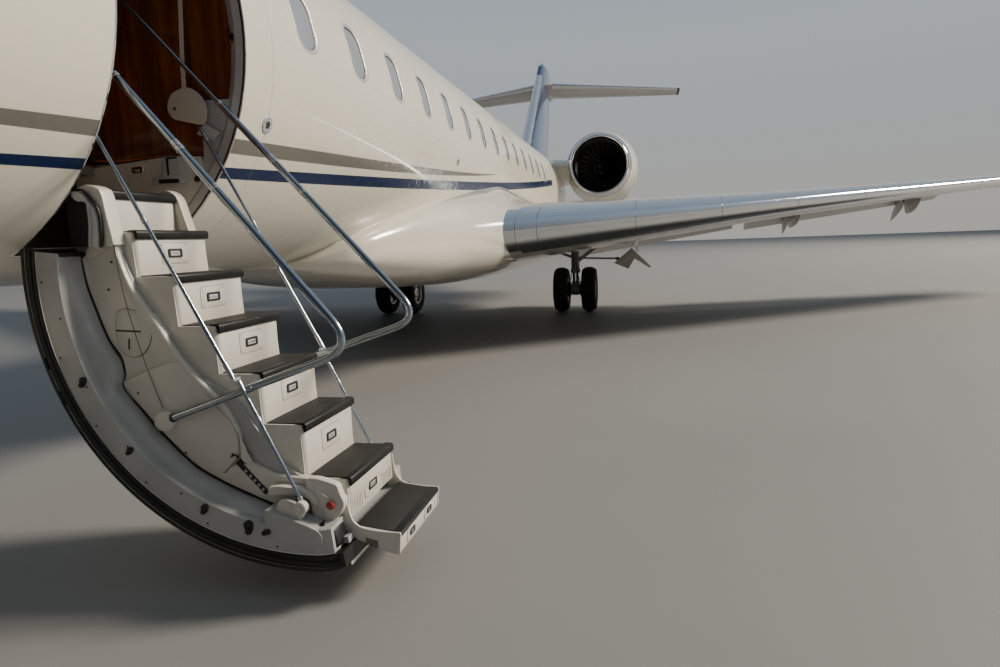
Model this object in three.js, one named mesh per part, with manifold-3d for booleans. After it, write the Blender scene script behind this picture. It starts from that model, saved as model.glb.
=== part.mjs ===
// A large-cabin business jet on its gear, with its airstair door down.
// Millimetres. +X points to the nose, +Y to port, +Z up. The origin is on the ground under the
// middle of the aircraft's box. A station is the distance aft of the nose tip.
import * as THREE from 'three';
import { mergeVertices } from 'three/addons/utils/BufferGeometryUtils.js';
import Module from 'manifold-3d';

const wasm = await Module();
wasm.setup();

// Driving dimensions
const LENGTH = 30300;
const NOSE_X = LENGTH / 2;
const GAP = 0.3;            // between touching pieces
const CLEAR = 8;            // round pieces that move
const END_GAP = 28;         // at the ends of a control surface on a swept line
const PIN_R = 10;           // the airstair's hinge pins
const SURFACE_PIN = { radius: 6, steps: 8 };
const AXIS_Z = 2779;        // height of the fuselage's axis
const BODY_R = 1345;
const WALL = 60;            // the hull is drawn this thick, frames and lining together
const FLOOR_Z = 2130;       // top of the cabin floor
const FLOOR_THICK = 60;
const RING_STEPS = 32;
const WHEEL_STEPS = 24;
const HUB_R = 62;
const FAN_BLADES = 16;

const BULKHEAD = 1700;       // the nose is solid ahead of this station
const NOSE_END = 3300;      // station where the nose section meets the forward fuselage
const FORWARD_END = 5900;
const CABIN_END = 20000;
const TAIL_END = 27900;

const DOOR = { front: 4684, back: 5615, bottom: 1603, top: 3737, corner: 110, low: -60.3, high: 45 };
const HINGE = { y: 667, z: 1629 };
const DOOR_SWING = 126.6;   // degrees from shut to open
const DOOR_R = 1333;
const DOOR_THICK = 130;

const WINDOW = { first: 6390, pitch: 849, count: 14, z: 3084, width: 290, height: 420 };

const WING = {
  rootY: 1200, kinkY: 5600, tipY: 13700, sideY: 1600, sideLe: 11170, sweep: 0.75,
  leZ: 1720, rise: 0.082, rootTe: 18750, kinkTe: 18600, tipTe: 21350, thick: 0.118, tipThick: 0.1,
};
const SLAT = { chord: 0.085, inner: 1750, outer: 13300, endGap: 50 };
const FLAP = { chord: 0.74, innerChord: 0.8, inner: 1760, kink: 5560, outer: 10300, droop: 24, endGap: 60 };
const AILERON = { chord: 0.76, inner: 10380, outer: 13350, up: 20, down: 20 };

const MAIN_GEAR = { station: 16850, y: 2030, tyreR: 482.5, tyreW: 310, spacing: 600, rimR: 250 };
const NOSE_GEAR = { station: 4070, tyreR: 266.5, tyreW: 184, spacing: 380, rimR: 130, steer: 60 };

const ENGINE = { front: 20240, y: 2370, z: 3470, lipR: 690, throatR: 610, bodyR: 890, length: 4650 };
const TAIL = {
  finBase: 3850, finLe: 21930, finTe: 27300, tipZ: 7560, tipLe: 26340, tipTe: 29000,
  stabZ: 6980, stabY: 4845, stabLe: 26600, stabTe: 29150, stabTipLe: 29100, stabTipTe: 30300,
  rudder: 0.7, elevator: 0.7,
};

// Handrails and folding struts, one pair each side of the steps; hanger is the station of a rail's hanger
const RAIL = {
  forward: { station: 4795, hanger: 4771, inward: 1, knob: [1250, 800], bend: [2200, 1215] },
  aft: { station: 5525, hanger: 5549, inward: -1, knob: [1310, 872], bend: [2258, 1256] },
  top: [600, 3060], radius: 19, innerRadius: 12.5, bossRadius: 45, eyeRadius: 20,
  sleeve: 1560, overlap: 120, bore: 13.5, boreStart: 200, hangerThick: 6,
};
const SIDES = ['forward', 'aft'];
const CHEEKS = { forward: 4816, aft: 5504 };   // outer faces of the steps' side cheeks
const STRUT = {
  upper: { forward: 4722, aft: 5595 }, lower: { forward: 4748, aft: 5570 }, radius: 10,
  top: [1030, 2285], mid: [1690, 1017], low: [1970, 435],
};

// Coordinates and small helpers
const X = (station) => NOSE_X - station;
const rad = THREE.MathUtils.degToRad;
const lerp = THREE.MathUtils.lerp;
const V = (x, y, z) => new THREE.Vector3(x, y, z);

const group = new THREE.Group();
const finish = {
  cream: { color: '#e6e1d3', roughness: 0.25, metalness: 0 },
  polished: { color: '#c9ced4', roughness: 0.1, metalness: 1 },
  navy: { color: '#1f3f78', roughness: 0.25, metalness: 0 },
  glass: { color: '#1a2026', roughness: 0.05, metalness: 0 },
  wood: { color: '#4a2113', roughness: 0.25, metalness: 0 },
  moulding: { color: '#dcdad2', roughness: 0.45, metalness: 0 },
  alloy: { color: '#9a9c9e', roughness: 0.4, metalness: 0.8 },
  steel: { color: '#b9bcc0', roughness: 0.2, metalness: 1 },
  dark: { color: '#26282b', roughness: 0.5, metalness: 0.5 },
  tyre: { color: '#151515', roughness: 0.85, metalness: 0 },
  carpet: { color: '#8d8272', roughness: 0.9, metalness: 0 },
};

// A closed geometry as a solid with its faces pointing out, whichever way they were drawn
function solid(geometry) {
  const bare = geometry.clone();
  for (const name of ['normal', 'uv']) bare.deleteAttribute(name);
  const merged = mergeVertices(bare, 0.01);
  const made = (corners) => new wasm.Manifold(new wasm.Mesh({
    numProp: 3,
    vertProperties: Float32Array.from(merged.attributes.position.array),
    triVerts: Uint32Array.from(corners),
  }));
  const corners = Array.from(merged.index.array);
  const first = made(corners);
  return first.volume() > 0 ? first : made(corners.reverse());
}
const cut = (body, ...tools) => tools.reduce((left, tool) => left.subtract(tool), body);
const join = (...bodies) => bodies.reduce((all, body) => all.add(body));
const both = (a, b) => a.intersect(b);

function add(name, body, look) {
  const { vertProperties, triVerts } = body.getMesh();
  const geometry = new THREE.BufferGeometry();
  geometry.setAttribute('position', new THREE.BufferAttribute(Float32Array.from(vertProperties), 3));
  geometry.setIndex(Array.from(triVerts));
  geometry.computeVertexNormals();
  const mesh = new THREE.Mesh(geometry, new THREE.MeshStandardMaterial(finish[look]));
  mesh.name = name;
  group.add(mesh);
}

// A closed body through rings that have the same number of points
function loft(rings) {
  const count = rings[0].length;
  const points = rings.flat();
  const faces = [];
  for (let r = 0; r + 1 < rings.length; r++) {
    for (let i = 0; i < count; i++) {
      const [a, b] = [r * count + i, r * count + ((i + 1) % count)];
      faces.push(a, b, a + count, b, b + count, a + count);
    }
  }
  for (const [start, ring, flip] of [[0, rings[0], true], [(rings.length - 1) * count, rings.at(-1), false]]) {
    points.push(ring.reduce((sum, p) => sum.clone().add(p), V(0, 0, 0)).divideScalar(count));
    const middle = points.length - 1;
    for (let i = 0; i < count; i++) {
      const [a, b] = [start + i, start + ((i + 1) % count)];
      faces.push(...(flip ? [b, a, middle] : [a, b, middle]));
    }
  }
  const geometry = new THREE.BufferGeometry().setFromPoints(points);
  geometry.setIndex(faces);
  return solid(geometry);
}

function box(x0, x1, y0, y1, z0, z1) {
  const shape = new THREE.BoxGeometry(Math.abs(x1 - x0), Math.abs(y1 - y0), Math.abs(z1 - z0));
  return solid(shape.translate((x0 + x1) / 2, (y0 + y1) / 2, (z0 + z1) / 2));
}

function rod(from, to, radius, steps = 12) {
  const along = to.clone().sub(from);
  const shape = new THREE.CylinderGeometry(radius, radius, along.length(), steps);
  const turn = new THREE.Quaternion().setFromUnitVectors(V(0, 1, 0), along.clone().normalize());
  const middle = from.clone().add(to).multiplyScalar(0.5);
  return solid(shape.applyQuaternion(turn).translate(middle.x, middle.y, middle.z));
}

// The hole that a rod of this radius turns in: its flats clear the rod's corners
const hole = (from, to, radius, steps = 12) => rod(from, to, (radius + GAP) / Math.cos(Math.PI / steps), steps);

// A box about a point, in a frame of three unit vectors
function blockAt(at, axes, low, high) {
  const size = high.map((value, i) => value - low[i]);
  const shape = new THREE.BoxGeometry(...size);
  shape.translate(...low.map((value, i) => value + size[i] / 2));
  return solid(shape.applyMatrix4(new THREE.Matrix4().makeBasis(...axes).setPosition(at)));
}

// A pin hinge on a control surface's edge: what it takes from the surface, and what it gives to each side
function pinHinge(at, along, across) {
  const back = across.clone().cross(along).normalize();
  const aft = back.x < 0 ? back : back.clone().negate();
  const axes = [along, aft, along.clone().cross(aft)];
  const [from, to] = [-34, 34].map((d) => at.clone().addScaledVector(along, d));
  const lug = blockAt(at, axes, [-14, -60, -15], [14, 17, 15]);
  return {
    notch: blockAt(at, axes, [-22, -60, -400], [22, 40, 400]),
    pin: rod(from, to, SURFACE_PIN.radius, SURFACE_PIN.steps),
    lug: cut(lug, hole(from, to, SURFACE_PIN.radius, SURFACE_PIN.steps)),
  };
}

function hinged(fixed, moving, hinges) {
  return {
    fixed: hinges.reduce((body, { lug }) => body.add(lug), fixed),
    moving: hinges.reduce((body, { notch, pin }) => body.subtract(notch).add(pin), moving),
  };
}

// A flat outline of [u, v] points, extruded from one station to another; u is Y and v is Z
function slab(outline, stationA, stationB) {
  const shape = new THREE.Shape(outline.map(([u, v]) => new THREE.Vector2(u, v)));
  const flat = new THREE.ExtrudeGeometry(shape, {
    depth: Math.abs(stationB - stationA), bevelEnabled: false, steps: 1,
  });
  flat.applyMatrix4(new THREE.Matrix4().makeBasis(V(0, 1, 0), V(0, 0, 1), V(1, 0, 0)));
  return solid(flat.translate(Math.min(X(stationA), X(stationB)), 0, 0));
}

// A plan outline of [station, y] points, extruded up between two heights
function planBlock(outline, z0, z1) {
  const shape = new THREE.Shape(outline.map(([s, y]) => new THREE.Vector2(X(s), y)));
  const flat = new THREE.ExtrudeGeometry(shape, { depth: z1 - z0, bevelEnabled: false, steps: 1 });
  return solid(flat.translate(0, 0, z0));
}

// A side outline of [station, z] points, extruded across between two values of y
function sideBlock(outline, y0, y1) {
  const shape = new THREE.Shape(outline.map(([s, z]) => new THREE.Vector2(X(s), z)));
  const flat = new THREE.ExtrudeGeometry(shape, { depth: y1 - y0, bevelEnabled: false, steps: 1 });
  flat.rotateX(Math.PI / 2);
  return solid(flat.translate(0, y1, 0));
}

// A rectangle with round corners, and with its lower corners square where low is 0
function roundRect(x0, x1, z0, z1, r, steps = 4, low = r) {
  const points = [];
  const corners = [[x1, z1, r, 0], [x0, z1, r, 90], [x0, z0, low, 180], [x1, z0, low, 270]];
  for (const [x, z, radius, start] of corners) {
    const cx = x + (x === x0 ? radius : -radius);
    const cz = z + (z === z0 ? radius : -radius);
    const count = radius > 0 ? steps : 0;
    for (let i = 0; i <= count; i++) {
      const a = rad(start + (90 * i) / steps);
      points.push([cx + radius * Math.cos(a), cz + radius * Math.sin(a)]);
    }
  }
  return points;
}

// Fuselage: each row is one section of half width, top height and bottom height
const BODY = [
  { s: 0, w: 60, top: 2265, bottom: 2145 },
  { s: 160, w: 265, top: 2440, bottom: 1985 },
  { s: 500, w: 500, top: 2665, bottom: 1820 },
  { s: 1000, w: 720, top: 2880, bottom: 1710 },
  { s: 1620, w: 900, top: 3070, bottom: 1620 },
  { s: 2200, w: 1030, top: 3430, bottom: 1565 },
  { s: 2760, w: 1135, top: 3780, bottom: 1520 },
  { s: 3300, w: 1215, top: 3965, bottom: 1485 },
  { s: 4100, w: 1300, top: 4075, bottom: 1465 },
  { s: 4640, w: 1330, top: 4109, bottom: 1449 },
  { s: 5900, w: BODY_R, top: AXIS_Z + BODY_R, bottom: AXIS_Z - BODY_R },
  { s: 20000, w: BODY_R, top: AXIS_Z + BODY_R, bottom: AXIS_Z - BODY_R },
  { s: 21600, w: 1300, top: 4120, bottom: 1560 },
  { s: 23200, w: 1150, top: 4090, bottom: 1830 },
  { s: 24800, w: 900, top: 4020, bottom: 2190 },
  { s: 26300, w: 600, top: 3920, bottom: 2580 },
  { s: 27400, w: 330, top: 3760, bottom: 2950 },
  { s: 27900, w: 190, top: 3600, bottom: 3180 },
];

function bodyRing(row, inset = 0) {
  const middle = row.s < 4640 ? AXIS_Z - (4640 - row.s) * 0.07 : AXIS_Z;
  const z = THREE.MathUtils.clamp(middle, row.bottom + 60, row.top - 60);
  const centre = row.s > 20000 ? (row.top + row.bottom) / 2 : z;
  return Array.from({ length: RING_STEPS }, (_, i) => {
    const a = (2 * Math.PI * i) / RING_STEPS;
    const up = Math.sin(a);
    const h = (up > 0 ? row.top - centre : centre - row.bottom) - inset;
    return V(X(row.s), (row.w - inset) * Math.cos(a), centre + h * up);
  });
}

function bodyRowAt(s) {
  const next = BODY.findIndex((row) => row.s >= s);
  if (next <= 0) return BODY[0];
  const [a, b] = [BODY[next - 1], BODY[next]];
  const t = (s - a.s) / (b.s - a.s);
  return { s, w: lerp(a.w, b.w, t), top: lerp(a.top, b.top, t), bottom: lerp(a.bottom, b.bottom, t) };
}

// The body between two stations, taken in by inset all round
function bodyPart(from, to, inset = 0) {
  const inner = BODY.filter((row) => row.s > from + 1 && row.s < to - 1);
  return loft([bodyRowAt(from), ...inner, bodyRowAt(to)].map((row) => bodyRing(row, inset)));
}

function tube(from, to, wall = WALL) {
  const past = 0.5;
  const rows = [bodyRowAt(from), ...BODY.filter((r) => r.s > from + 1 && r.s < to - 1), bodyRowAt(to)];
  rows[0] = { ...rows[0], s: from - past };
  rows[rows.length - 1] = { ...rows.at(-1), s: to + past };
  return cut(bodyPart(from, to), loft(rows.map((row) => bodyRing(row, wall))));
}

// Nose, with its cockpit windows cut
const PANES = [
  // centre station, y, z; the way the pane faces; half width and half height
  { s: 2080, y: 420, z: 3330, face: [0.74, 0.28, 0.61], w: 375, h: 270 },
  { s: 2330, y: 940, z: 3220, face: [0.34, 0.86, 0.38], w: 290, h: 215 },
  { s: 2950, y: 1110, z: 3260, face: [0.12, 0.93, 0.35], w: 235, h: 190 },
];

function paneTool(pane, side, grow = 0) {
  const out = V(pane.face[0], pane.face[1] * side, pane.face[2]).normalize();
  const across = V(0, 0, 1).cross(out).normalize();
  const up = out.clone().cross(across).normalize();
  const outline = roundRect(-pane.w - grow, pane.w + grow, -pane.h - grow, pane.h + grow, 70, 2);
  const shape = new THREE.Shape(outline.map(([u, v]) => new THREE.Vector2(u, v)));
  const block = new THREE.ExtrudeGeometry(shape, { depth: 420, bevelEnabled: false, steps: 1 });
  block.translate(0, 0, -210).applyMatrix4(new THREE.Matrix4().makeBasis(across, up, out));
  return solid(block.translate(X(pane.s), pane.y * side, pane.z));
}

function noseSection() {
  const hull = bodyPart(0, NOSE_END - GAP);
  const inside = bodyPart(BULKHEAD, NOSE_END + 400, WALL);
  const tools = PANES.flatMap((pane) => [paneTool(pane, 1), paneTool(pane, -1)]);
  add('nose_section', cut(hull, inside, ...tools), 'cream');
  const band = both(
    cut(bodyPart(BULKHEAD, NOSE_END + 400, WALL + GAP), bodyPart(BULKHEAD, NOSE_END + 400, WALL + 22)),
    box(X(BULKHEAD + GAP), X(3200), -1300, 1300, 2980, 3700),
  );
  add('cockpit_glazing', band, 'glass');
}

// Forward fuselage, with the doorway cut, and the cabin with its windows cut
const doorway = (grow, low = DOOR.bottom - grow) => sideBlock(
  roundRect(DOOR.front - grow, DOOR.back + grow, low, DOOR.top + grow, DOOR.corner, 4, 0), 300, 1700,
);

function fuselage() {
  const centre = { y: 0, z: AXIS_Z };
  const [front, back] = [DOOR.front - 40, DOOR.back + 40];
  const reach = Math.hypot(STRUT.top[0], STRUT.top[1] - AXIS_Z) + 28;
  const tips = strutLugs(centre, STRUT.top, STRUT.upper, reach, front, back);
  const roots = strutLugs(centre, STRUT.top, STRUT.upper, BODY_R - WALL + 10, front, back)
    .map((lug) => cut(lug, doorway(0)));
  const hangers = SIDES.map((side) => {
    const { hanger, inward } = RAIL[side];
    const [y, z] = RAIL.top;
    return box(X(hanger - inward * GAP), X(hanger - inward * RAIL.hangerThick), y - 25, y + 25, z - 25,
      AXIS_Z + 1150);
  });
  const skin = cut(tube(NOSE_END, FORWARD_END - GAP), doorway(0));
  const hingeHole = hole(V(X(front + 10), HINGE.y, HINGE.z), V(X(back - 10), HINGE.y, HINGE.z), PIN_R);
  add('forward_fuselage', cut(join(skin, ...roots, ...tips, ...hangers), hingeHole), 'cream');
  const windows = [];
  for (let i = 0; i < WINDOW.count; i++) {
    const s = WINDOW.first + i * WINDOW.pitch;
    const outline = roundRect(s - WINDOW.width / 2, s + WINDOW.width / 2,
      WINDOW.z - WINDOW.height / 2, WINDOW.z + WINDOW.height / 2, 125, 2);
    windows.push(sideBlock(outline, -1500, 1500));
  }
  add('cabin_fuselage', cut(tube(FORWARD_END, CABIN_END - GAP), ...windows), 'cream');
  add('aft_fuselage', cut(bodyPart(CABIN_END, TAIL_END), bodyPart(CABIN_END - 1, 26000, WALL)), 'cream');
}

// Entrance: floor, partitions and wardrobe
const ENTRY = { front: 4430, back: 5790, panel: 40, edge: 260, aisle: 300, wardrobe: -700, rebate: 20 };

function entrance() {
  const room = bodyPart(NOSE_END + 5, CABIN_END - 10, WALL + GAP);
  const slabBox = box(X(NOSE_END + 10), X(CABIN_END - 20), -1400, 1400, FLOOR_Z - FLOOR_THICK, FLOOR_Z);
  const well = box(X(DOOR.front - 30), X(DOOR.back + 30), ENTRY.edge, 1400, 1900, FLOOR_Z + 10);
  add('cabin_floor', cut(both(cut(slabBox, well), room), panels(GAP)), 'carpet');
  add('entrance_panels', both(panels(0), room), 'wood');
}

// The walls of the entrance, which stand in a rebate of the floor
function panels(grow) {
  const [base, top] = [FLOOR_Z - ENTRY.rebate - grow, 4200];
  const middle = -60;
  const passage = (s) => box(X(s - 10), X(s + ENTRY.panel + 10),
    middle - ENTRY.aisle + grow, middle + ENTRY.aisle - grow, base - 10, 3950);
  const wall = (s) => cut(box(X(s - grow), X(s + ENTRY.panel + grow), -1400, 1400, base, top), passage(s));
  const wardrobe = box(X(ENTRY.front + 5 - grow), X(ENTRY.back + 5 + grow), -1400, ENTRY.wardrobe + grow,
    base, top);
  return join(wall(ENTRY.front), wall(ENTRY.back), wardrobe);
}

// Airstair: drawn shut in the doorway or in its open place, in the Y-Z plane
function turned(body, degrees, y = HINGE.y, z = HINGE.z) {
  return body.translate([0, -y, -z]).rotate([degrees, 0, 0]).translate([0, y, z]);
}

// Lugs that carry the struts' ends: each stands in from the curve to the strut's pin
function strutLugs(centre, pin, stations, radius, front, back) {
  const angle = Math.atan2(pin[1] - centre.z, pin[0] - centre.y);
  const [c, d] = [Math.cos(angle), Math.sin(angle)];
  const reach = Math.hypot(pin[1] - centre.z, pin[0] - centre.y);
  const at = (r, w) => [centre.y + r * c - w * d, centre.z + r * d + w * c];
  const outline = (outer) => [at(reach - 28, -28), at(outer, -28), at(outer, 28), at(reach - 28, 28)];
  const inside = STRUT.radius + GAP;
  return [
    slab(outline(radius), front, stations.forward - inside),
    slab(outline(radius), stations.aft + inside, back),
  ];
}

const STEPS = { front: 4875, back: 5425, rise: 229, run: 198, first: [958, 1907], count: 7 };
const STEP_OUT = { hinge: [2190, 352], nose: [2385, 290], front: 4850, back: 5450 };
const ARC = { y: 1989, z: 1479 };   // centre of the open door's curve

function arcPoints(radius, from, to, steps) {
  return Array.from({ length: steps + 1 }, (_, i) => {
    const a = rad(lerp(from, to, i / steps));
    return [ARC.y + radius * Math.cos(a), ARC.z + radius * Math.sin(a)];
  });
}

function airstair() {
  const sector = (from, to) => Array.from({ length: 25 }, (_, i) => {
    const a = rad(lerp(from, to, i / 24));
    const r = from < to ? DOOR_R : DOOR_R - DOOR_THICK;
    return [r * Math.cos(a), AXIS_Z + r * Math.sin(a)];
  });
  const ring = slab([...sector(DOOR.low, DOOR.high), ...sector(DOOR.high, DOOR.low)],
    DOOR.front - 100, DOOR.back + 100);
  const shut = both(ring, doorway(-CLEAR, 1000));
  const lugs = strutLugs(ARC, STRUT.low, STRUT.lower, DOOR_R - DOOR_THICK + 4,
    DOOR.front + CLEAR, DOOR.back - CLEAR);
  const pins = [[DOOR.front - 22, DOOR.front + 60], [DOOR.back - 60, DOOR.back + 22]]
    .map(([a, b]) => rod(V(X(a), HINGE.y, HINGE.z), V(X(b), HINGE.y, HINGE.z), PIN_R));
  add('airstair_shell', join(turned(shut, -DOOR_SWING), ...lugs, ...pins), 'moulding');

  const inner = (DOOR_R - DOOR_THICK) * Math.cos(rad((DOOR.high - DOOR.low) / 48)) - GAP;
  const nosings = Array.from({ length: STEPS.count }, (_, i) => [
    STEPS.first[0] + STEPS.run * i, STEPS.first[1] - STEPS.rise * i,
  ]);
  const treads = [];
  for (const [y, z] of nosings) {
    const start = Math.max(y - STEPS.run + 25, 815);
    treads.push([start, z], [y, z], [y, z - 55], [y - 25, z - 60]);
  }
  const back = [...arcPoints(inner, -90, -184, 12), [815, 1660]];
  const block = slab([...treads, [2130, 380], ...back], STEPS.front, STEPS.back);
  const cheekTop = [[815, 1780], [860, 1750], [1180, 1420], [1520, 1010], [1960, 560], [2060, 400]];
  const cheek = (a, b) => slab([...cheekTop, ...back], a, b);
  const [hy, hz] = STEP_OUT.hinge;
  const earOutline = [[2040, 430], [hy + 22, hz + 22], [hy + 22, hz - 22], [hy - 22, hz - 22], [2040, 330]];
  const ear = (a, b) => slab(earOutline, a, b);
  const ears = [ear(CHEEKS.forward, STEP_OUT.front - 10), ear(STEP_OUT.back + 10, CHEEKS.aft)];
  const hingePin = [V(X(CHEEKS.forward), hy, hz), V(X(CHEEKS.aft), hy, hz)];
  const steps = join(block, cheek(CHEEKS.forward, 4880), cheek(5420, CHEEKS.aft), ...ears);
  add('airstair_steps', cut(steps, hole(hingePin[0], V(X(STEP_OUT.front - 10), hy, hz), PIN_R),
    hole(V(X(STEP_OUT.back + 10), hy, hz), hingePin[1], PIN_R)), 'moulding');

  const [ny, nz] = STEP_OUT.nose;
  const tray = slab([[hy - 12, hz + 5], [ny, nz], [ny, nz - 55], [ny - 60, nz - 115], [hy, hz - 100]],
    STEP_OUT.front, STEP_OUT.back);
  add('foldout_step', join(tray, rod(...hingePin, PIN_R)), 'moulding');
}

function rails() {
  for (const side of SIDES) {
    const { station: s, hanger, inward } = RAIL[side];   // inward points to the steps, in stations
    const [knob, bend, top] = [RAIL[side].knob, RAIL[side].bend, RAIL.top].map(([y, z]) => V(X(s), y, z));
    const up = top.clone().sub(bend).normalize();
    const along = (reach) => bend.clone().addScaledVector(up, reach);
    const bore = rod(along(RAIL.boreStart), along(RAIL.sleeve + 5), RAIL.bore);
    const seat = CHEEKS[side] - inward * GAP;
    const boss = rod(V(X(s - inward * 20), knob.y, knob.z), V(X(seat), knob.y, knob.z), RAIL.bossRadius, 16);
    const elbow = solid(new THREE.SphereGeometry(RAIL.radius, 12, 8).translate(bend.x, bend.y, bend.z));
    const bars = [rod(knob, bend, RAIL.radius), rod(bend, along(RAIL.sleeve), RAIL.radius)];
    add(`handrail_${side}`, cut(join(...bars, elbow, boss), bore), 'steel');
    const inner = rod(along(RAIL.sleeve - RAIL.overlap), top, RAIL.innerRadius);
    const eye = rod(V(X(s + inward * 13), top.y, top.z), V(X(hanger), top.y, top.z), RAIL.eyeRadius);
    add(`handrail_slider_${side}`, join(inner, eye), 'steel');
  }
  for (const side of SIDES) {
    const bar = (from, to, s) => rod(V(X(s), ...from), V(X(s), ...to), STRUT.radius);
    add(`strut_upper_${side}`, bar(STRUT.top, STRUT.mid, STRUT.upper[side]), 'steel');
    add(`strut_lower_${side}`, bar(STRUT.mid, STRUT.low, STRUT.lower[side]), 'steel');
  }
}

// Wing
const wingLe = (y) => WING.sideLe + (y - WING.sideY) * WING.sweep;
function wingTe(y) {
  const { rootY, kinkY, tipY, rootTe, kinkTe, tipTe } = WING;
  return y < kinkY ? lerp(rootTe, kinkTe, (y - rootY) / (kinkY - rootY))
    : lerp(kinkTe, tipTe, (y - kinkY) / (tipY - kinkY));
}
const wingZ = (y) => WING.leZ + (y - WING.sideY) * WING.rise;
const FOIL_X = [1, 0.8, 0.6, 0.4, 0.24, 0.12, 0.045, 0.01];
const foilHalf = (x, thick) => 5 * thick * (0.2969 * Math.sqrt(x) - 0.126 * x - 0.3516 * x * x
  + 0.2843 * x ** 3 - 0.0965 * x ** 4) + 0.002;

function foil(le, te, thick, place) {
  const chord = te - le;
  const upper = FOIL_X.map((x) => place(le + x * chord, chord * foilHalf(x, thick)));
  const lower = [...FOIL_X].reverse().map((x) => place(le + x * chord, -chord * foilHalf(x, thick)));
  return [...upper, place(le, 0), ...lower];
}

function wingSolid(side) {
  const ys = [WING.rootY, WING.kinkY, WING.tipY];
  const rings = ys.map((y) => {
    const thick = lerp(WING.thick, WING.tipThick, (y - WING.rootY) / (WING.tipY - WING.rootY));
    return foil(wingLe(y), wingTe(y), thick, (s, z) => V(X(s), side * y, wingZ(y) + z));
  });
  const winglet = [
    { y: 14010, z: 320, le: 20750, te: 21620 },
    { y: 14325, z: 1330, le: 21560, te: 22130 },
  ];
  for (const row of winglet) {
    const tilt = row === winglet[0] ? 50 : 75;
    rings.push(foil(row.le, row.te, 0.08, (s, t) => V(X(s),
      side * (row.y - t * Math.sin(rad(tilt))), wingZ(WING.tipY) + row.z + t * Math.cos(rad(tilt)))));
  }
  return loft(rings);
}

// Region of the plan between two chord fractions and two values of y, taken in by a gap
function wingRegion(side, from, to, y0, y1, gap, ends = gap) {
  const at = (y, f) => lerp(wingLe(y), wingTe(y), f);
  const [a, b] = [y0 + ends, y1 - ends];
  const front = from > 0 ? gap : -400;
  const back = to < 1 ? -gap : 400;
  const corner = [
    [at(a, from) + front, side * a], [at(b, from) + front, side * b],
    [at(b, to) + back, side * b], [at(a, to) + back, side * a],
  ];
  return planBlock(corner, 500, 6000);
}

function tiltAbout(body, from, to, degrees) {
  const axis = to.clone().sub(from).normalize();
  const m = new THREE.Matrix4().makeTranslation(from.x, from.y, from.z)
    .multiply(new THREE.Matrix4().makeRotationAxis(axis, rad(degrees)))
    .multiply(new THREE.Matrix4().makeTranslation(-from.x, -from.y, -from.z));
  return body.transform(m.elements);
}

// A surface's front edge brought to a blunt point, so that it can turn about a line from p to q
function nosed(piece, p, q, across) {
  const [h, w, far] = [400, 400 * Math.tan(rad(29)), 3000];
  const section = (at) => [[0, 0], [w, h], [far, h], [far, -h], [w, -h]].map(([back, side]) => (
    at.clone().add(V(-back, 0, 0)).addScaledVector(across, side)));
  const along = q.clone().sub(p).normalize().multiplyScalar(600);
  return both(piece, loft([section(p.clone().sub(along)), section(q.clone().add(along))]));
}

// A flap's pivot: a tongue from the track fairing, and a clevis with its pin that the flap hangs on
const TRACKS = [3300, 6600, 9300];   // the flap tracks' places across the wing
const TRACK_END = 60;                // their fairings stop this far ahead of the flap
const TRACK = { pin: 16, pinHalf: 74, tongueHalf: 30, plateAt: 52, plateHalf: 7 };
function flapPivot(side, y, pivot, along) {
  const end = lerp(wingLe(y), wingTe(y), FLAP.chord) - TRACK_END;
  const [s, z] = [NOSE_X - pivot.x, pivot.z];
  const [from, to] = [-1, 1].map((d) => pivot.clone().addScaledVector(along, d * TRACK.pinHalf));
  const tongue = cut(sideBlock([[end, wingZ(y) - 120], [s, z + 30], [s + 28, z], [s, z - 30], [end, z - 90]],
    side * y - TRACK.tongueHalf, side * y + TRACK.tongueHalf), hole(from, to, TRACK.pin));
  const plates = [-1, 1].map((d) => {
    const at = side * y + d * TRACK.plateAt;
    return sideBlock([[s - 30, z - 22], [s - 30, z + 30], [s + 40, z + 190], [s + 260, z + 20],
      [s + 30, z - 22]], at - TRACK.plateHalf, at + TRACK.plateHalf);
  });
  return { tongue, clevis: join(...plates, rod(from, to, TRACK.pin)) };
}

// A flap's pivot line lies this far below the wing's middle plane
function flapAxis(side, y0, y1, chord, drop) {
  const at = (y) => V(X(lerp(wingLe(y), wingTe(y), chord) + 120), side * y, wingZ(y) - drop);
  return [at(y0), at(y1)];
}

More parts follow.
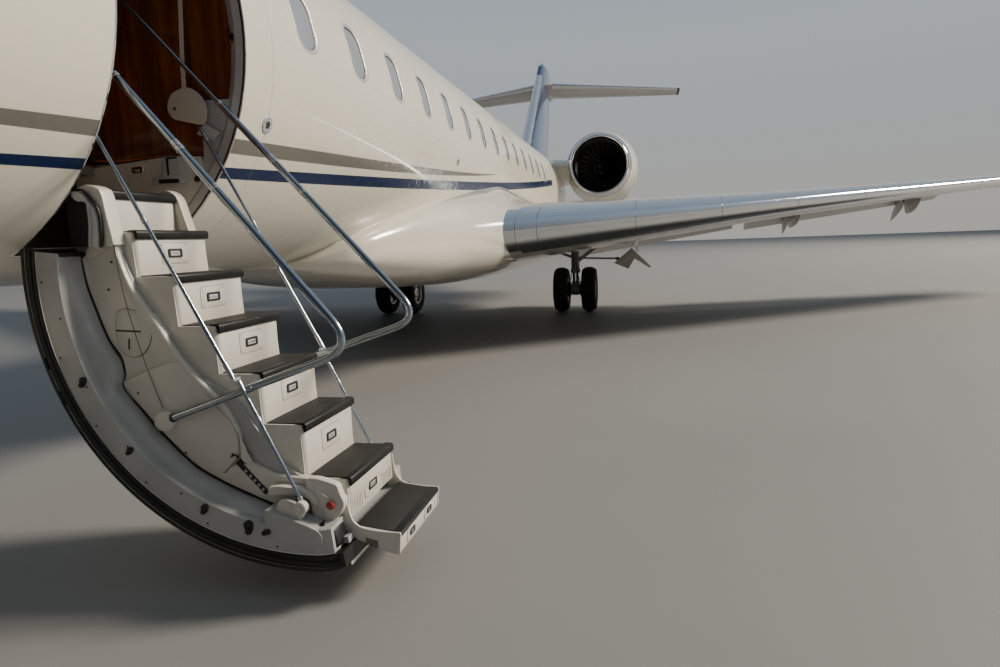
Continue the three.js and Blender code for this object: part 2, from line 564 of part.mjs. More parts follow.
function wing(side, name) {
  const whole = wingSolid(side);
  const g = GAP / 2;
  const c = CLEAR / 2;
  const slat = wingRegion(side, 0, SLAT.chord, SLAT.inner, SLAT.outer - SLAT.endGap, g, c);
  add(`slat_${name}`, both(whole, slat), 'polished');
  const flaps = [
    ['inboard', FLAP.inner, FLAP.kink - 40, FLAP.innerChord, 270, TRACKS.slice(0, 1)],
    ['outboard', FLAP.kink + 60, FLAP.outer, FLAP.chord, 200, TRACKS.slice(1)],
  ];
  const tools = [wingRegion(side, 0, SLAT.chord, SLAT.inner, SLAT.outer, -g, -c)];
  const tracks = [];
  for (const [part, y0, y1, chord, drop, tracksAt] of flaps) {
    const piece = both(whole, wingRegion(side, chord, 1, y0 + FLAP.endGap * 1.6, y1 - FLAP.endGap, c));
    const [p, q] = flapAxis(side, y0, y1, chord, drop);
    const clevises = [];
    for (const y of tracksAt) {
      const pivot = p.clone().lerp(q, (y - y0) / (y1 - y0));
      const { clevis, tongue } = flapPivot(side, y, pivot, q.clone().sub(p).normalize());
      clevises.push(clevis);
      tracks.push(tongue);
    }
    add(`flap_${part}_${name}`, join(tiltAbout(piece, p, q, -side * FLAP.droop), ...clevises), 'cream');
    tools.push(wingRegion(side, chord, 1, y0, y1, -c));
  }
  const aileron = both(whole, wingRegion(side, AILERON.chord, 1, AILERON.inner, AILERON.outer, c, END_GAP));
  const pivot = (y) => V(X(lerp(wingLe(y), wingTe(y), AILERON.chord) + c), side * y, wingZ(y));
  const line = [pivot(AILERON.inner), pivot(AILERON.outer)];
  const along = line[1].clone().sub(line[0]).normalize();
  const pins = [10900, 12800].map((y) => pinHinge(pivot(y), along, V(0, 0, 1)));
  tools.push(wingRegion(side, AILERON.chord, 1, AILERON.inner, AILERON.outer, -c));
  const fairings = TRACKS.map((y) => {
    const start = lerp(wingLe(y), wingTe(y), 0.5);
    const end = lerp(wingLe(y), wingTe(y), FLAP.chord) - TRACK_END;
    const z = wingZ(y) - 80;
    const half = 75;
    const section = (s, low, w) => [V(X(s), side * y - w, z), V(X(s), side * y + w, z),
      V(X(s), side * y + w * 0.6, z - low), V(X(s), side * y - w * 0.6, z - low)];
    return loft([section(start, 90, 20), section(lerp(start, end, 0.45), 330, half), section(end, 420, half)]);
  });
  const body = cut(join(cut(whole, ...tools), ...fairings, ...tracks), fairingSolid(GAP));
  const { fixed, moving } = hinged(body, nosed(aileron, ...line, V(0, 0, 1)), pins);
  add(`wing_${name}`, fixed, 'cream');
  add(`aileron_${name}`, moving, 'cream');
}

// Belly fairing, wrapped under the fuselage
const FAIRING = [
  { s: 7600, w: 200, middle: 1432, top: 1445, bottom: 1420 },
  { s: 7740, w: 520, middle: 1450, top: 1518, bottom: 1385 },
  { s: 7940, w: 850, middle: 1520, top: 1703, bottom: 1330 },
  { s: 8430, w: 1080, middle: 1600, top: 1902, bottom: 1235 },
  { s: 9210, w: 1300, middle: 1650, top: 2126, bottom: 1130 },
  { s: 10090, w: 1500, middle: 1700, top: 2268, bottom: 1055 },
  { s: 11410, w: 1620, middle: 1700, top: 2424, bottom: 1000 },
  { s: 12760, w: 1640, middle: 1700, top: 2576, bottom: 980 },
  { s: 17000, w: 1620, middle: 1700, top: 2500, bottom: 980 },
  { s: 18800, w: 1450, middle: 1720, top: 2350, bottom: 1080 },
  { s: 20300, w: 950, middle: 1760, top: 2150, bottom: 1330 },
  { s: 21200, w: 420, middle: 1780, top: 1950, bottom: 1560 },
];

function fairingSolid(grow = 0) {
  return loft(FAIRING.map((row) => Array.from({ length: 28 }, (_, i) => {
    const a = (2 * Math.PI * i) / 28;
    const n = 0.62;
    const c = Math.sign(Math.cos(a)) * Math.abs(Math.cos(a)) ** n;
    const u = Math.sign(Math.sin(a)) * Math.abs(Math.sin(a)) ** n;
    const h = u > 0 ? row.top - row.middle : row.middle - row.bottom;
    return V(X(row.s), (row.w + grow) * c, row.middle + (h + grow) * u);
  })));
}

function bellyFairing() {
  add('belly_fairing', cut(fairingSolid(), bodyPart(7000, 21500, -GAP)), 'cream');
}

// Tail: fin, rudder, stabiliser and elevators
const finLe = (z) => lerp(TAIL.finLe, TAIL.tipLe, (z - TAIL.finBase) / (TAIL.tipZ - TAIL.finBase));
const finTe = (z) => lerp(TAIL.finTe, TAIL.tipTe, (z - TAIL.finBase) / (TAIL.tipZ - TAIL.finBase));

// The rudder's raked hinge lifts its trailing corner as it swings, so its ends slope and stand off the fin's
const END_SLOPE = 180;      // both ends fall this much by station 31000
const HEAD_ROOM = 220;      // and the rudder's head this much more
const END_ROOM = 44;

function tail() {
  const g = GAP / 2;
  const c = CLEAR / 2;
  const finRing = (z, thick) => foil(finLe(z), finTe(z), thick, (s, t) => V(X(s), t, z));
  const rings = [finRing(3300, 0.1), finRing(TAIL.tipZ, 0.105)];
  const crown = foil(TAIL.tipLe + 500, TAIL.tipTe + 100, 0.07, (s, t) => V(X(s), t, 7770));
  const whole = loft([...rings, crown]);
  const hingeAt = (z) => lerp(finLe(z), finTe(z), TAIL.rudder);
  const rudderZone = (gap, low, high, headSlope = END_SLOPE) => sideBlock([
    [hingeAt(low) + gap, low], [hingeAt(high) + gap, high], [31000, high - headSlope], [31000, low - END_SLOPE],
  ], -500, 500);
  const foot = 4050;
  const head = 6760;
  const rudderLine = (z) => V(X(hingeAt(z) + c), 0, z);
  const rise = rudderLine(head).sub(rudderLine(foot)).normalize();
  const rudderPins = [4500, 5400, 6300].map((z) => pinHinge(rudderLine(z), rise, V(0, 1, 0)));
  const blade = both(whole, rudderZone(c, foot + END_ROOM, head - END_ROOM, END_SLOPE + HEAD_ROOM));
  const rudder = nosed(blade, rudderLine(foot), rudderLine(head), V(0, 1, 0));

  const span = [[0, TAIL.stabLe, TAIL.stabTe], [TAIL.stabY, TAIL.stabTipLe, TAIL.stabTipTe]];
  const stabRing = ([y, le, te], side, thick) =>
    foil(le, te, thick, (s, t) => V(X(s), side * y, TAIL.stabZ + t));
  const stab = loft([stabRing(span[1], -1, 0.08), stabRing(span[0], 1, 0.1), stabRing(span[1], 1, 0.08)]);
  const at = (y, f) => {
    const t = y / TAIL.stabY;
    return lerp(lerp(TAIL.stabLe, TAIL.stabTipLe, t), lerp(TAIL.stabTe, TAIL.stabTipTe, t), f);
  };
  const zone = (side, gap, ends) => planBlock([
    [at(330, TAIL.elevator) + gap, side * (330 + ends)], [at(4700, TAIL.elevator) + gap, side * (4700 - ends)],
    [31000, side * (4700 - ends)], [31000, side * (330 + ends)],
  ], TAIL.stabZ - 300, TAIL.stabZ + 300);
  const elevatorLine = (side, y) => V(X(at(y, TAIL.elevator) + c), side * y, TAIL.stabZ);
  let tailplane = cut(stab, zone(1, -c, -c), zone(-1, -c, -c));
  for (const [name, side] of [['left', 1], ['right', -1]]) {
    const ends = [elevatorLine(side, 330), elevatorLine(side, 4700)];
    const along = ends[1].clone().sub(ends[0]).normalize();
    const pins = [1300, 3700].map((y) => pinHinge(elevatorLine(side, y), along, V(0, 0, 1)));
    const elevator = nosed(both(stab, zone(side, c, END_GAP)), ...ends, V(0, 0, 1));
    const { fixed, moving } = hinged(tailplane, elevator, pins);
    tailplane = fixed;
    add(`elevator_${name}`, moving, 'cream');
  }
  add('stabiliser', tailplane, 'cream');
  const grown = loft([stabRing(span[1], -1, 0.081), stabRing(span[0], 1, 0.101), stabRing(span[1], 1, 0.081)]);
  const fin = cut(whole, rudderZone(-c, foot - c, head + c), bodyPart(CABIN_END, TAIL_END, -GAP),
    grown.translate([1, 0, g]), grown.translate([-1, 0, -g]),
    grown.translate([1, 0, -g]), grown.translate([-1, 0, g]));
  const { fixed, moving } = hinged(fin, rudder, rudderPins);
  add('fin', fixed, 'navy');
  add('rudder', moving, 'navy');
}

// Engines: nacelle open at its mouth, fan, core block and pylon
function lathe(profile, s, y, z, steps = 32) {
  const points = profile.map(([x, r]) => new THREE.Vector2(r, x));
  const shape = new THREE.LatheGeometry(points, steps);
  shape.rotateZ(Math.PI / 2);   // the profile's first number now runs aft
  return shape.translate(X(s), y, z);
}

const NACELLE = [
  [60, 766], [0, 738], [40, 694], [300, 666], [700, 683], [3900, 683], [4250, 577], [4250, 605], [3400, 866],
  [2400, 977], [1300, 988], [500, 910], [150, 821], [60, 766],
];

const PYLON_THICK = 0.18;   // of its chord

function engine(side, name) {
  const { front, z } = ENGINE;
  const y = side * ENGINE.y;
  const turn = (profile, s, steps) => solid(lathe(profile, s, y, z, steps));
  add(`nacelle_${name}`, turn(NACELLE, front), 'cream');

  const hub = [[0, 0], [120, 90], [260, 160], [420, 170], [420, 80], [465 - GAP, 80], [465 - GAP, 0]];
  const blades = [];
  for (let i = 0; i < FAN_BLADES; i++) {
    const blade = new THREE.BoxGeometry(16, 500, 150);
    blade.rotateY(rad(50)).translate(0, 400, 0);
    blade.applyMatrix4(new THREE.Matrix4().makeRotationX((2 * Math.PI * i) / FAN_BLADES));
    blades.push(solid(blade.translate(X(front + 700), y, z)));
  }
  add(`fan_${name}`, join(turn(hub, front + 330, 20), ...blades), 'dark');
  const core = [[0, 0], [0, 683 - GAP], [3100, 683 - GAP], [3100, 0]];
  const cone = [[0, 0], [0, 400], [300, 380], [900, 60], [900, 0]];
  add(`engine_${name}`, join(turn(core, front + 795), turn(cone, front + 3800, 24)), 'dark');

  const section = (at, le, te, thick) => foil(le, te, thick, (s, h) => V(X(s), side * at, z - 30 + h));
  const arm = loft([section(800, 20500, 24400, PYLON_THICK), section(1750, 20700, 24200, PYLON_THICK)]);
  const roomProfile = NACELLE.slice(7).reverse().map(([a, r]) => [a, r + GAP]);
  const nacelleRoom = turn([[0, 0], ...roomProfile, [4250, 0]], front);
  add(`pylon_${name}`, cut(arm, nacelleRoom, bodyPart(18000, TAIL_END, -GAP)), 'cream');
}

// Landing gear
function wheelPair(s, y, gear, half) {
  const { tyreR, tyreW, rimR } = gear;
  const one = (at) => {
    const w = tyreW / 2;
    const profile = [
      [-w * 0.3, 0], [-w * 0.5, rimR], [-w * 0.95, rimR + 20], [-w, tyreR - 90],
      [-w * 0.7, tyreR - 12], [0, tyreR], [w * 0.7, tyreR - 12], [w, tyreR - 90], [w * 0.95, rimR + 20],
      [w * 0.5, rimR], [w * 0.3, 0],
    ];
    const grow = 1 / Math.cos(Math.PI / WHEEL_STEPS);   // its flats then touch the true circle
    const points = profile.map(([a, r]) => new THREE.Vector2(r * grow, a));
    const made = new THREE.LatheGeometry(points, WHEEL_STEPS, Math.PI / WHEEL_STEPS);
    return solid(made.translate(X(s), at, tyreR));
  };
  const sleeve = rod(V(X(s), y - half, tyreR), V(X(s), y + half, tyreR), HUB_R, 24);
  return { wheels: join(one(y - half), one(y + half)), sleeve };
}

function noseGear() {
  const { station: s, tyreR, spacing } = NOSE_GEAR;
  const half = spacing / 2;
  const { wheels, sleeve } = wheelPair(s, 0, NOSE_GEAR, half);
  add('nose_wheels', join(wheels, sleeve), 'tyre');
  const fork = join(
    cut(rod(V(X(s), -75, tyreR), V(X(s), 75, tyreR), 110, 24),
      hole(V(X(s), -90, tyreR), V(X(s), 90, tyreR), HUB_R, 24)),
    rod(V(X(s), 0, tyreR + 100), V(X(s), 0, 800), 48, 24),
  );
  add('nose_gear_steering', fork, 'steel');
  const top = 1700;
  const leg = join(
    cut(rod(V(X(s), 0, 640), V(X(s), 0, top), 85, 16), hole(V(X(s), 0, 600), V(X(s), 0, 830), 48, 24)),
    rod(V(X(s) - 40, 0, 1000), V(X(s) - 700, 0, top - 40), 40, 12),
  );
  const hullAbove = bodyPart(3000, 6000, -GAP);
  add('nose_gear_leg', cut(leg, hullAbove), 'alloy');
  for (const [name, side] of [['left', 1], ['right', -1]]) {
    const door = slab([[side * 290, 1520], [side * 305, 1520], [side * 345, 1040], [side * 330, 1040]],
      3500, 4480);
    add(`nose_gear_door_${name}`, cut(door, hullAbove), 'cream');
  }
}

function mainGear(side, name) {
  const { station: s, tyreR, spacing } = MAIN_GEAR;
  const y = side * MAIN_GEAR.y;
  const half = spacing / 2;
  const { wheels, sleeve } = wheelPair(s, y, MAIN_GEAR, half);
  add(`main_wheels_${name}`, join(wheels, sleeve), 'tyre');
  const top = 1700;
  const link = [V(X(s + 60), y, 1160), V(X(s + 60), side * 3040, 1120)];
  const leg = join(
    cut(rod(V(X(s), y - 95, tyreR), V(X(s), y + 95, tyreR), 130, 24),
      hole(V(X(s), y - 110, tyreR), V(X(s), y + 110, tyreR), HUB_R, 24)),
    rod(V(X(s), y, tyreR + 110), V(X(s), y, top), 90, 20),
    rod(V(X(s), y, 1050), V(X(s), y + side * 700, top), 40, 12),
    rod(...link, 22, 12),
  );
  const under = wingSolid(side);
  const clearWing = cut(leg, under.translate([0, 0, -GAP]), fairingSolid(GAP));
  const parts = clearWing.decompose().filter((p) => p.boundingBox().min[2] < 900);
  add(`main_gear_leg_${name}`, parts[0], 'alloy');
  const door = slab([
    [side * 3180, 920], [side * 2880, 1050], [side * 3240, 1340], [side * 3640, 950], [side * 3600, 935],
    [side * 3300, 1130],
  ], s - 500, s + 500);
  add(`main_gear_door_${name}`, cut(door, under.translate([0, 0, -GAP]), rod(...link, 22 + GAP, 12)), 'cream');
}

noseSection();
fuselage();
entrance();
airstair();
rails();
bellyFairing();
for (const [side, name] of [[1, 'left'], [-1, 'right']]) {
  wing(side, name);
  engine(side, name);
  mainGear(side, name);
}
tail();
noseGear();

export default group;
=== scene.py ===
"""The looks of a large-cabin business jet, standing on its gear with its airstair door down.

Every length is in metres, in the frame of the CAD model: +X to the nose, +Y to port, +Z up.
A station is the distance aft of the nose tip.
"""
from __future__ import annotations

import logging
import math
import sys
from collections.abc import Callable, Iterable, Sequence
from dataclasses import dataclass, field
from enum import Enum

import bmesh
import bpy
import numpy as np
from mathutils import Matrix, Vector

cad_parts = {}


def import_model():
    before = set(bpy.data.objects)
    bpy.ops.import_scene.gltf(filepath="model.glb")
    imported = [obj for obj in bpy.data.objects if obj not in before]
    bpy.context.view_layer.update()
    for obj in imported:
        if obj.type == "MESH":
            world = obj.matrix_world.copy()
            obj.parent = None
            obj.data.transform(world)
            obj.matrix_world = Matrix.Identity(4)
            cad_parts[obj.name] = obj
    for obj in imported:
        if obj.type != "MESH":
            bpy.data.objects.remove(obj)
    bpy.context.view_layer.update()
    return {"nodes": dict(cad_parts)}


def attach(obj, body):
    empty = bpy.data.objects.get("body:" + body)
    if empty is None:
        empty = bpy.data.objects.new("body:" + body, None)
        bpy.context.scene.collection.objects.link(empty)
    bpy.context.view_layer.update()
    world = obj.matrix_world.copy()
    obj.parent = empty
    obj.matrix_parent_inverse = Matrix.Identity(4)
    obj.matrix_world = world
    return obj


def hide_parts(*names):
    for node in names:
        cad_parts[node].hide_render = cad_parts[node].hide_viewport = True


LOG = logging.getLogger("jet")
NOSE_X = 15.15
Flat = tuple[float, float]
Point = tuple[float, float, float]
Colour = tuple[float, float, float]


def x_at(station: float) -> float:
    """The X of a station."""
    return NOSE_X - station


class Side(Enum):
    """The two sides of the aircraft."""

    LEFT = 1
    RIGHT = -1

    @property
    def tag(self) -> str:
        """The side's name in node and piece names."""
        return self.name.lower()


# Shader building


@dataclass(frozen=True)
class Sock:
    """A value inside a material, with arithmetic that adds the nodes it needs."""

    tree: bpy.types.NodeTree
    out: bpy.types.NodeSocket

    def maths(self, operation: str, other: Sock | float | None = None, swap: bool = False) -> Sock:
        """Join this value with another through one Math node.

        Args:
            operation: the Math node's operation.
            other: the second value, or None for an operation on one value.
            swap: whether the other value comes first.

        Returns:
            The result.
        """
        node = self.tree.nodes.new("ShaderNodeMath")
        node.operation = operation
        values = [self] if other is None else [other, self] if swap else [self, other]
        for socket, value in zip(node.inputs, values):
            feed(self.tree, socket, value)
        return Sock(self.tree, node.outputs[0])

    def __add__(self, other: Sock | float) -> Sock:
        """self + other."""
        return self.maths("ADD", other)

    def __sub__(self, other: Sock | float) -> Sock:
        """self - other."""
        return self.maths("SUBTRACT", other)

    def __rsub__(self, other: float) -> Sock:
        """other - self."""
        return self.maths("SUBTRACT", other, swap=True)

    def __mul__(self, other: Sock | float) -> Sock:
        """self * other."""
        return self.maths("MULTIPLY", other)

    def __truediv__(self, other: Sock | float) -> Sock:
        """self / other."""
        return self.maths("DIVIDE", other)

    def __gt__(self, other: Sock | float) -> Sock:
        """1 where self is above other."""
        return self.maths("GREATER_THAN", other)

    def __lt__(self, other: Sock | float) -> Sock:
        """1 where self is below other."""
        return self.maths("LESS_THAN", other)

    def __abs__(self) -> Sock:
        """The size of self."""
        return self.maths("ABSOLUTE")

    __radd__ = __add__
    __rmul__ = __mul__

    def clamp(self) -> Sock:
        """self, kept from 0 to 1."""
        return self.maths("MAXIMUM", 0.0).maths("MINIMUM", 1.0)

    def wave(self, pitch: float) -> Sock:
        """A wave from 0 to 1 that repeats every pitch."""
        return (self * (2 * math.pi / pitch)).maths("SINE") * 0.5 + 0.5

    def tooth(self, pitch: float) -> Sock:
        """The place within each repeat of pitch, from 0 to 1."""
        return (self / pitch).maths("FRACT")

    def near(self, value: float, width: float, soft: float = 0.001) -> Sock:
        """1 within half a width of a value, fading over soft."""
        return ((abs(self - value) * -1.0 + width / 2) / soft + 0.5).clamp()

    def between(self, low: Sock | float, high: Sock | float, soft: float = 0.002) -> Sock:
        """1 between two values, fading over soft."""
        return ((self - low) / soft + 0.5).clamp() * ((self - high) / -soft + 0.5).clamp()


def feed(tree: bpy.types.NodeTree, socket: bpy.types.NodeSocket, value: object) -> None:
    """Link a value to a socket, or set it there.

    Args:
        tree: the material's nodes.
        socket: the input.
        value: a Sock, a number or a colour.
    """
    if isinstance(value, Sock):
        tree.links.new(value.out, socket)
    elif isinstance(value, (tuple, list)) and len(value) == 3 and socket.type == "RGBA":
        socket.default_value = (*value, 1.0)
    else:
        socket.default_value = value


class Shader:
    """A material while it is being built."""

    def __init__(self, name: str) -> None:
        """Start an empty material with that name."""
        self.material = bpy.data.materials.new(name)
        self.material.use_nodes = True
        self.tree = self.material.node_tree
        self.tree.nodes.clear()
        self.place = self.node("ShaderNodeTexCoord", output="Object")
        self.x, self.y, self.z = (
            self.node("ShaderNodeSeparateXYZ", inputs={"Vector": self.place}, output=axis) for axis in "XYZ")
        self.station = NOSE_X - self.x

    def node(self, kind: str, settings: dict | None = None, inputs: dict | None = None,
            output: object = 0) -> Sock:
        """Add one node.

        Args:
            kind: the node's type.
            settings: its properties, and "stops" for a colour ramp, which are set first.
            inputs: values or links by socket name or number.
            output: the name or number of the output that is wanted.

        Returns:
            That output.
        """
        node = self.tree.nodes.new(kind)
        for key, value in (settings or {}).items():
            if key == "stops":
                ramp = node.color_ramp.elements
                while len(ramp) < len(value):
                    ramp.new(1.0)
                for stop, (at, colour) in zip(ramp, value):
                    stop.position, stop.color = at, (*colour, 1.0)
            else:
                setattr(node, key, value)
        for key, value in (inputs or {}).items():
            feed(self.tree, node.inputs[key], value)
        return Sock(self.tree, node.outputs[output])

    def mix(self, first: object, second: object, factor: object) -> Sock:
        """A colour between two, by a factor from 0 to 1."""
        return self.node("ShaderNodeMix", {"data_type": "RGBA"}, {0: factor, 6: first, 7: second}, output=2)

    def noise(self, scale: float, detail: float = 3.0, rough: float = 0.5, at: Sock | None = None) -> Sock:
        """Noise around 0.5 over the piece."""
        return self.node("ShaderNodeTexNoise", None,
            {"Vector": at or self.place, "Scale": scale, "Detail": detail, "Roughness": rough})

    def stretched(self, x: float, y: float, z: float) -> Sock:
        """The place with each axis scaled, for grain that runs one way."""
        return self.node("ShaderNodeVectorMath", {"operation": "MULTIPLY"}, {0: self.place, 1: (x, y, z)})

    def bump(self, height: Sock, strength: float, distance: float = 0.001) -> Sock:
        """A normal from a height in units of distance."""
        return self.node("ShaderNodeBump", None,
            {"Height": height, "Strength": strength, "Distance": distance}, output="Normal")

    def finish(self, **sockets: object) -> bpy.types.Material:
        """Close the material with one Principled surface.

        Args:
            sockets: values or links by socket name, with _ for a space.

        Returns:
            The material.
        """
        surface = self.tree.nodes.new("ShaderNodeBsdfPrincipled")
        for key, value in sockets.items():
            feed(self.tree, surface.inputs[key.replace("_", " ")], value)
        end = self.tree.nodes.new("ShaderNodeOutputMaterial")
        self.tree.links.new(surface.outputs[0], end.inputs[0])
        return self.material


# Finishes


@dataclass(frozen=True)
class Finish:
    """A surface finish: its name, and the record's slot that it stands for."""

    name: str
    slot: str

    def paint(self, shader: Shader) -> bpy.types.Material:
        """Build the material in a new shader."""
        raise NotImplementedError

    def material(self) -> bpy.types.Material:
        """The finish's material, built once."""
        return bpy.data.materials.get(self.name) or self.paint(Shader(self.name))


@dataclass(frozen=True)
class Plain(Finish):
    """One colour with slight tone, dust and grain, for plastics, rubbers and plain paint."""

    colour: Colour = (0.5, 0.5, 0.5)
    tone: float = 0.08          # how far the colour wanders
    patch: float = 1.6          # noise scale of the wander
    roughness: float = 0.4
    spread: float = 0.08        # how far the roughness wanders
    metal: float = 0.0
    grain: float = 240.0        # noise scale of the grain
    depth: float = 0.15         # strength of the grain's bump
    coat: float = 0.0
    shine: float = 0.5          # strength of the reflection without the coat
    speck: float = 0.0          # share of small dark specks

    def paint(self, shader: Shader) -> bpy.types.Material:
        """Build the material."""
        wander = shader.noise(self.patch, 5.0)
        fine = shader.noise(self.grain, 2.0)
        dark = tuple(max(0.0, c * (1 - 2.2 * self.tone)) for c in self.colour)
        light = tuple(min(1.0, c * (1 + 1.2 * self.tone)) for c in self.colour)
        colour = shader.mix(dark, light, (wander * 1.8 - 0.4).clamp())
        if self.speck:
            spots = (shader.noise(self.grain * 0.6, 1.0) > 1 - self.speck)
            colour = shader.mix(colour, tuple(c * 0.35 for c in self.colour), spots * 0.6)
        scuff = shader.noise(self.patch * 9, 6.0, 0.7)
        rough = scuff * (2 * self.spread) + (self.roughness - self.spread) + fine * 0.04
        return shader.finish(Base_Color=colour, Roughness=rough.clamp(), Metallic=self.metal,
            Specular_IOR_Level=self.shine, Coat_Weight=self.coat, Coat_Roughness=0.06,
            Normal=shader.bump(fine, self.depth, 0.0006))


@dataclass(frozen=True)
class Brushed(Finish):
    """Bare metal with fine brushing along X, faint stains and finger marks."""

    colour: Colour = (0.7, 0.71, 0.73)
    roughness: float = 0.18
    along: Point = (3.0, 260.0, 260.0)
    depth: float = 0.06
    stain: float = 0.25

    def paint(self, shader: Shader) -> bpy.types.Material:
        """Build the material."""
        lines = shader.noise(1.0, 4.0, 0.6, shader.stretched(*self.along))
        cloud = shader.noise(3.0, 6.0, 0.65)
        colour = shader.mix(self.colour, tuple(c * 0.72 for c in self.colour),
            (cloud * 2.2 - 0.75).clamp() * self.stain)
        rough = lines * 0.08 + cloud * 0.12 + (self.roughness - 0.08)
        return shader.finish(Base_Color=colour, Roughness=rough.clamp(), Metallic=1.0,
            Normal=shader.bump(lines, self.depth, 0.0004))


def curve_fit(points: Sequence[Flat], degree: int = 3) -> list[float]:
    """Coefficients, lowest first, of a smooth line through measured points."""
    stations, heights = zip(*points)
    return [float(c) for c in np.polyfit(stations, heights, degree)[::-1]]


def along(station: Sock, coefficients: Sequence[float]) -> Sock:
    """A height at each station, from the coefficients of a smooth line."""
    total = station * coefficients[-1] + coefficients[-2]
    for c in reversed(coefficients[:-2]):
        total = total * station + c
    return total


NAVY = (0.004, 0.016, 0.066)
TAUPE = (0.15, 0.143, 0.122)
NAVY_TOP = ((2.6, 1.9), (4.25, 2.021), (5.63, 2.071), (6.87, 2.122), (9.06, 2.249), (11.28, 2.415),
    (18.26, 2.971))
NAVY_LOW = ((2.6, 1.89), (4.25, 1.984), (5.68, 2.014), (6.95, 2.048), (9.18, 2.154), (11.39, 2.317),
    (18.14, 2.823))
TAUPE_TOP = ((3.2, 2.085), (4.2, 2.152), (5.62, 2.214), (6.34, 2.262), (8.19, 2.338), (9.79, 2.418),
    (12.11, 2.576))
TAUPE_LOW = ((3.2, 2.06), (4.2, 2.092), (5.64, 2.15), (7.19, 2.205), (8.26, 2.262), (9.83, 2.374),
    (12.12, 2.566))
JOINTS = (2.62, 3.3, 5.9, 8.62, 11.42, 14.05, 16.8, 18.6, 20.0, 21.9, 24.3, 26.1)


@dataclass(frozen=True)
class HullPaint(Finish):
    """Glossy cream paint over thin sheet, with two stripes, skin joints and rivet rows."""

    swing: float = 0.0          # degrees that this piece is turned from its place in the hull
    pivot: Flat = (0.667, 1.629)

    def paint(self, shader: Shader) -> bpy.types.Material:
        """Build the material."""
        y, z, s = shader.y, shader.z, shader.station
        if self.swing:
            angle = math.radians(self.swing)
            dy, dz = y - self.pivot[0], z - self.pivot[1]
            z = dy * math.sin(angle) + dz * math.cos(angle) + self.pivot[1]
        stripe_navy = z.between(along(s, curve_fit(NAVY_LOW)), along(s, curve_fit(NAVY_TOP))) * (s < 18.6)
        stripe_navy = stripe_navy * (s > 2.75)
        stripe_taupe = z.between(along(s, curve_fit(TAUPE_LOW)), along(s, curve_fit(TAUPE_TOP)))
        stripe_taupe = stripe_taupe * (s < 12.15) * (s > 3.2)
        cloud = shader.noise(0.55, 4.0)
        dust = shader.noise(7.0, 8.0, 0.7)
        low = ((2.1 - z) * 0.6).clamp()
        colour = shader.mix((0.8, 0.765, 0.655), (0.72, 0.68, 0.565), (cloud * 1.5 - 0.25).clamp())
        colour = shader.mix(colour, (0.46, 0.44, 0.38), (dust * 1.6 - 0.85).clamp() * low * 0.35)
        colour = shader.mix(colour, TAUPE, stripe_taupe)
        colour = shader.mix(colour, NAVY, stripe_navy)
        seam = s.near(JOINTS[0], 0.004)
        rivets = s.near(JOINTS[0] + 0.02, 0.007)
        for joint in JOINTS[1:]:
            seam = seam + s.near(joint, 0.004)
            rivets = rivets + s.near(joint + 0.02, 0.007) + s.near(joint - 0.02, 0.007)
        seam = (seam + z.near(2.86, 0.003) * (s > 5.9) * (s < 20.0)).clamp()
        dots = rivets.clamp() * (z.wave(0.03) > 0.8)
        colour = shader.mix(colour, (0.3, 0.29, 0.25), (seam * 0.55 + dots * 0.1).clamp())
        ripple = shader.noise(1.3, 2.0) * 1.4
        height = ripple - seam * 0.5 - dots * 0.12
        return shader.finish(Base_Color=colour, Roughness=(dust * 0.14 + 0.2 + low * 0.08), Metallic=0.0,
            Coat_Weight=stripe_navy * -0.42 + 0.62, Coat_Roughness=0.05, Coat_IOR=1.32,
            Specular_IOR_Level=0.3, Normal=shader.bump(height, 0.2, 0.0022))


@dataclass(frozen=True)
class TailPaint(Finish):
    """Blue sides behind a polished leading edge, paler towards the back."""

    edge_base: Flat = (21.93, 3.85)    # station and height of the edge's foot
    edge_top: Flat = (26.34, 7.56)
    band: float = 0.24

    def paint(self, shader: Shader) -> bpy.types.Material:
        """Build the material."""
        s, z = shader.station, shader.z
        slope = (self.edge_top[0] - self.edge_base[0]) / (self.edge_top[1] - self.edge_base[1])
        back = s - ((z - self.edge_base[1]) * slope + self.edge_base[0])
        bare = (back < self.band) * z.between(4.35, 7.15, 0.01)
        cloud = shader.noise(1.2, 4.0)
        blue = shader.mix((0.006, 0.02, 0.07), (0.009, 0.028, 0.09), cloud)
        aft = (back * 0.45).clamp()
        blue = shader.mix(blue, (0.03, 0.075, 0.19), aft)
        joint = back.near(self.band, 0.008)
        colour = shader.mix(blue, (0.8, 0.81, 0.83), bare)
        colour = shader.mix(colour, (0.05, 0.05, 0.06), joint * 0.7)
        fine = shader.noise(300.0, 1.0)
        return shader.finish(Base_Color=colour, Roughness=cloud * 0.08 + 0.12 - bare * 0.06, Metallic=bare,
            Coat_Weight=0.6 - bare * 0.6, Coat_Roughness=0.05, Specular_IOR_Level=0.3,
            Normal=shader.bump(fine + joint * -3.0, 0.12, 0.001))


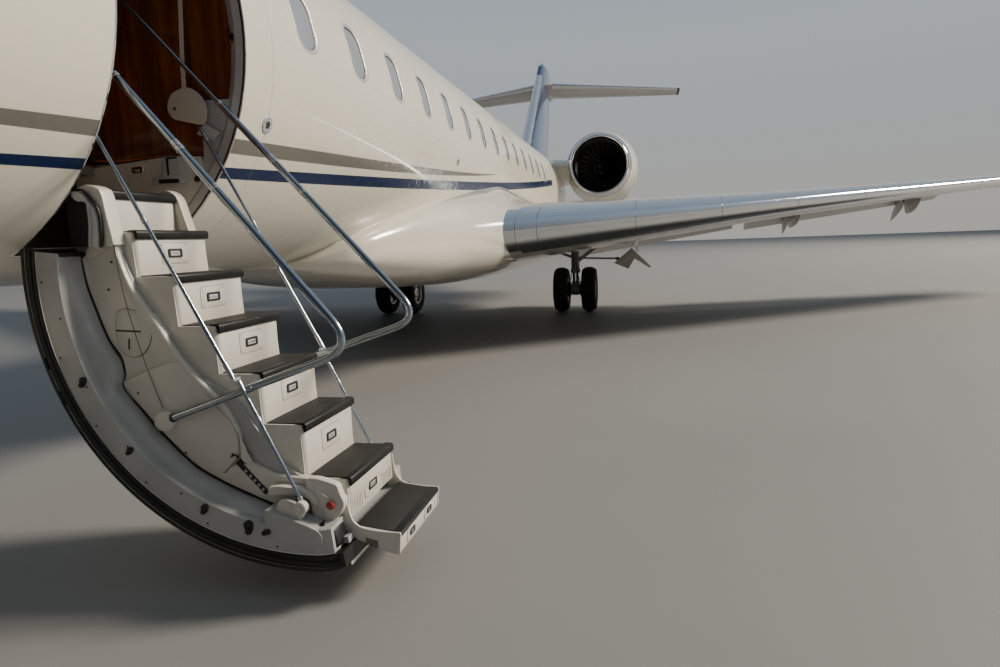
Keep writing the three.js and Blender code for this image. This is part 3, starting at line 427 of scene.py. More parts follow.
@dataclass(frozen=True)
class WingPaint(Finish):
    """Cream or grey paint with panel joints square to the span and along the chord, rivet rows and streaks.
    """

    # This default grey, which the wings use, is partly the paint's own colour and partly painted shade.
    colour: Colour = (0.5, 0.485, 0.44)
    pitch: float = 0.92
    sweep: float = 0.62
    coat: float = 0.6

    def paint(self, shader: Shader) -> bpy.types.Material:
        """Build the material."""
        cloud = shader.noise(0.8, 5.0)
        streak = shader.noise(1.0, 4.0, 0.6, shader.stretched(0.9, 7.0, 1.0))
        across = abs(shader.y)
        chord = shader.station - across * self.sweep
        seam = (across.tooth(self.pitch).near(0.5, 0.006, 0.004)
            + chord.tooth(1.04).near(0.5, 0.005, 0.003)).clamp()
        dots = (chord.tooth(0.045) > 0.82) * across.tooth(self.pitch).between(0.475, 0.49, 0.004)
        colour = shader.mix(self.colour, tuple(c * 0.84 for c in self.colour), (cloud * 1.6 - 0.3).clamp())
        colour = shader.mix(colour, tuple(c * 0.55 for c in self.colour),
            (streak * 2.4 - 1.25).clamp() * 0.35)
        colour = shader.mix(colour, (0.12, 0.12, 0.11), seam * 0.6 + dots * 0.25)
        height = cloud * 0.8 - seam * 0.6 - dots * 0.3
        return shader.finish(Base_Color=colour, Roughness=streak * 0.16 + 0.24, Metallic=0.0,
            Coat_Weight=self.coat, Coat_Roughness=0.08, Normal=shader.bump(height, 0.3, 0.0018))


@dataclass(frozen=True)
class PolishedEdge(Finish):
    """A polished metal leading edge with butt joints and screw lines, faintly smeared."""

    pitch: float = 1.35

    def paint(self, shader: Shader) -> bpy.types.Material:
        """Build the material."""
        across = abs(shader.y)
        joint = across.tooth(self.pitch).near(0.5, 0.006, 0.003)
        smear = shader.noise(1.0, 5.0, 0.6, shader.stretched(1.0, 0.5, 5.0))
        fine = shader.noise(1.0, 3.0, 0.6, shader.stretched(40.0, 2.0, 200.0))
        colour = shader.mix((0.8, 0.82, 0.85), (0.62, 0.65, 0.69), (smear * 1.8 - 0.5).clamp())
        colour = shader.mix(colour, (0.04, 0.04, 0.05), joint * 0.8)
        return shader.finish(Base_Color=colour, Roughness=smear * 0.1 + 0.045 + joint * 0.3, Metallic=1.0,
            Normal=shader.bump(fine * 0.2 - joint * 1.2, 0.25, 0.001))


@dataclass(frozen=True)
class Ribbed(Finish):
    """Black step rubber with close ribs along the step, dusty on their tops."""

    pitch: float = 0.0062

    def paint(self, shader: Shader) -> bpy.types.Material:
        """Build the material."""
        rib = shader.y.wave(self.pitch)
        across = shader.x.wave(0.0125)
        dust = shader.noise(9.0, 6.0, 0.7)
        worn = (dust * 1.7 - 0.55).clamp() * rib
        colour = shader.mix((0.01, 0.01, 0.01), (0.05, 0.046, 0.038), worn)
        return shader.finish(Base_Color=colour, Roughness=dust * 0.2 + 0.46, Metallic=0.0,
            Specular_IOR_Level=0.28, Normal=shader.bump(rib + across * 0.35, 0.8, 0.0012))


@dataclass(frozen=True)
class Wood(Finish):
    """Dark red-brown veneer under deep gloss lacquer."""

    def paint(self, shader: Shader) -> bpy.types.Material:
        """Build the material."""
        grain = shader.noise(1.0, 6.0, 0.62, shader.stretched(24.0, 24.0, 1.6))
        figure = shader.noise(1.0, 3.0, 0.5, shader.stretched(5.0, 5.0, 0.9))
        pores = shader.noise(1.0, 2.0, 0.5, shader.stretched(420.0, 420.0, 14.0))
        colour = shader.node("ShaderNodeValToRGB",
            {"stops": [(0.25, (0.035, 0.008,
            0.002)), (0.48, (0.135, 0.034, 0.008)), (0.72, (0.3, 0.092, 0.02))]},
            {0: grain * 0.62 + figure * 0.38})
        colour = shader.mix(colour, (0.02, 0.005, 0.002), (pores > 0.62) * 0.45)
        return shader.finish(Base_Color=colour, Roughness=grain * 0.08 + 0.2, Metallic=0.0, Coat_Weight=1.0,
            Coat_Roughness=0.04, Normal=shader.bump(pores, 0.05, 0.0004))


@dataclass(frozen=True)
class Tyre(Finish):
    """Worn tyre rubber with patchy dust."""

    def paint(self, shader: Shader) -> bpy.types.Material:
        """Build the material."""
        dust = shader.noise(14.0, 7.0, 0.7)
        fine = shader.noise(330.0, 2.0)
        colour = shader.mix((0.012, 0.012, 0.012), (0.085, 0.078, 0.066), (dust * 1.8 - 0.6).clamp() * 0.7)
        return shader.finish(Base_Color=colour, Roughness=dust * 0.15 + 0.72, Metallic=0.0,
            Normal=shader.bump(fine, 0.35, 0.001))


@dataclass(frozen=True)
class Pane(Finish):
    """Window glass: dark or pale, glossy, with faint smears."""

    colour: Colour = (0.02, 0.024, 0.03)
    roughness: float = 0.05

    def paint(self, shader: Shader) -> bpy.types.Material:
        """Build the material."""
        smear = shader.noise(4.0, 6.0, 0.7)
        colour = shader.mix(self.colour, tuple(c * 1.5 + 0.004 for c in self.colour), smear)
        return shader.finish(Base_Color=colour, Roughness=smear * 0.07 + self.roughness, Metallic=0.0,
            IOR=1.5, Coat_Weight=1.0, Coat_Roughness=0.02, Normal=shader.bump(smear, 0.02, 0.001))


@dataclass(frozen=True)
class Blind(Finish):
    """A drawn window blind of pale pleated cloth."""

    pitch: float = 0.021

    def paint(self, shader: Shader) -> bpy.types.Material:
        """Build the material."""
        pleat = shader.z.wave(self.pitch)
        weave = shader.noise(500.0, 2.0)
        colour = shader.mix((0.3, 0.36, 0.4), (0.46, 0.53, 0.57), pleat * 0.8 + weave * 0.2)
        return shader.finish(Base_Color=colour, Roughness=weave * 0.1 + 0.7, Metallic=0.0,
            Normal=shader.bump(pleat + weave * 0.1, 0.7, 0.003))


@dataclass(frozen=True)
class Carpet(Finish):
    """Short cut-pile carpet."""

    colour: Colour = (0.34, 0.29, 0.22)

    def paint(self, shader: Shader) -> bpy.types.Material:
        """Build the material."""
        pile = shader.noise(900.0, 3.0, 0.7)
        tread = shader.noise(3.0, 5.0)
        colour = shader.mix(tuple(c * 0.6 for c in self.colour), self.colour, pile * 0.7 + tread * 0.3)
        return shader.finish(Base_Color=colour, Roughness=pile * 0.05 + 0.9, Metallic=0.0,
            Normal=shader.bump(pile, 0.9, 0.003))


@dataclass(frozen=True)
class Mat(Finish):
    """The studio's pale floor."""

    def paint(self, shader: Shader) -> bpy.types.Material:
        """Build the material."""
        cloud = shader.noise(0.35, 5.0)
        colour = shader.mix((0.215, 0.213, 0.208), (0.25, 0.247, 0.241), cloud)
        return shader.finish(Base_Color=colour, Roughness=cloud * 0.1 + 0.6, Metallic=0.0)


class Look(Enum):
    """The aircraft's finishes."""

    HULL = HullPaint("hull_paint", "cream_paint")
    DOOR_SKIN = HullPaint("door_skin_paint", "door_structure", swing=126.6)
    FAIRING = Plain("fairing_paint", "cream_paint", colour=(0.78, 0.735, 0.62), tone=0.05, patch=0.6,
        roughness=0.2, spread=0.05, grain=380.0, depth=0.03, coat=1.0)
    NACELLE = Plain("nacelle_paint", "cream_composite", colour=(0.79, 0.75, 0.64), tone=0.05, patch=0.9,
        roughness=0.2, spread=0.05, grain=380.0, depth=0.03, coat=1.0)
    FIN = TailPaint("fin_paint", "blue_paint")
    RUDDER = TailPaint("rudder_paint", "blue_composite", band=-9.0)
    # The wing's grey is partly its own paint and partly painted shade, made darker to stand in for the shade
    # under the wing.
    WING = WingPaint("wing_paint", "cream_paint")
    FLAP = WingPaint("flap_paint", "cream_paint", colour=(0.46, 0.445, 0.4), pitch=1.31, sweep=0.34,
        coat=0.35)
    # Painted shade: the tailplane's cream composite is given a darker grey that stands in for the shade
    # under it.
    TAILPLANE = WingPaint("tailplane_paint", "cream_composite", colour=(0.44, 0.425, 0.38), pitch=1.1,
        sweep=0.5)
    EDGE = PolishedEdge("polished_edge", "polished_metal")
    LIP = Brushed("polished_lip", "polished_metal", colour=(0.8, 0.81, 0.83), roughness=0.1,
        along=(3.0, 3.0, 3.0), depth=0.02, stain=0.35)
    # Painted reflection: the rails' and struts' bright steel is given a darker, bluish colour that stands in
    # for the dark ground and blue sky that it reflects.
    RAIL = Brushed("polished_rail", "bright_steel", colour=(0.4, 0.45, 0.5), roughness=0.12, stain=0.4)
    STEEL = Brushed("bright_steel_finish", "bright_steel", colour=(0.66, 0.67, 0.69), roughness=0.22,
        stain=0.5)
    CHROME = Brushed("small_chrome", "bright_steel", colour=(0.82, 0.83, 0.85), roughness=0.08, stain=0.2)
    TRIM = Plain("window_trim", "polished_metal", colour=(0.42, 0.42, 0.47), tone=0.08, patch=9.0,
        roughness=0.36, spread=0.1, grain=420.0, depth=0.1, coat=0.2)
    GILT = Brushed("gilt_trim", "bright_steel", colour=(0.72, 0.5, 0.2), roughness=0.22, stain=0.3)
    MOULDING = Plain("step_moulding", "white_moulding", colour=(0.66, 0.63, 0.56), tone=0.06, patch=3.0,
        roughness=0.36, spread=0.1, grain=650.0, depth=0.12, coat=0.25)
    # Painted shade: the door pan's light paint is given a darker grey that stands in for the shade on the
    # door's structure.
    PAN = Plain("door_pan_paint", "door_structure", colour=(0.43, 0.43, 0.42), tone=0.08, patch=4.0,
        roughness=0.34, spread=0.1, grain=480.0, depth=0.12, coat=0.35)
    JAMB = Plain("jamb_paint", "door_structure", colour=(0.56, 0.54, 0.52), tone=0.07, patch=4.0,
        roughness=0.38, spread=0.08, grain=500.0, depth=0.12)
    LINING = Plain("cabin_lining", "white_moulding", colour=(0.66, 0.61, 0.51), tone=0.05, patch=3.0,
        roughness=0.5, spread=0.06, grain=700.0, depth=0.2)
    SEAL = Plain("black_seal", "tyre_rubber", colour=(0.018, 0.018, 0.018), tone=0.25, patch=7.0,
        roughness=0.42, spread=0.14, grain=380.0, depth=0.25)
    NOSING = Plain("step_nosing", "tyre_rubber", colour=(0.012, 0.012, 0.013), tone=0.25, patch=12.0,
        roughness=0.42, spread=0.1, grain=480.0, depth=0.12, shine=0.25)
    BLACK = Plain("black_fitting", "dark_metal", colour=(0.016, 0.016, 0.017), tone=0.2, patch=9.0,
        roughness=0.45, spread=0.1, grain=420.0, depth=0.3)
    RED = Plain("red_knob", "white_moulding", colour=(0.36, 0.012, 0.01), tone=0.1, patch=20.0,
        roughness=0.22, spread=0.05, grain=300.0, depth=0.05, coat=0.6)
    DARK_METAL = Plain("dark_engine_metal", "dark_metal", colour=(0.055, 0.055, 0.058), tone=0.2, patch=5.0,
        roughness=0.4, spread=0.12, metal=0.9, grain=260.0, depth=0.15)
    # Painted shade: the fan blades and the intake duct are given near-black colours that stand in for the
    # shade deep in the intake.
    BLADE = Brushed("fan_blade", "dark_metal", colour=(0.022, 0.023, 0.026), roughness=0.4, stain=0.7)
    DUCT = Plain("duct_paint", "dark_metal", colour=(0.05, 0.05, 0.052), tone=0.15, patch=3.0, roughness=0.5,
        spread=0.1, grain=260.0, depth=0.2)
    EXHAUST = Brushed("hot_metal", "dark_metal", colour=(0.33, 0.27, 0.22), roughness=0.36, stain=0.9)
    GEAR = Plain("gear_enamel", "gear_alloy", colour=(0.47, 0.48, 0.48), tone=0.12, patch=9.0,
        roughness=0.34, spread=0.12, grain=300.0, depth=0.15, coat=0.3, speck=0.05)
    ALLOY = Brushed("gear_alloy_finish", "gear_alloy", colour=(0.55, 0.56, 0.57), roughness=0.3, stain=0.8)
    TYRE = Tyre("tyre_rubber_finish", "tyre_rubber")
    WOOD = Wood("wood_veneer_finish", "wood_veneer")
    GLASS = Pane("windscreen", "cockpit_glass")
    # The window panes are opaque; their pale blue-grey stands partly for the drawn blinds behind the glass
    # and partly for a painted sky reflection.
    WINDOW = Pane("window_pane", "cockpit_glass", colour=(0.215, 0.23, 0.265), roughness=0.1)
    LAMP = Pane("lamp_glass", "cockpit_glass", colour=(0.42, 0.43, 0.43), roughness=0.1)
    BLIND = Blind("window_blind", "white_moulding")
    TREAD = Ribbed("ribbed_tread", "tyre_rubber")
    CARPET = Carpet("cabin_carpet", "carpet")


# Mesh building


@dataclass
class Shape:
    """Points and faces of one mesh."""

    points: list[Point] = field(default_factory=list)
    faces: list[tuple[int, ...]] = field(default_factory=list)

    def add(self, other: Shape) -> Shape:
        """Take in another shape, and return this one."""
        base = len(self.points)
        self.points += other.points
        self.faces += [tuple(i + base for i in face) for face in other.faces]
        return self

    def moved(self, change: Callable[[Point], Point]) -> Shape:
        """The shape with every point changed."""
        return Shape([tuple(change(p)) for p in self.points], list(self.faces))

    def mirrored(self) -> Shape:
        """The shape on the other side of the aircraft."""
        return Shape([(x, -y, z) for x, y, z in self.points], [tuple(reversed(f)) for f in self.faces])

    def on(self, side: Side) -> Shape:
        """The shape, drawn on the left, on one side."""
        return self if side is Side.LEFT else self.mirrored()


def gathered(shapes: Iterable[Shape]) -> Shape:
    """Several shapes as one."""
    whole = Shape()
    for shape in shapes:
        whole.add(shape)
    return whole


def around(steps: int) -> list[float]:
    """Angles evenly spread round a circle."""
    return [2 * math.pi * i / steps for i in range(steps)]


def both_ways(half: Sequence[Flat]) -> list[Flat]:
    """A profile that is the same to both sides, from the half of it in which the first number falls."""
    return [*((-a, b) for a, b in half), *reversed(half)]


def loft(rings: Sequence[Sequence[Point]], closed: bool = False, caps: bool = True) -> Shape:
    """A skin through rings that have the same number of points.

    Args:
        rings: the rings, in order.
        closed: whether the last ring joins the first.
        caps: whether open ends are closed with one face each.

    Returns:
        The shape.
    """
    count = len(rings[0])
    shape = Shape([tuple(p) for ring in rings for p in ring])
    last = len(rings) if closed else len(rings) - 1
    for r in range(last):
        near, far = r * count, ((r + 1) % len(rings)) * count
        for i in range(count):
            j = (i + 1) % count
            shape.faces.append((near + i, near + j, far + j, far + i))
    if caps and not closed:
        shape.faces.append(tuple(reversed(range(count))))
        shape.faces.append(tuple(range((len(rings) - 1) * count, len(rings) * count)))
    return shape


def lathe(profile: Sequence[Flat], at: Point, axis: str = "X", steps: int = 48) -> Shape:
    """A turned body.

    Args:
        profile: (distance along the axis, radius) pairs; it closes itself.
        at: the origin of the profile.
        axis: "X", "Y" or "Z".
        steps: facets round the axis.

    Returns:
        The shape.
    """
    order = {"X": (0, 1, 2), "Y": (1, 2, 0), "Z": (2, 0, 1)}[axis]
    rings = []
    for a in around(steps):
        ring = []
        for distance, radius in profile:
            point = [0.0, 0.0, 0.0]
            for index, value in zip(order, (distance, radius * math.cos(a), radius * math.sin(a))):
                point[index] = at[index] + value
            ring.append(tuple(point))
        rings.append(ring)
    return loft(rings, closed=True)


def smooth_path(points: Sequence[Point], bend: float = 0.05, steps: int = 8) -> list[Point]:
    """A path with its corners rounded.

    Args:
        points: the corners.
        bend: how far from each corner its curve starts.
        steps: points in each curve.

    Returns:
        The rounded path.
    """
    vectors = [Vector(p) for p in points]
    path = [vectors[0]]
    for before, corner, after in zip(vectors, vectors[1:], vectors[2:]):
        first, second = before - corner, after - corner
        reach = min(bend, first.length * 0.49, second.length * 0.49)
        a, b = corner + first.normalized() * reach, corner + second.normalized() * reach
        for i in range(steps + 1):
            t = i / steps
            path.append(a * (1 - t) ** 2 + corner * 2 * t * (1 - t) + b * t * t)
    path.append(vectors[-1])
    return [tuple(p) for p in path]


def sweep(path: Sequence[Point], section: Sequence[Flat], up: Point = (1, 0, 0),
        closed: bool = False) -> Shape:
    """A section carried along a path.

    Args:
        path: the points that it follows.
        section: (across, up) pairs round the section.
        up: the direction that the section's second number keeps to.
        closed: whether the path joins its start.

    Returns:
        The shape.
    """
    points = [Vector(p) for p in path]
    count = len(points)
    rings = []
    for i, point in enumerate(points):
        after = points[(i + 1) % count] if closed or i + 1 < count else point
        before = points[i - 1] if closed or i else point
        run = (after - before).normalized()
        high = Vector(up)
        high = (high - run * high.dot(run)).normalized()
        across = run.cross(high)
        rings.append([tuple(point + across * u + high * v) for u, v in section])
    return loft(rings, closed=closed)


def circle(radius: float, steps: int = 16, squash: float = 1.0) -> list[Flat]:
    """A round or flattened section."""
    turn = 2 * math.pi / steps
    return [(radius * math.cos(turn * i), radius * squash * math.sin(turn * i)) for i in range(steps)]


def tube(path: Sequence[Point], radius: float, steps: int = 16, up: Point = (1, 0, 0)) -> Shape:
    """A round rod along a path."""
    return sweep(path, circle(radius, steps), up)


def rod(a: Point, b: Point, radius: float, steps: int = 16) -> Shape:
    """A straight round rod between two points."""
    run = Vector(b) - Vector(a)
    up = (1, 0, 0) if abs(run.normalized().x) < 0.9 else (0, 0, 1)
    return tube([a, b], radius, steps, up)


def slab(outline: Sequence[Flat], x0: float, x1: float) -> Shape:
    """An outline of (y, z) pairs, extruded along X."""
    return loft([[(x0, y, z) for y, z in outline], [(x1, y, z) for y, z in outline]])


def side_slab(outline: Sequence[Flat], y0: float, y1: float) -> Shape:
    """An outline of (station, z) pairs, extruded along Y."""
    return loft([[(x_at(s), y, z) for s, z in outline] for y in (y0, y1)])


def block(low: Point, high: Point) -> Shape:
    """A box between two corners."""
    (x0, y0, z0), (x1, y1, z1) = low, high
    return slab([(y0, z0), (y1, z0), (y1, z1), (y0, z1)], x0, x1)


def bar(a: Point, b: Point, width: float, depth: float, up: Point = (1, 0, 0)) -> Shape:
    """A rectangular bar between two points: width across, depth along up."""
    w, d = width / 2, depth / 2
    return sweep([a, b], [(-w, -d), (w, -d), (w, d), (-w, d)], up)


def round_rect(width: float, height: float, radius: float, steps: int = 6) -> list[Flat]:
    """A rectangle about the origin with round corners."""
    points = []
    for cx, cy, start in ((1, 1, 0), (-1, 1, 90), (-1, -1, 180), (1, -1, 270)):
        for i in range(steps + 1):
            a = math.radians(start + 90 * i / steps)
            points.append((cx * (width / 2 - radius) + radius * math.cos(a), cy * (height / 2 - radius)
                + radius * math.sin(a)))
    return points


def arc(centre: Flat, radius: float, start: float, end: float, steps: int) -> list[Flat]:
    """Points of an arc between two angles in degrees."""
    angles = [math.radians(start + (end - start) * i / steps) for i in range(steps + 1)]
    return [(centre[0] + radius * math.cos(a), centre[1] + radius * math.sin(a)) for a in angles]


@dataclass(frozen=True)
class Piece:
    """How one piece of the model is finished and carried."""

    name: str
    look: Look
    body: str = "airframe"
    bevel: float = 0.0
    segments: int = 2
    crease: float = 32.0        # degrees above which an edge stays sharp

    def make(self, shape: Shape, replaces: Iterable[str] = (), mend: bool = True) -> bpy.types.Object:
        """Build the piece.

        Args:
            shape: its points and faces.
            replaces: the CAD nodes that it stands for.
            mend: whether near points are joined and faces turned outwards.

        Returns:
            The object.
        """
        form = bmesh.new()
        corners = [form.verts.new(p) for p in shape.points]
        for face in shape.faces:
            ends = [corners[i] for i in dict.fromkeys(face)]
            if len(ends) > 2 and not form.faces.get(ends):
                form.faces.new(ends)
        if mend:
            bmesh.ops.remove_doubles(form, verts=form.verts, dist=0.00002)
            bmesh.ops.recalc_face_normals(form, faces=form.faces)
        if self.bevel:
            limit = math.radians(self.crease)
            edges = [e for e in form.edges if len(e.link_faces) == 2 and e.calc_face_angle(0) > limit]
            bmesh.ops.bevel(form, geom=edges, offset=self.bevel, segments=self.segments, profile=0.5,
                affect="EDGES", clamp_overlap=True)
        mesh = bpy.data.meshes.new(self.name)
        form.to_mesh(mesh)
        form.free()
        return self.wear(mesh, replaces)

    def wear(self, mesh: bpy.types.Mesh, replaces: Iterable[str] = (),
            shade: bool = True) -> bpy.types.Object:
        """Dress a finished mesh, and hang it on its body.

        Args:
            mesh: the piece's mesh.
            replaces: the CAD nodes that it stands for.
            shade: whether its edges are smoothed by angle.

        Returns:
            The object.
        """
        finish = self.look.value
        mesh.materials.clear()
        mesh.materials.append(finish.material())
        if shade:
            mesh.polygons.foreach_set("use_smooth", [True] * len(mesh.polygons))
            mesh.set_sharp_from_angle(angle=math.radians(self.crease))
        piece = bpy.data.objects.new(self.name, mesh)
        bpy.context.scene.collection.objects.link(piece)
        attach(piece, self.body)
        if replaces:
            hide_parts(*replaces)
        LOG.info("%s: %d faces on %s", self.name, len(mesh.polygons), self.body)
        return piece


def carve(shape: Shape, tool: Shape, operation: str = "DIFFERENCE",
        crossing: bool = False) -> bpy.types.Mesh:
    """Cut one closed shape with another.

    Args:
        shape: the body.
        tool: the cutter.
        operation: the Boolean modifier's operation.
        crossing: whether the cutter's own parts pass through one another.

    Returns:
        The result as a mesh.
    """
    objects = []
    for name, source in (("carve_body", shape), ("carve_tool", tool)):
        mesh = bpy.data.meshes.new(name)
        mesh.from_pydata(source.points, [], source.faces)
        form = bmesh.new()
        form.from_mesh(mesh)
        bmesh.ops.recalc_face_normals(form, faces=form.faces)
        form.to_mesh(mesh)
        form.free()
        made = bpy.data.objects.new(name, mesh)
        bpy.context.scene.collection.objects.link(made)
        objects.append(made)
    body, cutter = objects
    modifier = body.modifiers.new("cut", "BOOLEAN")
    modifier.operation, modifier.object, modifier.solver = operation, cutter, "EXACT"
    modifier.use_self = crossing
    bpy.context.view_layer.update()
    graph = bpy.context.evaluated_depsgraph_get()
    result = bpy.data.meshes.new_from_object(body.evaluated_get(graph))
    for made in objects:
        mesh = made.data
        bpy.data.objects.remove(made)
        bpy.data.meshes.remove(mesh)
    return result


class Surface:
    """A smooth surface that says how far points are from it, and which way it faces."""

    def distance(self, points: np.ndarray) -> np.ndarray:
        """Distances of points from the surface, in metres, above 0 outside."""
        raise NotImplementedError

    def normals(self, points: np.ndarray) -> np.ndarray:
        """Unit vectors out of the surface at points."""
        step = 0.002
        parts = []
        for axis in range(3):
            shift = np.zeros(3)
            shift[axis] = step
            parts.append(self.distance(points + shift) - self.distance(points - shift))
        slopes = np.stack(parts, 1)
        return slopes / np.maximum(np.linalg.norm(slopes, axis=1, keepdims=True), 1e-9)


def polish(mesh: bpy.types.Mesh, surface: Surface, inset: float = 0.0,
        near: float = 0.0012) -> bpy.types.Mesh:
    """Give a cut mesh the true normals of the surface that it was cut from.

    Args:
        mesh: the mesh.
        surface: the surface of its outer faces.
        inset: how far inside that surface its inner faces lie, or 0.
        near: how close a face's points are to count as on the surface.

    Returns:
        The mesh.
    """
    count = len(mesh.vertices)
    places = np.empty(count * 3)
    mesh.vertices.foreach_get("co", places)
    places = places.reshape(-1, 3)
    away = surface.distance(places)
    truth = surface.normals(places)
    kinds = np.zeros(count, int)
    kinds[np.abs(away) < near] = 1
    if inset:
        kinds[np.abs(away + inset) < near * 8] = -1
    normals = []
    for face in mesh.polygons:
        ends = list(face.vertices)
        kind = kinds[ends[0]] if len({int(kinds[i]) for i in ends}) == 1 else 0
        if kind and abs(float(np.dot(truth[ends[0]], face.normal))) < 0.5:
            kind = 0
        for i in ends:
            normals.append(tuple(truth[i] * kind) if kind else tuple(face.normal))
    mesh.polygons.foreach_set("use_smooth", [True] * len(mesh.polygons))
    mesh.normals_split_custom_set(normals)
    return mesh


class Spline:
    """A smooth curve through a table that doesn't overshoot it."""

    def __init__(self, at: Sequence[float], values: Sequence[float]) -> None:
        """Fit the curve to values at increasing places."""
        self.at = np.array(at, float)
        self.values = np.array(values, float)
        gaps = np.diff(self.at)
        slopes = np.diff(self.values) / gaps
        tangents = np.zeros(len(self.at))
        same = slopes[:-1] * slopes[1:] > 0
        weight_a, weight_b = 2 * gaps[1:] + gaps[:-1], gaps[1:] + 2 * gaps[:-1]
        with np.errstate(divide="ignore", invalid="ignore"):
            middle = (weight_a + weight_b) / (weight_a / slopes[:-1] + weight_b / slopes[1:])
        tangents[1:-1] = np.where(same, np.nan_to_num(middle), 0.0)
        tangents[0], tangents[-1] = slopes[0], slopes[-1]
        self.tangents = tangents

    def __call__(self, places: np.ndarray | float) -> np.ndarray:
        """The curve's values at places."""
        p = np.clip(np.asarray(places, float), self.at[0], self.at[-1])
        i = np.clip(np.searchsorted(self.at, p, side="right") - 1, 0, len(self.at) - 2)
        gap = self.at[i + 1] - self.at[i]
        t = (p - self.at[i]) / gap
        a, b = self.values[i], self.values[i + 1]
        c, d = self.tangents[i] * gap, self.tangents[i + 1] * gap
        return (a * (1 + 2 * t) * (1 - t) ** 2 + c * t * (1 - t) ** 2 + b * t * t * (3 - 2 * t)
            + d * t * t * (t - 1))


# Fuselage


@dataclass
class HullForm(Surface):
    """The pressure hull's outer surface: a half width, a top and a bottom at each station."""

    rows: tuple[tuple[float, float, float, float], ...] = ((0.0, 0.06, 2.265, 2.145), (0.16, 0.265, 2.44,
        1.985), (0.5, 0.5, 2.665, 1.82), (1.0, 0.72, 2.88, 1.71), (1.62, 0.9, 3.07, 1.62), (2.2, 1.03, 3.43,
        1.565), (2.76, 1.135, 3.78, 1.52), (3.3, 1.215, 3.965, 1.485), (4.1, 1.3, 4.075, 1.465),
        (4.64, 1.33, 4.109, 1.449), (5.9, 1.345, 4.124, 1.434), (20.0, 1.345, 4.124, 1.434),
        (21.6, 1.3, 4.12, 1.56), (23.2, 1.15, 4.09, 1.83), (24.8, 0.9, 4.02, 2.19), (26.3, 0.6, 3.92, 2.58),
        (27.4, 0.33, 3.76, 2.95), (27.9, 0.19, 3.6, 3.18))
    axis_z: float = 2.779
    skin: float = 0.06
    droop: Flat = (4.64, 0.07)       # station ahead of which the middle falls, and its slope
    rise: Flat = (20.0, 1.6)         # station where it starts to rise, and over what length
    room: float = 0.06                              # how near the middle may come to the top or the bottom

    def __post_init__(self) -> None:
        """Fit the smooth curves through the rows."""
        stations, widths, tops, bottoms = zip(*self.rows)
        self.width, self.top, self.bottom = (Spline(stations, v) for v in (widths, tops, bottoms))

    def middle(self, s: np.ndarray | float) -> np.ndarray:
        """The height of the widest place at stations."""
        s = np.asarray(s, float)
        top, bottom = self.top(s), self.bottom(s)
        nose, slope = self.droop
        ahead = np.where(s < nose, self.axis_z - (nose - s) * slope, self.axis_z)
        ahead = np.clip(ahead, bottom + self.room, top - self.room)
        share = np.clip((s - self.rise[0]) / self.rise[1], 0, 1)
        return ahead * (1 - share) + (top + bottom) / 2 * share

    def distance(self, points: np.ndarray) -> np.ndarray:
        """Distances of points from the hull's skin."""
        s = NOSE_X - points[:, 0]
        centre = self.middle(s)
        up = points[:, 2] - centre
        height = np.where(up > 0, self.top(s) - centre, centre - self.bottom(s))
        width = self.width(s)
        reach = np.hypot(points[:, 1] / width, up / height)
        size = np.hypot(points[:, 1], up) / np.maximum(reach, 1e-6)
        return (reach - 1) * size

    def ring(self, s: float, inset: float = 0.0, steps: int = 96) -> list[Point]:
        """One section of the hull, taken in by an inset."""
        centre, width = float(self.middle(s)), float(self.width(s)) - inset
        rise = float(self.top(s)) - centre - inset
        fall = centre - float(self.bottom(s)) - inset
        ring = []
        for a in around(steps):
            up = math.sin(a)
            ring.append((x_at(s), width * math.cos(a), centre + (rise if up > 0 else fall) * up))
        return ring

    def side_y(self, s: float, z: float, inset: float = 0.0) -> float:
        """The half width at a station and height."""
        centre = float(self.middle(s))
        height = (float(self.top(s)) - centre if z > centre else centre - float(self.bottom(s))) - inset
        share = min(abs(z - centre) / height, 0.9999)
        return (float(self.width(s)) - inset) * math.sqrt(1 - share * share)

    def shell(self, stations: Sequence[float], inset: float, outset: float = 0.0) -> Shape:
        """A closed shell between two insets, over a run of stations."""
        outer = [self.ring(s, outset) for s in stations]
        inner = [self.ring(s, inset) for s in reversed(stations)]
        return loft(outer + inner, closed=True)

    def solid(self, stations: Sequence[float], inset: float = 0.0) -> Shape:
        """A solid body inside the skin, over a run of stations."""
        return loft([self.ring(s, inset) for s in stations])


def spread(low: float, high: float, pitch: float) -> list[float]:
    """Evenly spread numbers from low to high, about a pitch apart."""
    count = max(1, round((high - low) / pitch))
    return [low + (high - low) * i / count for i in range(count + 1)]


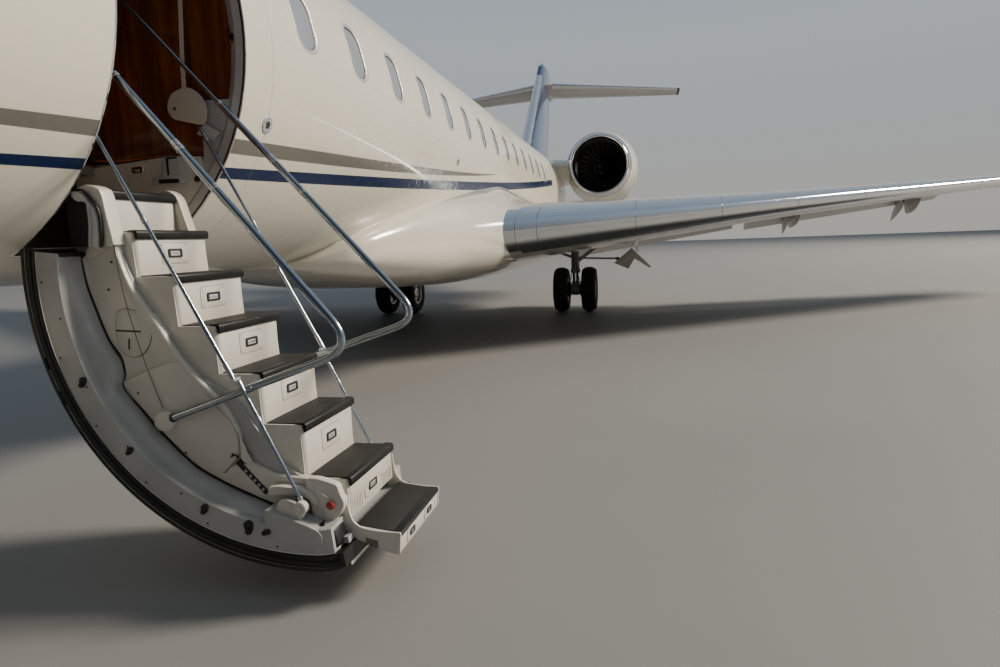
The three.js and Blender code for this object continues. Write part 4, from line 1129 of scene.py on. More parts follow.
@dataclass
class Fuselage:
    """The hull in four lengths, with its windows, windscreen, doorway and ports."""

    form: HullForm
    splits: tuple[float, float, float, float] = (3.3, 5.9, 20.0, 27.9)      # where the four lengths end
    bulkhead: float = 1.72      # ahead of it the nose is solid
    window_first: float = 6.39
    window_pitch: float = 0.849
    window_count: int = 14
    window_z: float = 3.084
    window_size: Flat = (0.29, 0.42)
    window_corner: float = 0.125
    door: tuple[float, float, float, float] = (4.684, 5.615, 1.603, 3.737)
    door_corner: float = 0.11
    gap: float = 0.0015
    panes: tuple[tuple, ...] = (
        # station, y, z; the way the pane faces; width, height
        (2.08, 0.42, 3.33, (0.74, 0.28, 0.61), 0.75, 0.54),
        (2.33, 0.94, 3.22, (0.34, 0.86, 0.38), 0.58, 0.43),
        (2.95, 1.11, 3.26, (0.12, 0.93, 0.35), 0.47, 0.38),
    )
    ports: tuple[Flat, ...] = ((5.9, 2.336), (10.06, 2.543))

    def build(self) -> None:
        """Build every piece of the fuselage."""
        self.nose()
        self.forward()
        self.cabin()
        self.tail_end()
        self.windows()
        self.port_lights()
        self.belly()
        self.aerials()

    def nose(self) -> None:
        """The nose with its windscreen."""
        length, count, crowding = self.splits[0], 30, 1.7
        stations = [length * (i / count) ** crowding for i in range(count)] + [length - self.gap]
        hollow = [s for s in stations if s > self.bulkhead]
        outer = [self.form.ring(s) for s in stations]
        inner = [self.form.ring(s, self.form.skin) for s in reversed(hollow)]
        shell = loft(outer + inner)
        cutter, frames, glass = Shape(), Shape(), Shape()
        for pane in self.panes:
            for side in Side:
                cutter.add(self.pane_tool(pane, side, 0.0))
                frames.add(self.pane_tool(pane, side, 0.035))
                glass.add(self.pane_tool(pane, side, -0.004))
        mesh = polish(carve(shell, cutter, crossing=True), self.form, self.form.skin)
        Piece("nose_shell", Look.HULL).wear(mesh, ["nose_section"], shade=False)
        band = [1.35 + 0.06 * i for i in range(36)]
        trim = carve(self.form.shell(band, 0.004, -0.0025), frames, "INTERSECT", crossing=True)
        trim = self.again(trim, cutter)
        Piece("windscreen_frames", Look.TRIM).wear(trim)
        panes = carve(self.form.shell(band, 0.026, 0.006), glass, "INTERSECT", crossing=True)
        Piece("windscreen_panes", Look.GLASS).wear(polish(panes, self.form, near=0.008), ["cockpit_glazing"],
            shade=False)

    @staticmethod
    def again(mesh: bpy.types.Mesh, tool: Shape) -> bpy.types.Mesh:
        """Cut a mesh with one more tool."""
        body = Shape([tuple(v.co) for v in mesh.vertices], [tuple(p.vertices) for p in mesh.polygons])
        return carve(body, tool, crossing=True)

    @staticmethod
    def pane_tool(pane: tuple, side: Side, grow: float) -> Shape:
        """The prism that cuts one windscreen pane."""
        s, y, z, face, width, height = pane
        out = Vector((face[0], face[1] * side.value, face[2])).normalized()
        across = Vector((0, 0, 1)).cross(out).normalized()
        up = out.cross(across)
        centre = Vector((x_at(s), y * side.value, z))
        outline = round_rect(width + 2 * grow, height + 2 * grow, 0.07 + grow)
        return loft([[tuple(centre + across * u + up * v + out * d) for u, v in outline]
            for d in (-0.25, 0.25)])

    def door_outline(self, grow: float = 0.0, steps: int = 8) -> list[Flat]:
        """The doorway as (station, z) pairs: round above, square below."""
        front, back, low, high = self.door
        front, back, low, high = front - grow, back + grow, low - grow, high + grow
        r = self.door_corner + grow
        top = arc((back - r, high - r), r, 0, 90, steps) + arc((front + r, high - r), r, 90, 180, steps)
        return [(back, low), *top, (front, low)]

    def forward(self) -> None:
        """The length that carries the doorway."""
        stations = spread(self.splits[0], self.splits[1] - self.gap, 0.09)
        cutter = side_slab(self.door_outline(), 0.3, 1.7)
        mesh = polish(carve(self.form.shell(stations, self.form.skin), cutter), self.form, self.form.skin)
        Piece("forward_shell", Look.HULL).wear(mesh, ["forward_fuselage"], shade=False)

    def cabin(self) -> None:
        """The long parallel length with its windows."""
        stations = spread(self.splits[1], self.splits[2] - self.gap, 0.22)
        cutter = Shape()
        for s in self.window_stations():
            outline = [(s + u, self.window_z + v)
                for u, v in round_rect(*self.window_size, self.window_corner, 10)]
            cutter.add(side_slab(outline, -1.5, -0.6)).add(side_slab(outline, 0.6, 1.5))
        mesh = polish(carve(self.form.shell(stations, self.form.skin), cutter), self.form, self.form.skin)
        Piece("cabin_shell", Look.HULL).wear(mesh, ["cabin_fuselage"], shade=False)

    def tail_end(self) -> None:
        """The tapering tail with its exhaust end."""
        stations = spread(*self.splits[2:], 0.2)[::-1]
        mesh = bpy.data.meshes.new("aft_shell")
        shape = self.form.solid(stations)
        mesh.from_pydata(shape.points, [], shape.faces)
        Piece("aft_shell", Look.HULL).wear(polish(mesh, self.form), ["aft_fuselage"], shade=False)
        Piece("tail_pipe", Look.EXHAUST).make(lathe([(0.02, 0.0),
            (0.0, 0.125), (-0.055, 0.14), (-0.06, 0.155), (-0.02, 0.17), (0.03, 0.175)],
            (x_at(self.splits[3]), 0, 3.39)))

    def window_stations(self) -> list[float]:
        """The stations of the cabin windows."""
        return [self.window_first + i * self.window_pitch for i in range(self.window_count)]

    def on_skin(self, s: float, z: float, out: float) -> Point:
        """A point on the left of the hull, moved out along its normal."""
        place = np.array([[x_at(s), self.form.side_y(s, z), z]])
        normal = self.form.normals(place)[0]
        return tuple(place[0] + normal * out)

    def band_on_skin(self, outline: Sequence[Flat], centre: Flat, section: Sequence[Flat]) -> Shape:
        """A moulding round a closed outline on the hull.

        Args:
            outline: (station, z) offsets from the centre.
            centre: station and z of the centre.
            section: (outwards in the outline, out of the skin) pairs.

        Returns:
            The shape, on the left.
        """
        count = len(outline)
        rings = []
        for i, (u, v) in enumerate(outline):
            (bu, bv), (au, av) = outline[i - 1], outline[(i + 1) % count]
            run = Vector((au - bu, av - bv)).normalized()
            out = Vector((run.y, -run.x))
            rings.append([self.on_skin(centre[0] + u + out.x * w, centre[1] + v + out.y * w, lift)
                for w, lift in section])
        return loft(rings, closed=True)

    def patch_on_skin(self, outline: Sequence[Flat], centre: Flat, out: float) -> Shape:
        """A curved patch that fills an outline at a height over the skin, on the left."""
        scales = (1.0, 0.8, 0.55, 0.28)
        shape = Shape()
        for k in scales:
            shape.points += [self.on_skin(centre[0] + u * k, centre[1] + v * k, out) for u, v in outline]
        shape.points.append(self.on_skin(*centre, out))
        n = len(outline)
        for r in range(len(scales) - 1):
            for i in range(n):
                j = (i + 1) % n
                shape.faces.append((r * n + i, r * n + j, (r + 1) * n + j, (r + 1) * n + i))
        last = (len(scales) - 1) * n
        shape.faces += [(last + i, last + (i + 1) % n, len(shape.points) - 1) for i in range(n)]
        return shape

    def windows(self) -> None:
        """Frames, panes and drawn blinds of the cabin windows."""
        width, height = self.window_size
        hole = round_rect(width, height, self.window_corner, 8)
        frame_section = [(-0.018, -0.028), (-0.018, -0.006), (-0.004, 0.0012), (0.005, 0.002),
            (0.01, 0.0004), (0.01, -0.004), (-0.004, -0.028)]
        seal_section = [(-0.026, -0.02), (-0.026, -0.011), (-0.019, -0.009), (-0.017, -0.02)]
        inside = round_rect(width - 0.03, height - 0.03, self.window_corner - 0.015, 8)
        frames, seals, panes, blinds = Shape(), Shape(), Shape(), Shape()
        for s in self.window_stations():
            at = (s, self.window_z)
            for side in Side:
                frames.add(self.band_on_skin(hole, at, frame_section).on(side))
                seals.add(self.band_on_skin(hole, at, seal_section).on(side))
                panes.add(self.patch_on_skin(inside, at, -0.014).on(side))
                blinds.add(self.patch_on_skin(inside, at, -0.034).on(side))
        Piece("window_frames", Look.TRIM).make(frames)
        Piece("window_seals", Look.SEAL).make(seals)
        Piece("window_blinds", Look.BLIND).make(blinds)
        Piece("window_panes", Look.WINDOW).make(panes)

    def port_lights(self) -> None:
        """Two small round ports on each side, with a screw ring and a dark middle."""
        rings, lenses, screws = Shape(), Shape(), Shape()
        radius, lens, bolt_circle, head, rise = 0.052, 0.44, 0.038, 0.004, 0.0062
        section = [(-0.03, 0.0), (-0.028, 0.005), (-0.004, 0.0045), (0.0, 0.001), (0.0, -0.002)]
        outline = [(radius * math.cos(a), radius * math.sin(a)) for a in around(32)]
        small = [(u * lens, v * lens) for u, v in outline]
        screw = [(head * math.cos(a), head * math.sin(a)) for a in around(8)]
        for s, z in self.ports:
            spots = [(s + bolt_circle * math.cos(a), z + bolt_circle * math.sin(a))
                for a in (turn + math.pi / 8 for turn in around(8))]
            for side in Side:
                rings.add(self.band_on_skin(outline, (s, z), section).on(side))
                lenses.add(self.patch_on_skin(small, (s, z), 0.002).on(side))
                screws.add(gathered(self.patch_on_skin(screw, at, rise).on(side) for at in spots))
        Piece("port_rings", Look.TRIM).make(rings)
        Piece("port_lenses", Look.BLACK).make(lenses)
        Piece("port_screws", Look.BLACK).make(screws)

    def belly(self) -> None:
        """The fairing under the wing's middle, cut to the hull, with its seam."""
        fairing = FairingForm()
        stations = [7.62, 7.68] + spread(7.74, 21.2, 0.16)
        body = loft([fairing.ring(s) for s in stations])
        hull = self.form.solid(spread(7.0, 22.0, 0.25), -0.0008)
        mesh = carve(body, hull)
        Piece("belly_shell", Look.FAIRING).wear(polish(mesh, fairing, near=0.004), ["belly_fairing"],
            shade=False)
        seam = [edge for s in spread(7.66, 20.9, 0.07) if (edge := self.seam_point(fairing, s))]
        strip = sweep(seam, circle(0.0055, 8), (0, 0, 1))
        Piece("belly_seam", Look.TRIM).make(gathered(strip.on(side) for side in Side))

    def seam_point(self, fairing: FairingForm, s: float) -> Point | None:
        """Where the fairing's skin meets the hull's on the left, or None."""
        ring = fairing.ring(s, steps=720)
        places = np.array(ring)
        away = self.form.distance(places)
        for i in range(len(ring) // 4, 0, -1):
            if places[i, 1] > 0 and away[i] < 0 <= away[i - 1]:
                return tuple((places[i] + places[i - 1]) / 2)
        return None

    def aerials(self) -> None:
        """Blade aerials and drain masts under and over the hull."""
        blades = Shape()
        foil = [(0.0, 0.0), (0.05, 0.011), (0.14, 0.01), (0.24, 0.0), (0.14, -0.01), (0.05, -0.011)]
        for s, z, high in ((9.1, 4.12, 0.26), (12.6, 4.12, 0.3), (7.0, 1.434, -0.12), (6.35, 1.436, -0.2)):
            rings = []
            for k in (0.0, 0.5, 0.9, 1.0):
                size = 1 - 0.45 * k
                rings.append(
                    [(x_at(s + high * 0.3 * k + u * size), v * size, z + high * k) for u, v in foil])
            blades.add(loft(rings))
        Piece("aerials", Look.FAIRING, bevel=0.002).make(blades)


@dataclass
class FairingForm(Surface):
    """The belly fairing's outer surface: squarish sections under the hull."""

    rows: tuple[tuple[float, float, float, float, float], ...] = ((7.6, 0.2, 1.432, 1.445, 1.42),
        (7.74, 0.52, 1.45, 1.518, 1.385), (7.94, 0.85, 1.52, 1.703, 1.33), (8.43, 1.08, 1.6, 1.902, 1.235),
        (9.21, 1.3, 1.65, 2.126, 1.13), (10.09, 1.5, 1.7, 2.268, 1.055), (11.41, 1.62, 1.7, 2.424, 1.0),
        (12.76, 1.64, 1.7, 2.576, 0.98), (17.0, 1.62, 1.7, 2.5, 0.98), (18.8, 1.45, 1.72, 2.35, 1.08),
        (20.3, 0.95, 1.76, 2.15, 1.33), (21.2, 0.42, 1.78, 1.95, 1.56))
    power: float = 0.62

    def __post_init__(self) -> None:
        """Fit the smooth curves through the rows."""
        at, *columns = zip(*self.rows)
        self.width, self.middle, self.top, self.bottom = (Spline(at, c) for c in columns)

    def ring(self, s: float, steps: int = 96) -> list[Point]:
        """One section."""
        width, middle, top, bottom = (float(f(s)) for f in (self.width, self.middle, self.top, self.bottom))
        ring = []
        for a in around(steps):
            c, u = math.cos(a), math.sin(a)
            c, u = math.copysign(abs(c) ** self.power, c), math.copysign(abs(u) ** self.power, u)
            ring.append((x_at(s), width * c, middle + (top - middle if u > 0 else middle - bottom) * u))
        return ring

    def distance(self, points: np.ndarray) -> np.ndarray:
        """Distances of points from the fairing's skin, nearly."""
        s = NOSE_X - points[:, 0]
        middle = self.middle(s)
        up = points[:, 2] - middle
        height = np.where(up > 0, self.top(s) - middle, middle - self.bottom(s))
        power = 2 / self.power
        across = np.abs(points[:, 1]) / self.width(s)
        reach = (across ** power + np.abs(up / height) ** power) ** (1 / power)
        return (reach - 1) * np.hypot(points[:, 1], up) / np.maximum(reach, 1e-6)


# Entrance and airstair


def plan_slab(outline: Sequence[Flat], z0: float, z1: float) -> Shape:
    """An outline of (station, y) pairs, extruded up."""
    return loft([[(x_at(s), y, z) for s, y in outline] for z in (z0, z1)])


def path_at(s: float, outline: Sequence[Flat]) -> list[Point]:
    """(y, z) pairs as points at one station."""
    return [(x_at(s), y, z) for y, z in outline]


def grown(outline: Sequence[Flat], by: float) -> list[Flat]:
    """A closed outline pushed out by a distance, roughly."""
    count = len(outline)
    area = sum(outline[i][0] * outline[(i + 1) % count][1] - outline[(i + 1) % count][0] * outline[i][1]
        for i in range(count))
    turn = 1 if area > 0 else -1
    result = []
    for i, point in enumerate(outline):
        run = (Vector(outline[(i + 1) % count]) - Vector(outline[i - 1])).normalized()
        result.append((point[0] + run.y * by * turn, point[1] - run.x * by * turn))
    return result


def rounded(outline: Sequence[Flat], radius: float, steps: int = 4) -> list[Flat]:
    """A closed outline with its corners rounded."""
    count = len(outline)
    result = []
    for i, corner in enumerate(outline):
        corner = Vector(corner)
        first, second = Vector(outline[i - 1]) - corner, Vector(outline[(i + 1) % count]) - corner
        reach = min(radius, first.length * 0.45, second.length * 0.45)
        a, b = corner + first.normalized() * reach, corner + second.normalized() * reach
        for k in range(steps + 1):
            t = k / steps
            result.append(tuple(a * (1 - t) ** 2 + corner * 2 * t * (1 - t) + b * t * t))
    return result


def sheet(outline: Sequence[Flat], s0: float, s1: float, soft: float = 0.0, steps: int = 4) -> Shape:
    """An outline of (y, z) pairs between two stations.

    Args:
        outline: the pairs.
        s0: the first station.
        s1: the second station.
        soft: the radius of its corners, or 0 to leave them sharp.
        steps: how many lengths a round corner has.

    Returns:
        The shape.
    """
    return slab(rounded(outline, soft, steps) if soft else outline, x_at(s0), x_at(s1))


def evened(points: Sequence[Flat], count: int) -> list[Flat]:
    """A smooth curve through points, given as evenly spaced points."""
    steps = [0.0]
    for a, b in zip(points, points[1:]):
        steps.append(steps[-1] + (Vector(b) - Vector(a)).length)
    curves = [Spline(steps, [point[i] for point in points]) for i in (0, 1)]
    places = np.linspace(0.0, steps[-1], count)
    return [(float(curves[0](d)), float(curves[1](d))) for d in places]


@dataclass
class Entrance:
    """What is fixed round the doorway: jamb, seal, panelling, floor edge and strut plate."""

    fuselage: Fuselage
    wall: float = 5.66          # station of the panelling aft of the steps

    def build(self) -> None:
        """Build the entrance."""
        self.jamb()
        self.panelling()
        self.lower_panel()
        self.strut_plate()
        self.fittings()

    def rim(self, grow: float, depth: float) -> list[Point]:
        """The doorway's outline at a depth under the skin."""
        form = self.fuselage.form
        points = []
        outline = self.fuselage.door_outline(grow)
        low, high = outline[0], outline[-1]
        extra = [(low[0], z) for z in spread(low[1], 3.55, 0.09)[1:-1]]
        outline = [low, *extra, *outline[1:-1], *[(high[0], z) for _, z in reversed(extra)], high]
        for s, z in outline:
            points.append((x_at(s), form.side_y(s, z, depth), z))
        return points

    def band(self, grow: Flat, depth: Flat) -> Shape:
        """A closed band round the doorway between two outlines and two depths."""
        (g0, g1), (d0, d1) = grow, depth
        return loft([self.rim(g, d) for g, d in ((g0, d0), (g0, d1), (g1, d1), (g1, d0))], closed=True)

    def jamb(self) -> None:
        """The jamb's lining, its seal and the bright edge on the skin."""
        Piece("door_jamb", Look.JAMB).make(self.band((-0.0015, 0.012), (0.001, 0.062)))
        splay = [self.rim(-0.0015, 0.0605), self.rim(0.045, 0.118), self.rim(0.05, 0.112),
            self.rim(0.006, 0.0605)]
        Piece("door_splay", Look.JAMB).make(loft(splay, closed=True))
        Piece("door_seals", Look.SEAL).make(self.band((-0.0026, 0.0), (0.004, 0.014)))
        Piece("door_edge", Look.CHROME).make(self.band((-0.0015, 0.006), (-0.0016, 0.001)))

    def panelling(self) -> None:
        """The wood partition aft of the steps, notched for the folded rail, with its trims."""
        edge = [(1.0, 2.178), (1.011, 2.327), (1.029, 2.446), (1.19, 2.443), (1.232, 2.603), (1.249, 2.719),
            (1.206, 2.812), (1.242, 2.862), (1.259, 2.922)]
        axis = self.fuselage.form.axis_z
        crown = arc((0, axis), 1.27, 8, 74, 12)
        outline = [(0.24, 2.15), (0.432, 2.137), (0.754, 2.154), (0.975, 2.148), *edge, *crown, (0.24, 4.0)]
        Piece("wood_partition", Look.WOOD, bevel=0.004).make(sheet(outline, self.wall, self.wall + 0.035))
        Piece("partition_edge", Look.BLACK).make(
            sweep(smooth_path(path_at(self.wall + 0.004, [*edge, *crown[:9]]), 0.02), circle(0.005, 8)))
        trim = [(0.26, 2.158), (0.432, 2.145), (0.754, 2.162), (0.985, 2.156)]
        Piece("partition_trim", Look.GILT).make(sweep(path_at(self.wall - 0.003, trim),
            [(-0.004, -0.004), (0.004, -0.004), (0.004, 0.004), (-0.004, 0.004)]))
        Piece("passage_edge", Look.WOOD, bevel=0.003).make(
            block((x_at(self.wall + 0.03), 0.226, 2.15), (x_at(self.wall - 0.006), 0.254, 3.95)))
        liner = [(0.985, 2.05), (1.003, 2.178), (1.011, 2.327), (1.029, 2.45), (1.19, 2.447), (1.215, 2.44),
            (1.165, 2.285), (1.095, 2.145), (1.0, 2.0), (0.84, 1.84), (0.8, 1.95)]
        Piece("jamb_liner", Look.JAMB, bevel=0.004).make(sheet(liner, 5.665, 5.642))

    def lower_panel(self) -> None:
        """The cream panel under the floor line with its latch, step, slot and knob, and the floor's edge."""
        s0, s1 = self.wall - 0.028, self.wall - 0.002
        outline = [(0.12, 1.72), (0.66, 1.665), (0.87, 1.8), (0.93, 1.87), (1.02, 2.0), (0.985, 2.142),
            (0.743, 2.15), (0.443, 2.127), (0.12, 2.1)]
        Piece("lower_panel", Look.LINING, bevel=0.006).make(sheet(outline, s0, s1))
        hole = rounded([(0.52, 2.067), (0.595, 2.07), (0.595, 2.105), (0.52, 2.102)], 0.012)
        Piece("latch_recess", Look.BLACK, bevel=0.001).make(sheet(hole, s0 - 0.0015, s0 + 0.004))
        Piece("latch_lever", Look.CHROME, bevel=0.002).make(
            sheet([(0.535, 2.078), (0.58, 2.08), (0.58, 2.094), (0.535, 2.092)], s0 - 0.005, s0))
        Piece("latch_rim", Look.CHROME).make(sweep(path_at(s0, hole), circle(0.0025, 6), closed=True))
        post = [(0.668, 1.995), (0.673, 2.044), (0.741, 2.04), (0.748, 2.148), (0.86, 2.148), (0.9, 1.99)]
        Piece("panel_step", Look.JAMB, bevel=0.008).make(sheet(post, s0 - 0.024, s0))
        face = x_at(s0 - 0.024)
        trim = [(0.775, 2.042), (0.775, 2.142), (0.85, 2.144), (0.85, 2.134), (0.79, 2.132), (0.79, 2.042)]
        Piece("panel_trim", Look.DARK_METAL, bevel=0.001).make(slab(trim, face - 0.002, face + 0.0016))
        slot = rounded([(0.713, 1.997), (0.85, 1.994), (0.85, 2.018), (0.713, 2.022)], 0.006)
        Piece("panel_slot", Look.BLACK, bevel=0.0008).make(slab(slot, face - 0.002, face + 0.0012))
        Piece("sill_knob", Look.BLACK).make(lathe([(-0.003, 0.0), (-0.003, 0.011),
            (0.004, 0.011), (0.006, 0.017), (0.016, 0.018), (0.02, 0.012), (0.021, 0.0)],
            (x_at(s0), 0.96, 2.012), "X", 20))
        Piece("floor_nosing", Look.GILT, bevel=0.002).make(
            block((x_at(5.64), 0.255, 2.118), (x_at(4.66), 0.267, 2.134)))

    def strut_plate(self) -> None:
        """The drop-shaped plate by the aft strut's upper pin, with its strap."""
        s = 5.6
        outline = rounded([(0.941, 2.53), (0.834, 2.496), (0.8, 2.416), (0.83, 2.355), (1.042, 2.3),
            (1.066, 2.398), (1.027, 2.48)], 0.06)
        shifted = [(y + 0.012, z) for y, z in outline]
        Piece("strut_plate", Look.LINING, bevel=0.002).make(sheet(shifted, s + 0.012, s + 0.008))
        Piece("strut_plate_pin", Look.STEEL).make(lathe([(-0.03, 0.0),
            (-0.03, 0.012), (0.004, 0.012), (0.0055, 0.008), (0.0055, 0.0)], (x_at(s + 0.008), 0.87, 2.408),
            "X", 20))
        strap = [(x_at(s + 0.02), 0.93, 2.5), (x_at(s + 0.02), 0.935, 2.657), (x_at(s + 0.03), 0.955, 3.05)]
        Piece("strut_strap", Look.LINING).make(
            sweep(strap, [(-0.013, -0.0015), (0.013, -0.0015), (0.013, 0.0015), (-0.013, 0.0015)]))
        arm = [(1.042, 2.318), (0.99, 2.26), (1.09, 2.22), (1.14, 2.26)]
        Piece("strut_bracket", Look.JAMB, bevel=0.004).make(sheet(arm, s + 0.03, s + 0.008))

    def fittings(self) -> None:
        """The rollers on the aft jamb that the door's latches close on, and their plates."""
        s = self.fuselage.door[1]
        rollers, plates = Shape(), Shape()
        for z, size in ((2.771, 0.02), (2.373, 0.016), (3.3, 0.02)):
            y = self.fuselage.form.side_y(s, z, 0.085)
            rollers.add(lathe([(-0.004, 0.0),
                (-0.004, size), (0.016, size), (0.02, size * 0.6), (0.02, 0.0)], (x_at(s + 0.03), y, z), "X",
                20))
            low, high = (x_at(s + 0.036), y - 0.03, z - 0.035), (x_at(s + 0.026), y + 0.022, z + 0.035)
            plates.add(block(low, high))
        Piece("jamb_rollers", Look.DARK_METAL).make(rollers)
        Piece("jamb_plates", Look.STEEL, bevel=0.004).make(plates)


@dataclass
class Airstair:
    """The door that opens into steps, drawn open."""

    centre: Flat = (1.989, 1.479)
    skin: Flat = (1.319, 1.333)
    front: float = 4.692
    back: float = 5.607
    start: float = -186.9       # degrees round the centre, at the hinge
    end: float = -81.6          # and at the foot
    swing: float = 126.6
    axis_z: float = 2.779
    corner: float = 0.102
    step: Flat = (4.875, 5.425)
    cheek: float = 4.835        # station of the side panel's face
    pocket: float = 4.82        # and of its raised part
    nosings: tuple[Flat, ...] = ((0.958, 1.907), (1.137, 1.705), (1.335, 1.491), (1.53, 1.251),
        (1.738, 1.022), (1.936, 0.78), (2.148, 0.526))
    groove: tuple[Flat, ...] = ((0.858, 1.577), (0.871, 1.451), (0.909, 1.324), (0.96, 1.18), (1.02, 1.085),
        (1.028, 1.02), (1.005, 0.962), (1.1, 0.841), (1.229, 0.697), (1.376, 0.562), (1.494, 0.501),
        (1.696, 0.42), (1.878, 0.357))
    ridge: tuple[Flat, ...] = ((0.92, 1.668), (0.992, 1.681), (1.054, 1.671), (1.063, 1.601), (1.115, 1.443),
        (1.176, 1.348), (1.245, 1.252), (1.32, 1.125), (1.414, 1.014), (1.51, 0.919), (1.586, 0.808),
        (1.617, 0.728), (1.612, 0.622))
    pocket_ridge: tuple[Flat, ...] = ((1.014, 0.999), (1.165, 1.056), (1.306, 1.1), (1.364, 1.065),
        (1.458, 0.955), (1.52, 0.876), (1.599, 0.798), (1.625, 0.718), (1.619, 0.621))
    cover: tuple[Flat, ...] = ((1.016, 1.321), (1.064, 1.339), (1.153, 1.319), (1.201, 1.271),
        (1.195, 1.192), (1.156, 1.128), (1.088, 1.096), (1.018, 1.128), (1.001, 1.209))

    def build(self) -> None:
        """Build the airstair."""
        self.pan()
        self.side_panel()
        self.cheeks()
        self.steps()
        self.foot()
        self.fold_out()
        self.cables()

    def polar(self, radius: float, angle: float) -> Flat:
        """A place round the door's centre."""
        a = math.radians(angle)
        return self.centre[0] + radius * math.cos(a), self.centre[1] + radius * math.sin(a)

    def inset(self, angle: float) -> float:
        """How far the door's rounded top corners come in at an angle."""
        z = self.axis_z + self.skin[1] * math.sin(math.radians(angle + self.swing))
        over = z - (3.729 - self.corner)
        return self.corner - math.sqrt(max(self.corner ** 2 - over ** 2, 0.0)) if over > 0 else 0.0

    def hoop(self, section: Sequence[Flat] | Callable[[float], Sequence[Flat]], start: float, end: float,
            corners: bool = True) -> Shape:
        """A section of (station, radius) pairs swept round the door's curve.

        Args:
            section: the section, or a function that gives it at an angle; stations aft of the middle
                follow the aft rim.
            start: first angle, in degrees.
            end: last angle.
            corners: whether the rim's round corners pull the section in.

        Returns:
            The shape.
        """
        middle = (self.front + self.back) / 2
        rings = []
        for angle in spread(start, end, 1.6):
            pull = self.inset(angle) if corners else 0.0
            ring = []
            for s, radius in section(angle) if callable(section) else section:
                y, z = self.polar(radius, angle)
                ring.append((x_at(s + pull if s < middle else s - pull), y, z))
            rings.append(ring)
        return loft(rings)

    def both_rims(self, section: Sequence[Flat], start: float, end: float) -> Shape:
        """A section swept round both rims of the door."""
        far = [(self.front + self.back - s, r) for s, r in section]
        return self.hoop(section, start, end).add(self.hoop(far, start, end))

    def pan(self) -> None:
        """The door's structure: skin, rim beams, seals, inner pan, ribs, ends and fastenings."""
        inner, outer = self.skin
        f, b = self.front, self.back
        Piece("door_skin", Look.DOOR_SKIN, "airstair").make(self.hoop([(f, outer), ((f + b) / 2 - 0.01,
            outer), ((f + b) / 2 + 0.01, outer), (b, outer), (b, inner), (f, inner)], self.start, self.end),
            ["airstair_shell"])
        self.seals()
        Piece("rim_beams", Look.PAN, "airstair", crease=40.0).make(self.hoop(self.beam_section,
            self.start + 0.4, self.end - 2.2).add(
            self.hoop(lambda angle: [(f + b - s, r) for s, r in self.beam_section(-150.0)], self.start + 0.4,
            self.end - 2.2)))
        pan = [(f + 0.1, 1.215), (b - 0.1, 1.215), (b - 0.1, 1.245), (f + 0.1, 1.245)]
        Piece("inner_pan", Look.PAN, "airstair").make(
            self.hoop(pan, self.start + 0.5, self.end - 0.6, False))
        ribs = gathered(self.frame_rib(angle) for angle in spread(self.start + 6, self.end - 5, 10.5))
        Piece("pan_ribs", Look.PAN, "airstair").make(ribs)
        ends = Shape()
        for angle, out in ((self.start, 1), (self.end, -1)):
            low = 1.12 if out > 0 else 1.25
            ends.add(self.hoop([(f + 0.012, low), (b - 0.012, low), (b - 0.012, inner), (f + 0.012, inner)],
                angle + 0.15 * out, angle + 1.1 * out, False))
        Piece("pan_ends", Look.DARK_METAL, "airstair").make(ends)
        self.fastenings()

    def beam_section(self, angle: float) -> list[Flat]:
        """The rim beam's section at an angle: a flat face, a wall and a rounded bead down to the groove."""
        wall, deep = 1.137, 0.14
        places = [(math.hypot(y - self.centre[0], z - self.centre[1]),
            math.degrees(math.atan2(z - self.centre[1], y - self.centre[0])) % -360) for y, z in self.groove]
        near = float(np.interp(angle, [a for _, a in places], [r for r, _ in places])) + 0.004
        bead = [(0.052, 0.0), (0.057, 0.16), (0.066, 0.48), (0.08, 0.82), (0.1, 1.0), (deep, 1.0)]
        flat = [(0.004, 1.255), (0.002, 1.246), (0.002, wall + 0.009), (0.004, wall + 0.003), (0.01, wall)]
        return [(self.front + s, r)
            for s, r in (*flat, *((s, wall + (near - wall) * k) for s, k in bead), (deep, 1.255))]

    def frame_rib(self, angle: float) -> Shape:
        """One rib across the pan's back."""
        corners = [self.polar(r, angle + a)
            for r, a in ((1.15, -0.25), (1.15, 0.25), (1.22, 0.35), (1.22, -0.35))]
        return sheet(corners, self.back - 0.115, self.front + 0.115)

    def seals(self) -> None:
        """Two black seals round the rim, on their bright strip."""
        f = self.front
        beads = Shape()
        for radius in (1.304, 1.27):
            section = [(f + 0.013 + 0.0125 * u, radius + 0.0135 * v) for u, v in circle(1.0, 10)]
            beads.add(self.both_rims(section, self.start, self.end - 0.2))
        core = [(f + 0.012, 1.253), (f + 0.012, 1.32), (f + 0.04, 1.32), (f + 0.04, 1.253)]
        Piece("rim_seals", Look.SEAL, "airstair").make(
            beads.add(self.both_rims(core, self.start, self.end - 0.1)))
        # Painted shade: a black strip over the door skin's cut edge stands in for the shade on that edge.
        edge = [(f - 0.0012, 1.3185), (f - 0.0012, 1.3322), (f + 0.003, 1.3322), (f + 0.003, 1.3185)]
        Piece("skin_edge_seal", Look.SEAL, "airstair").make(self.both_rims(edge, self.start, self.end - 0.1))
        lip = [(f + 0.0006, 1.2495), (f + 0.0006, 1.2545), (f + 0.008, 1.2545), (f + 0.008, 1.2495)]
        Piece("seal_retainers", Look.STEEL, "airstair").make(
            self.both_rims(lip, self.start + 0.4, self.end - 2.3))

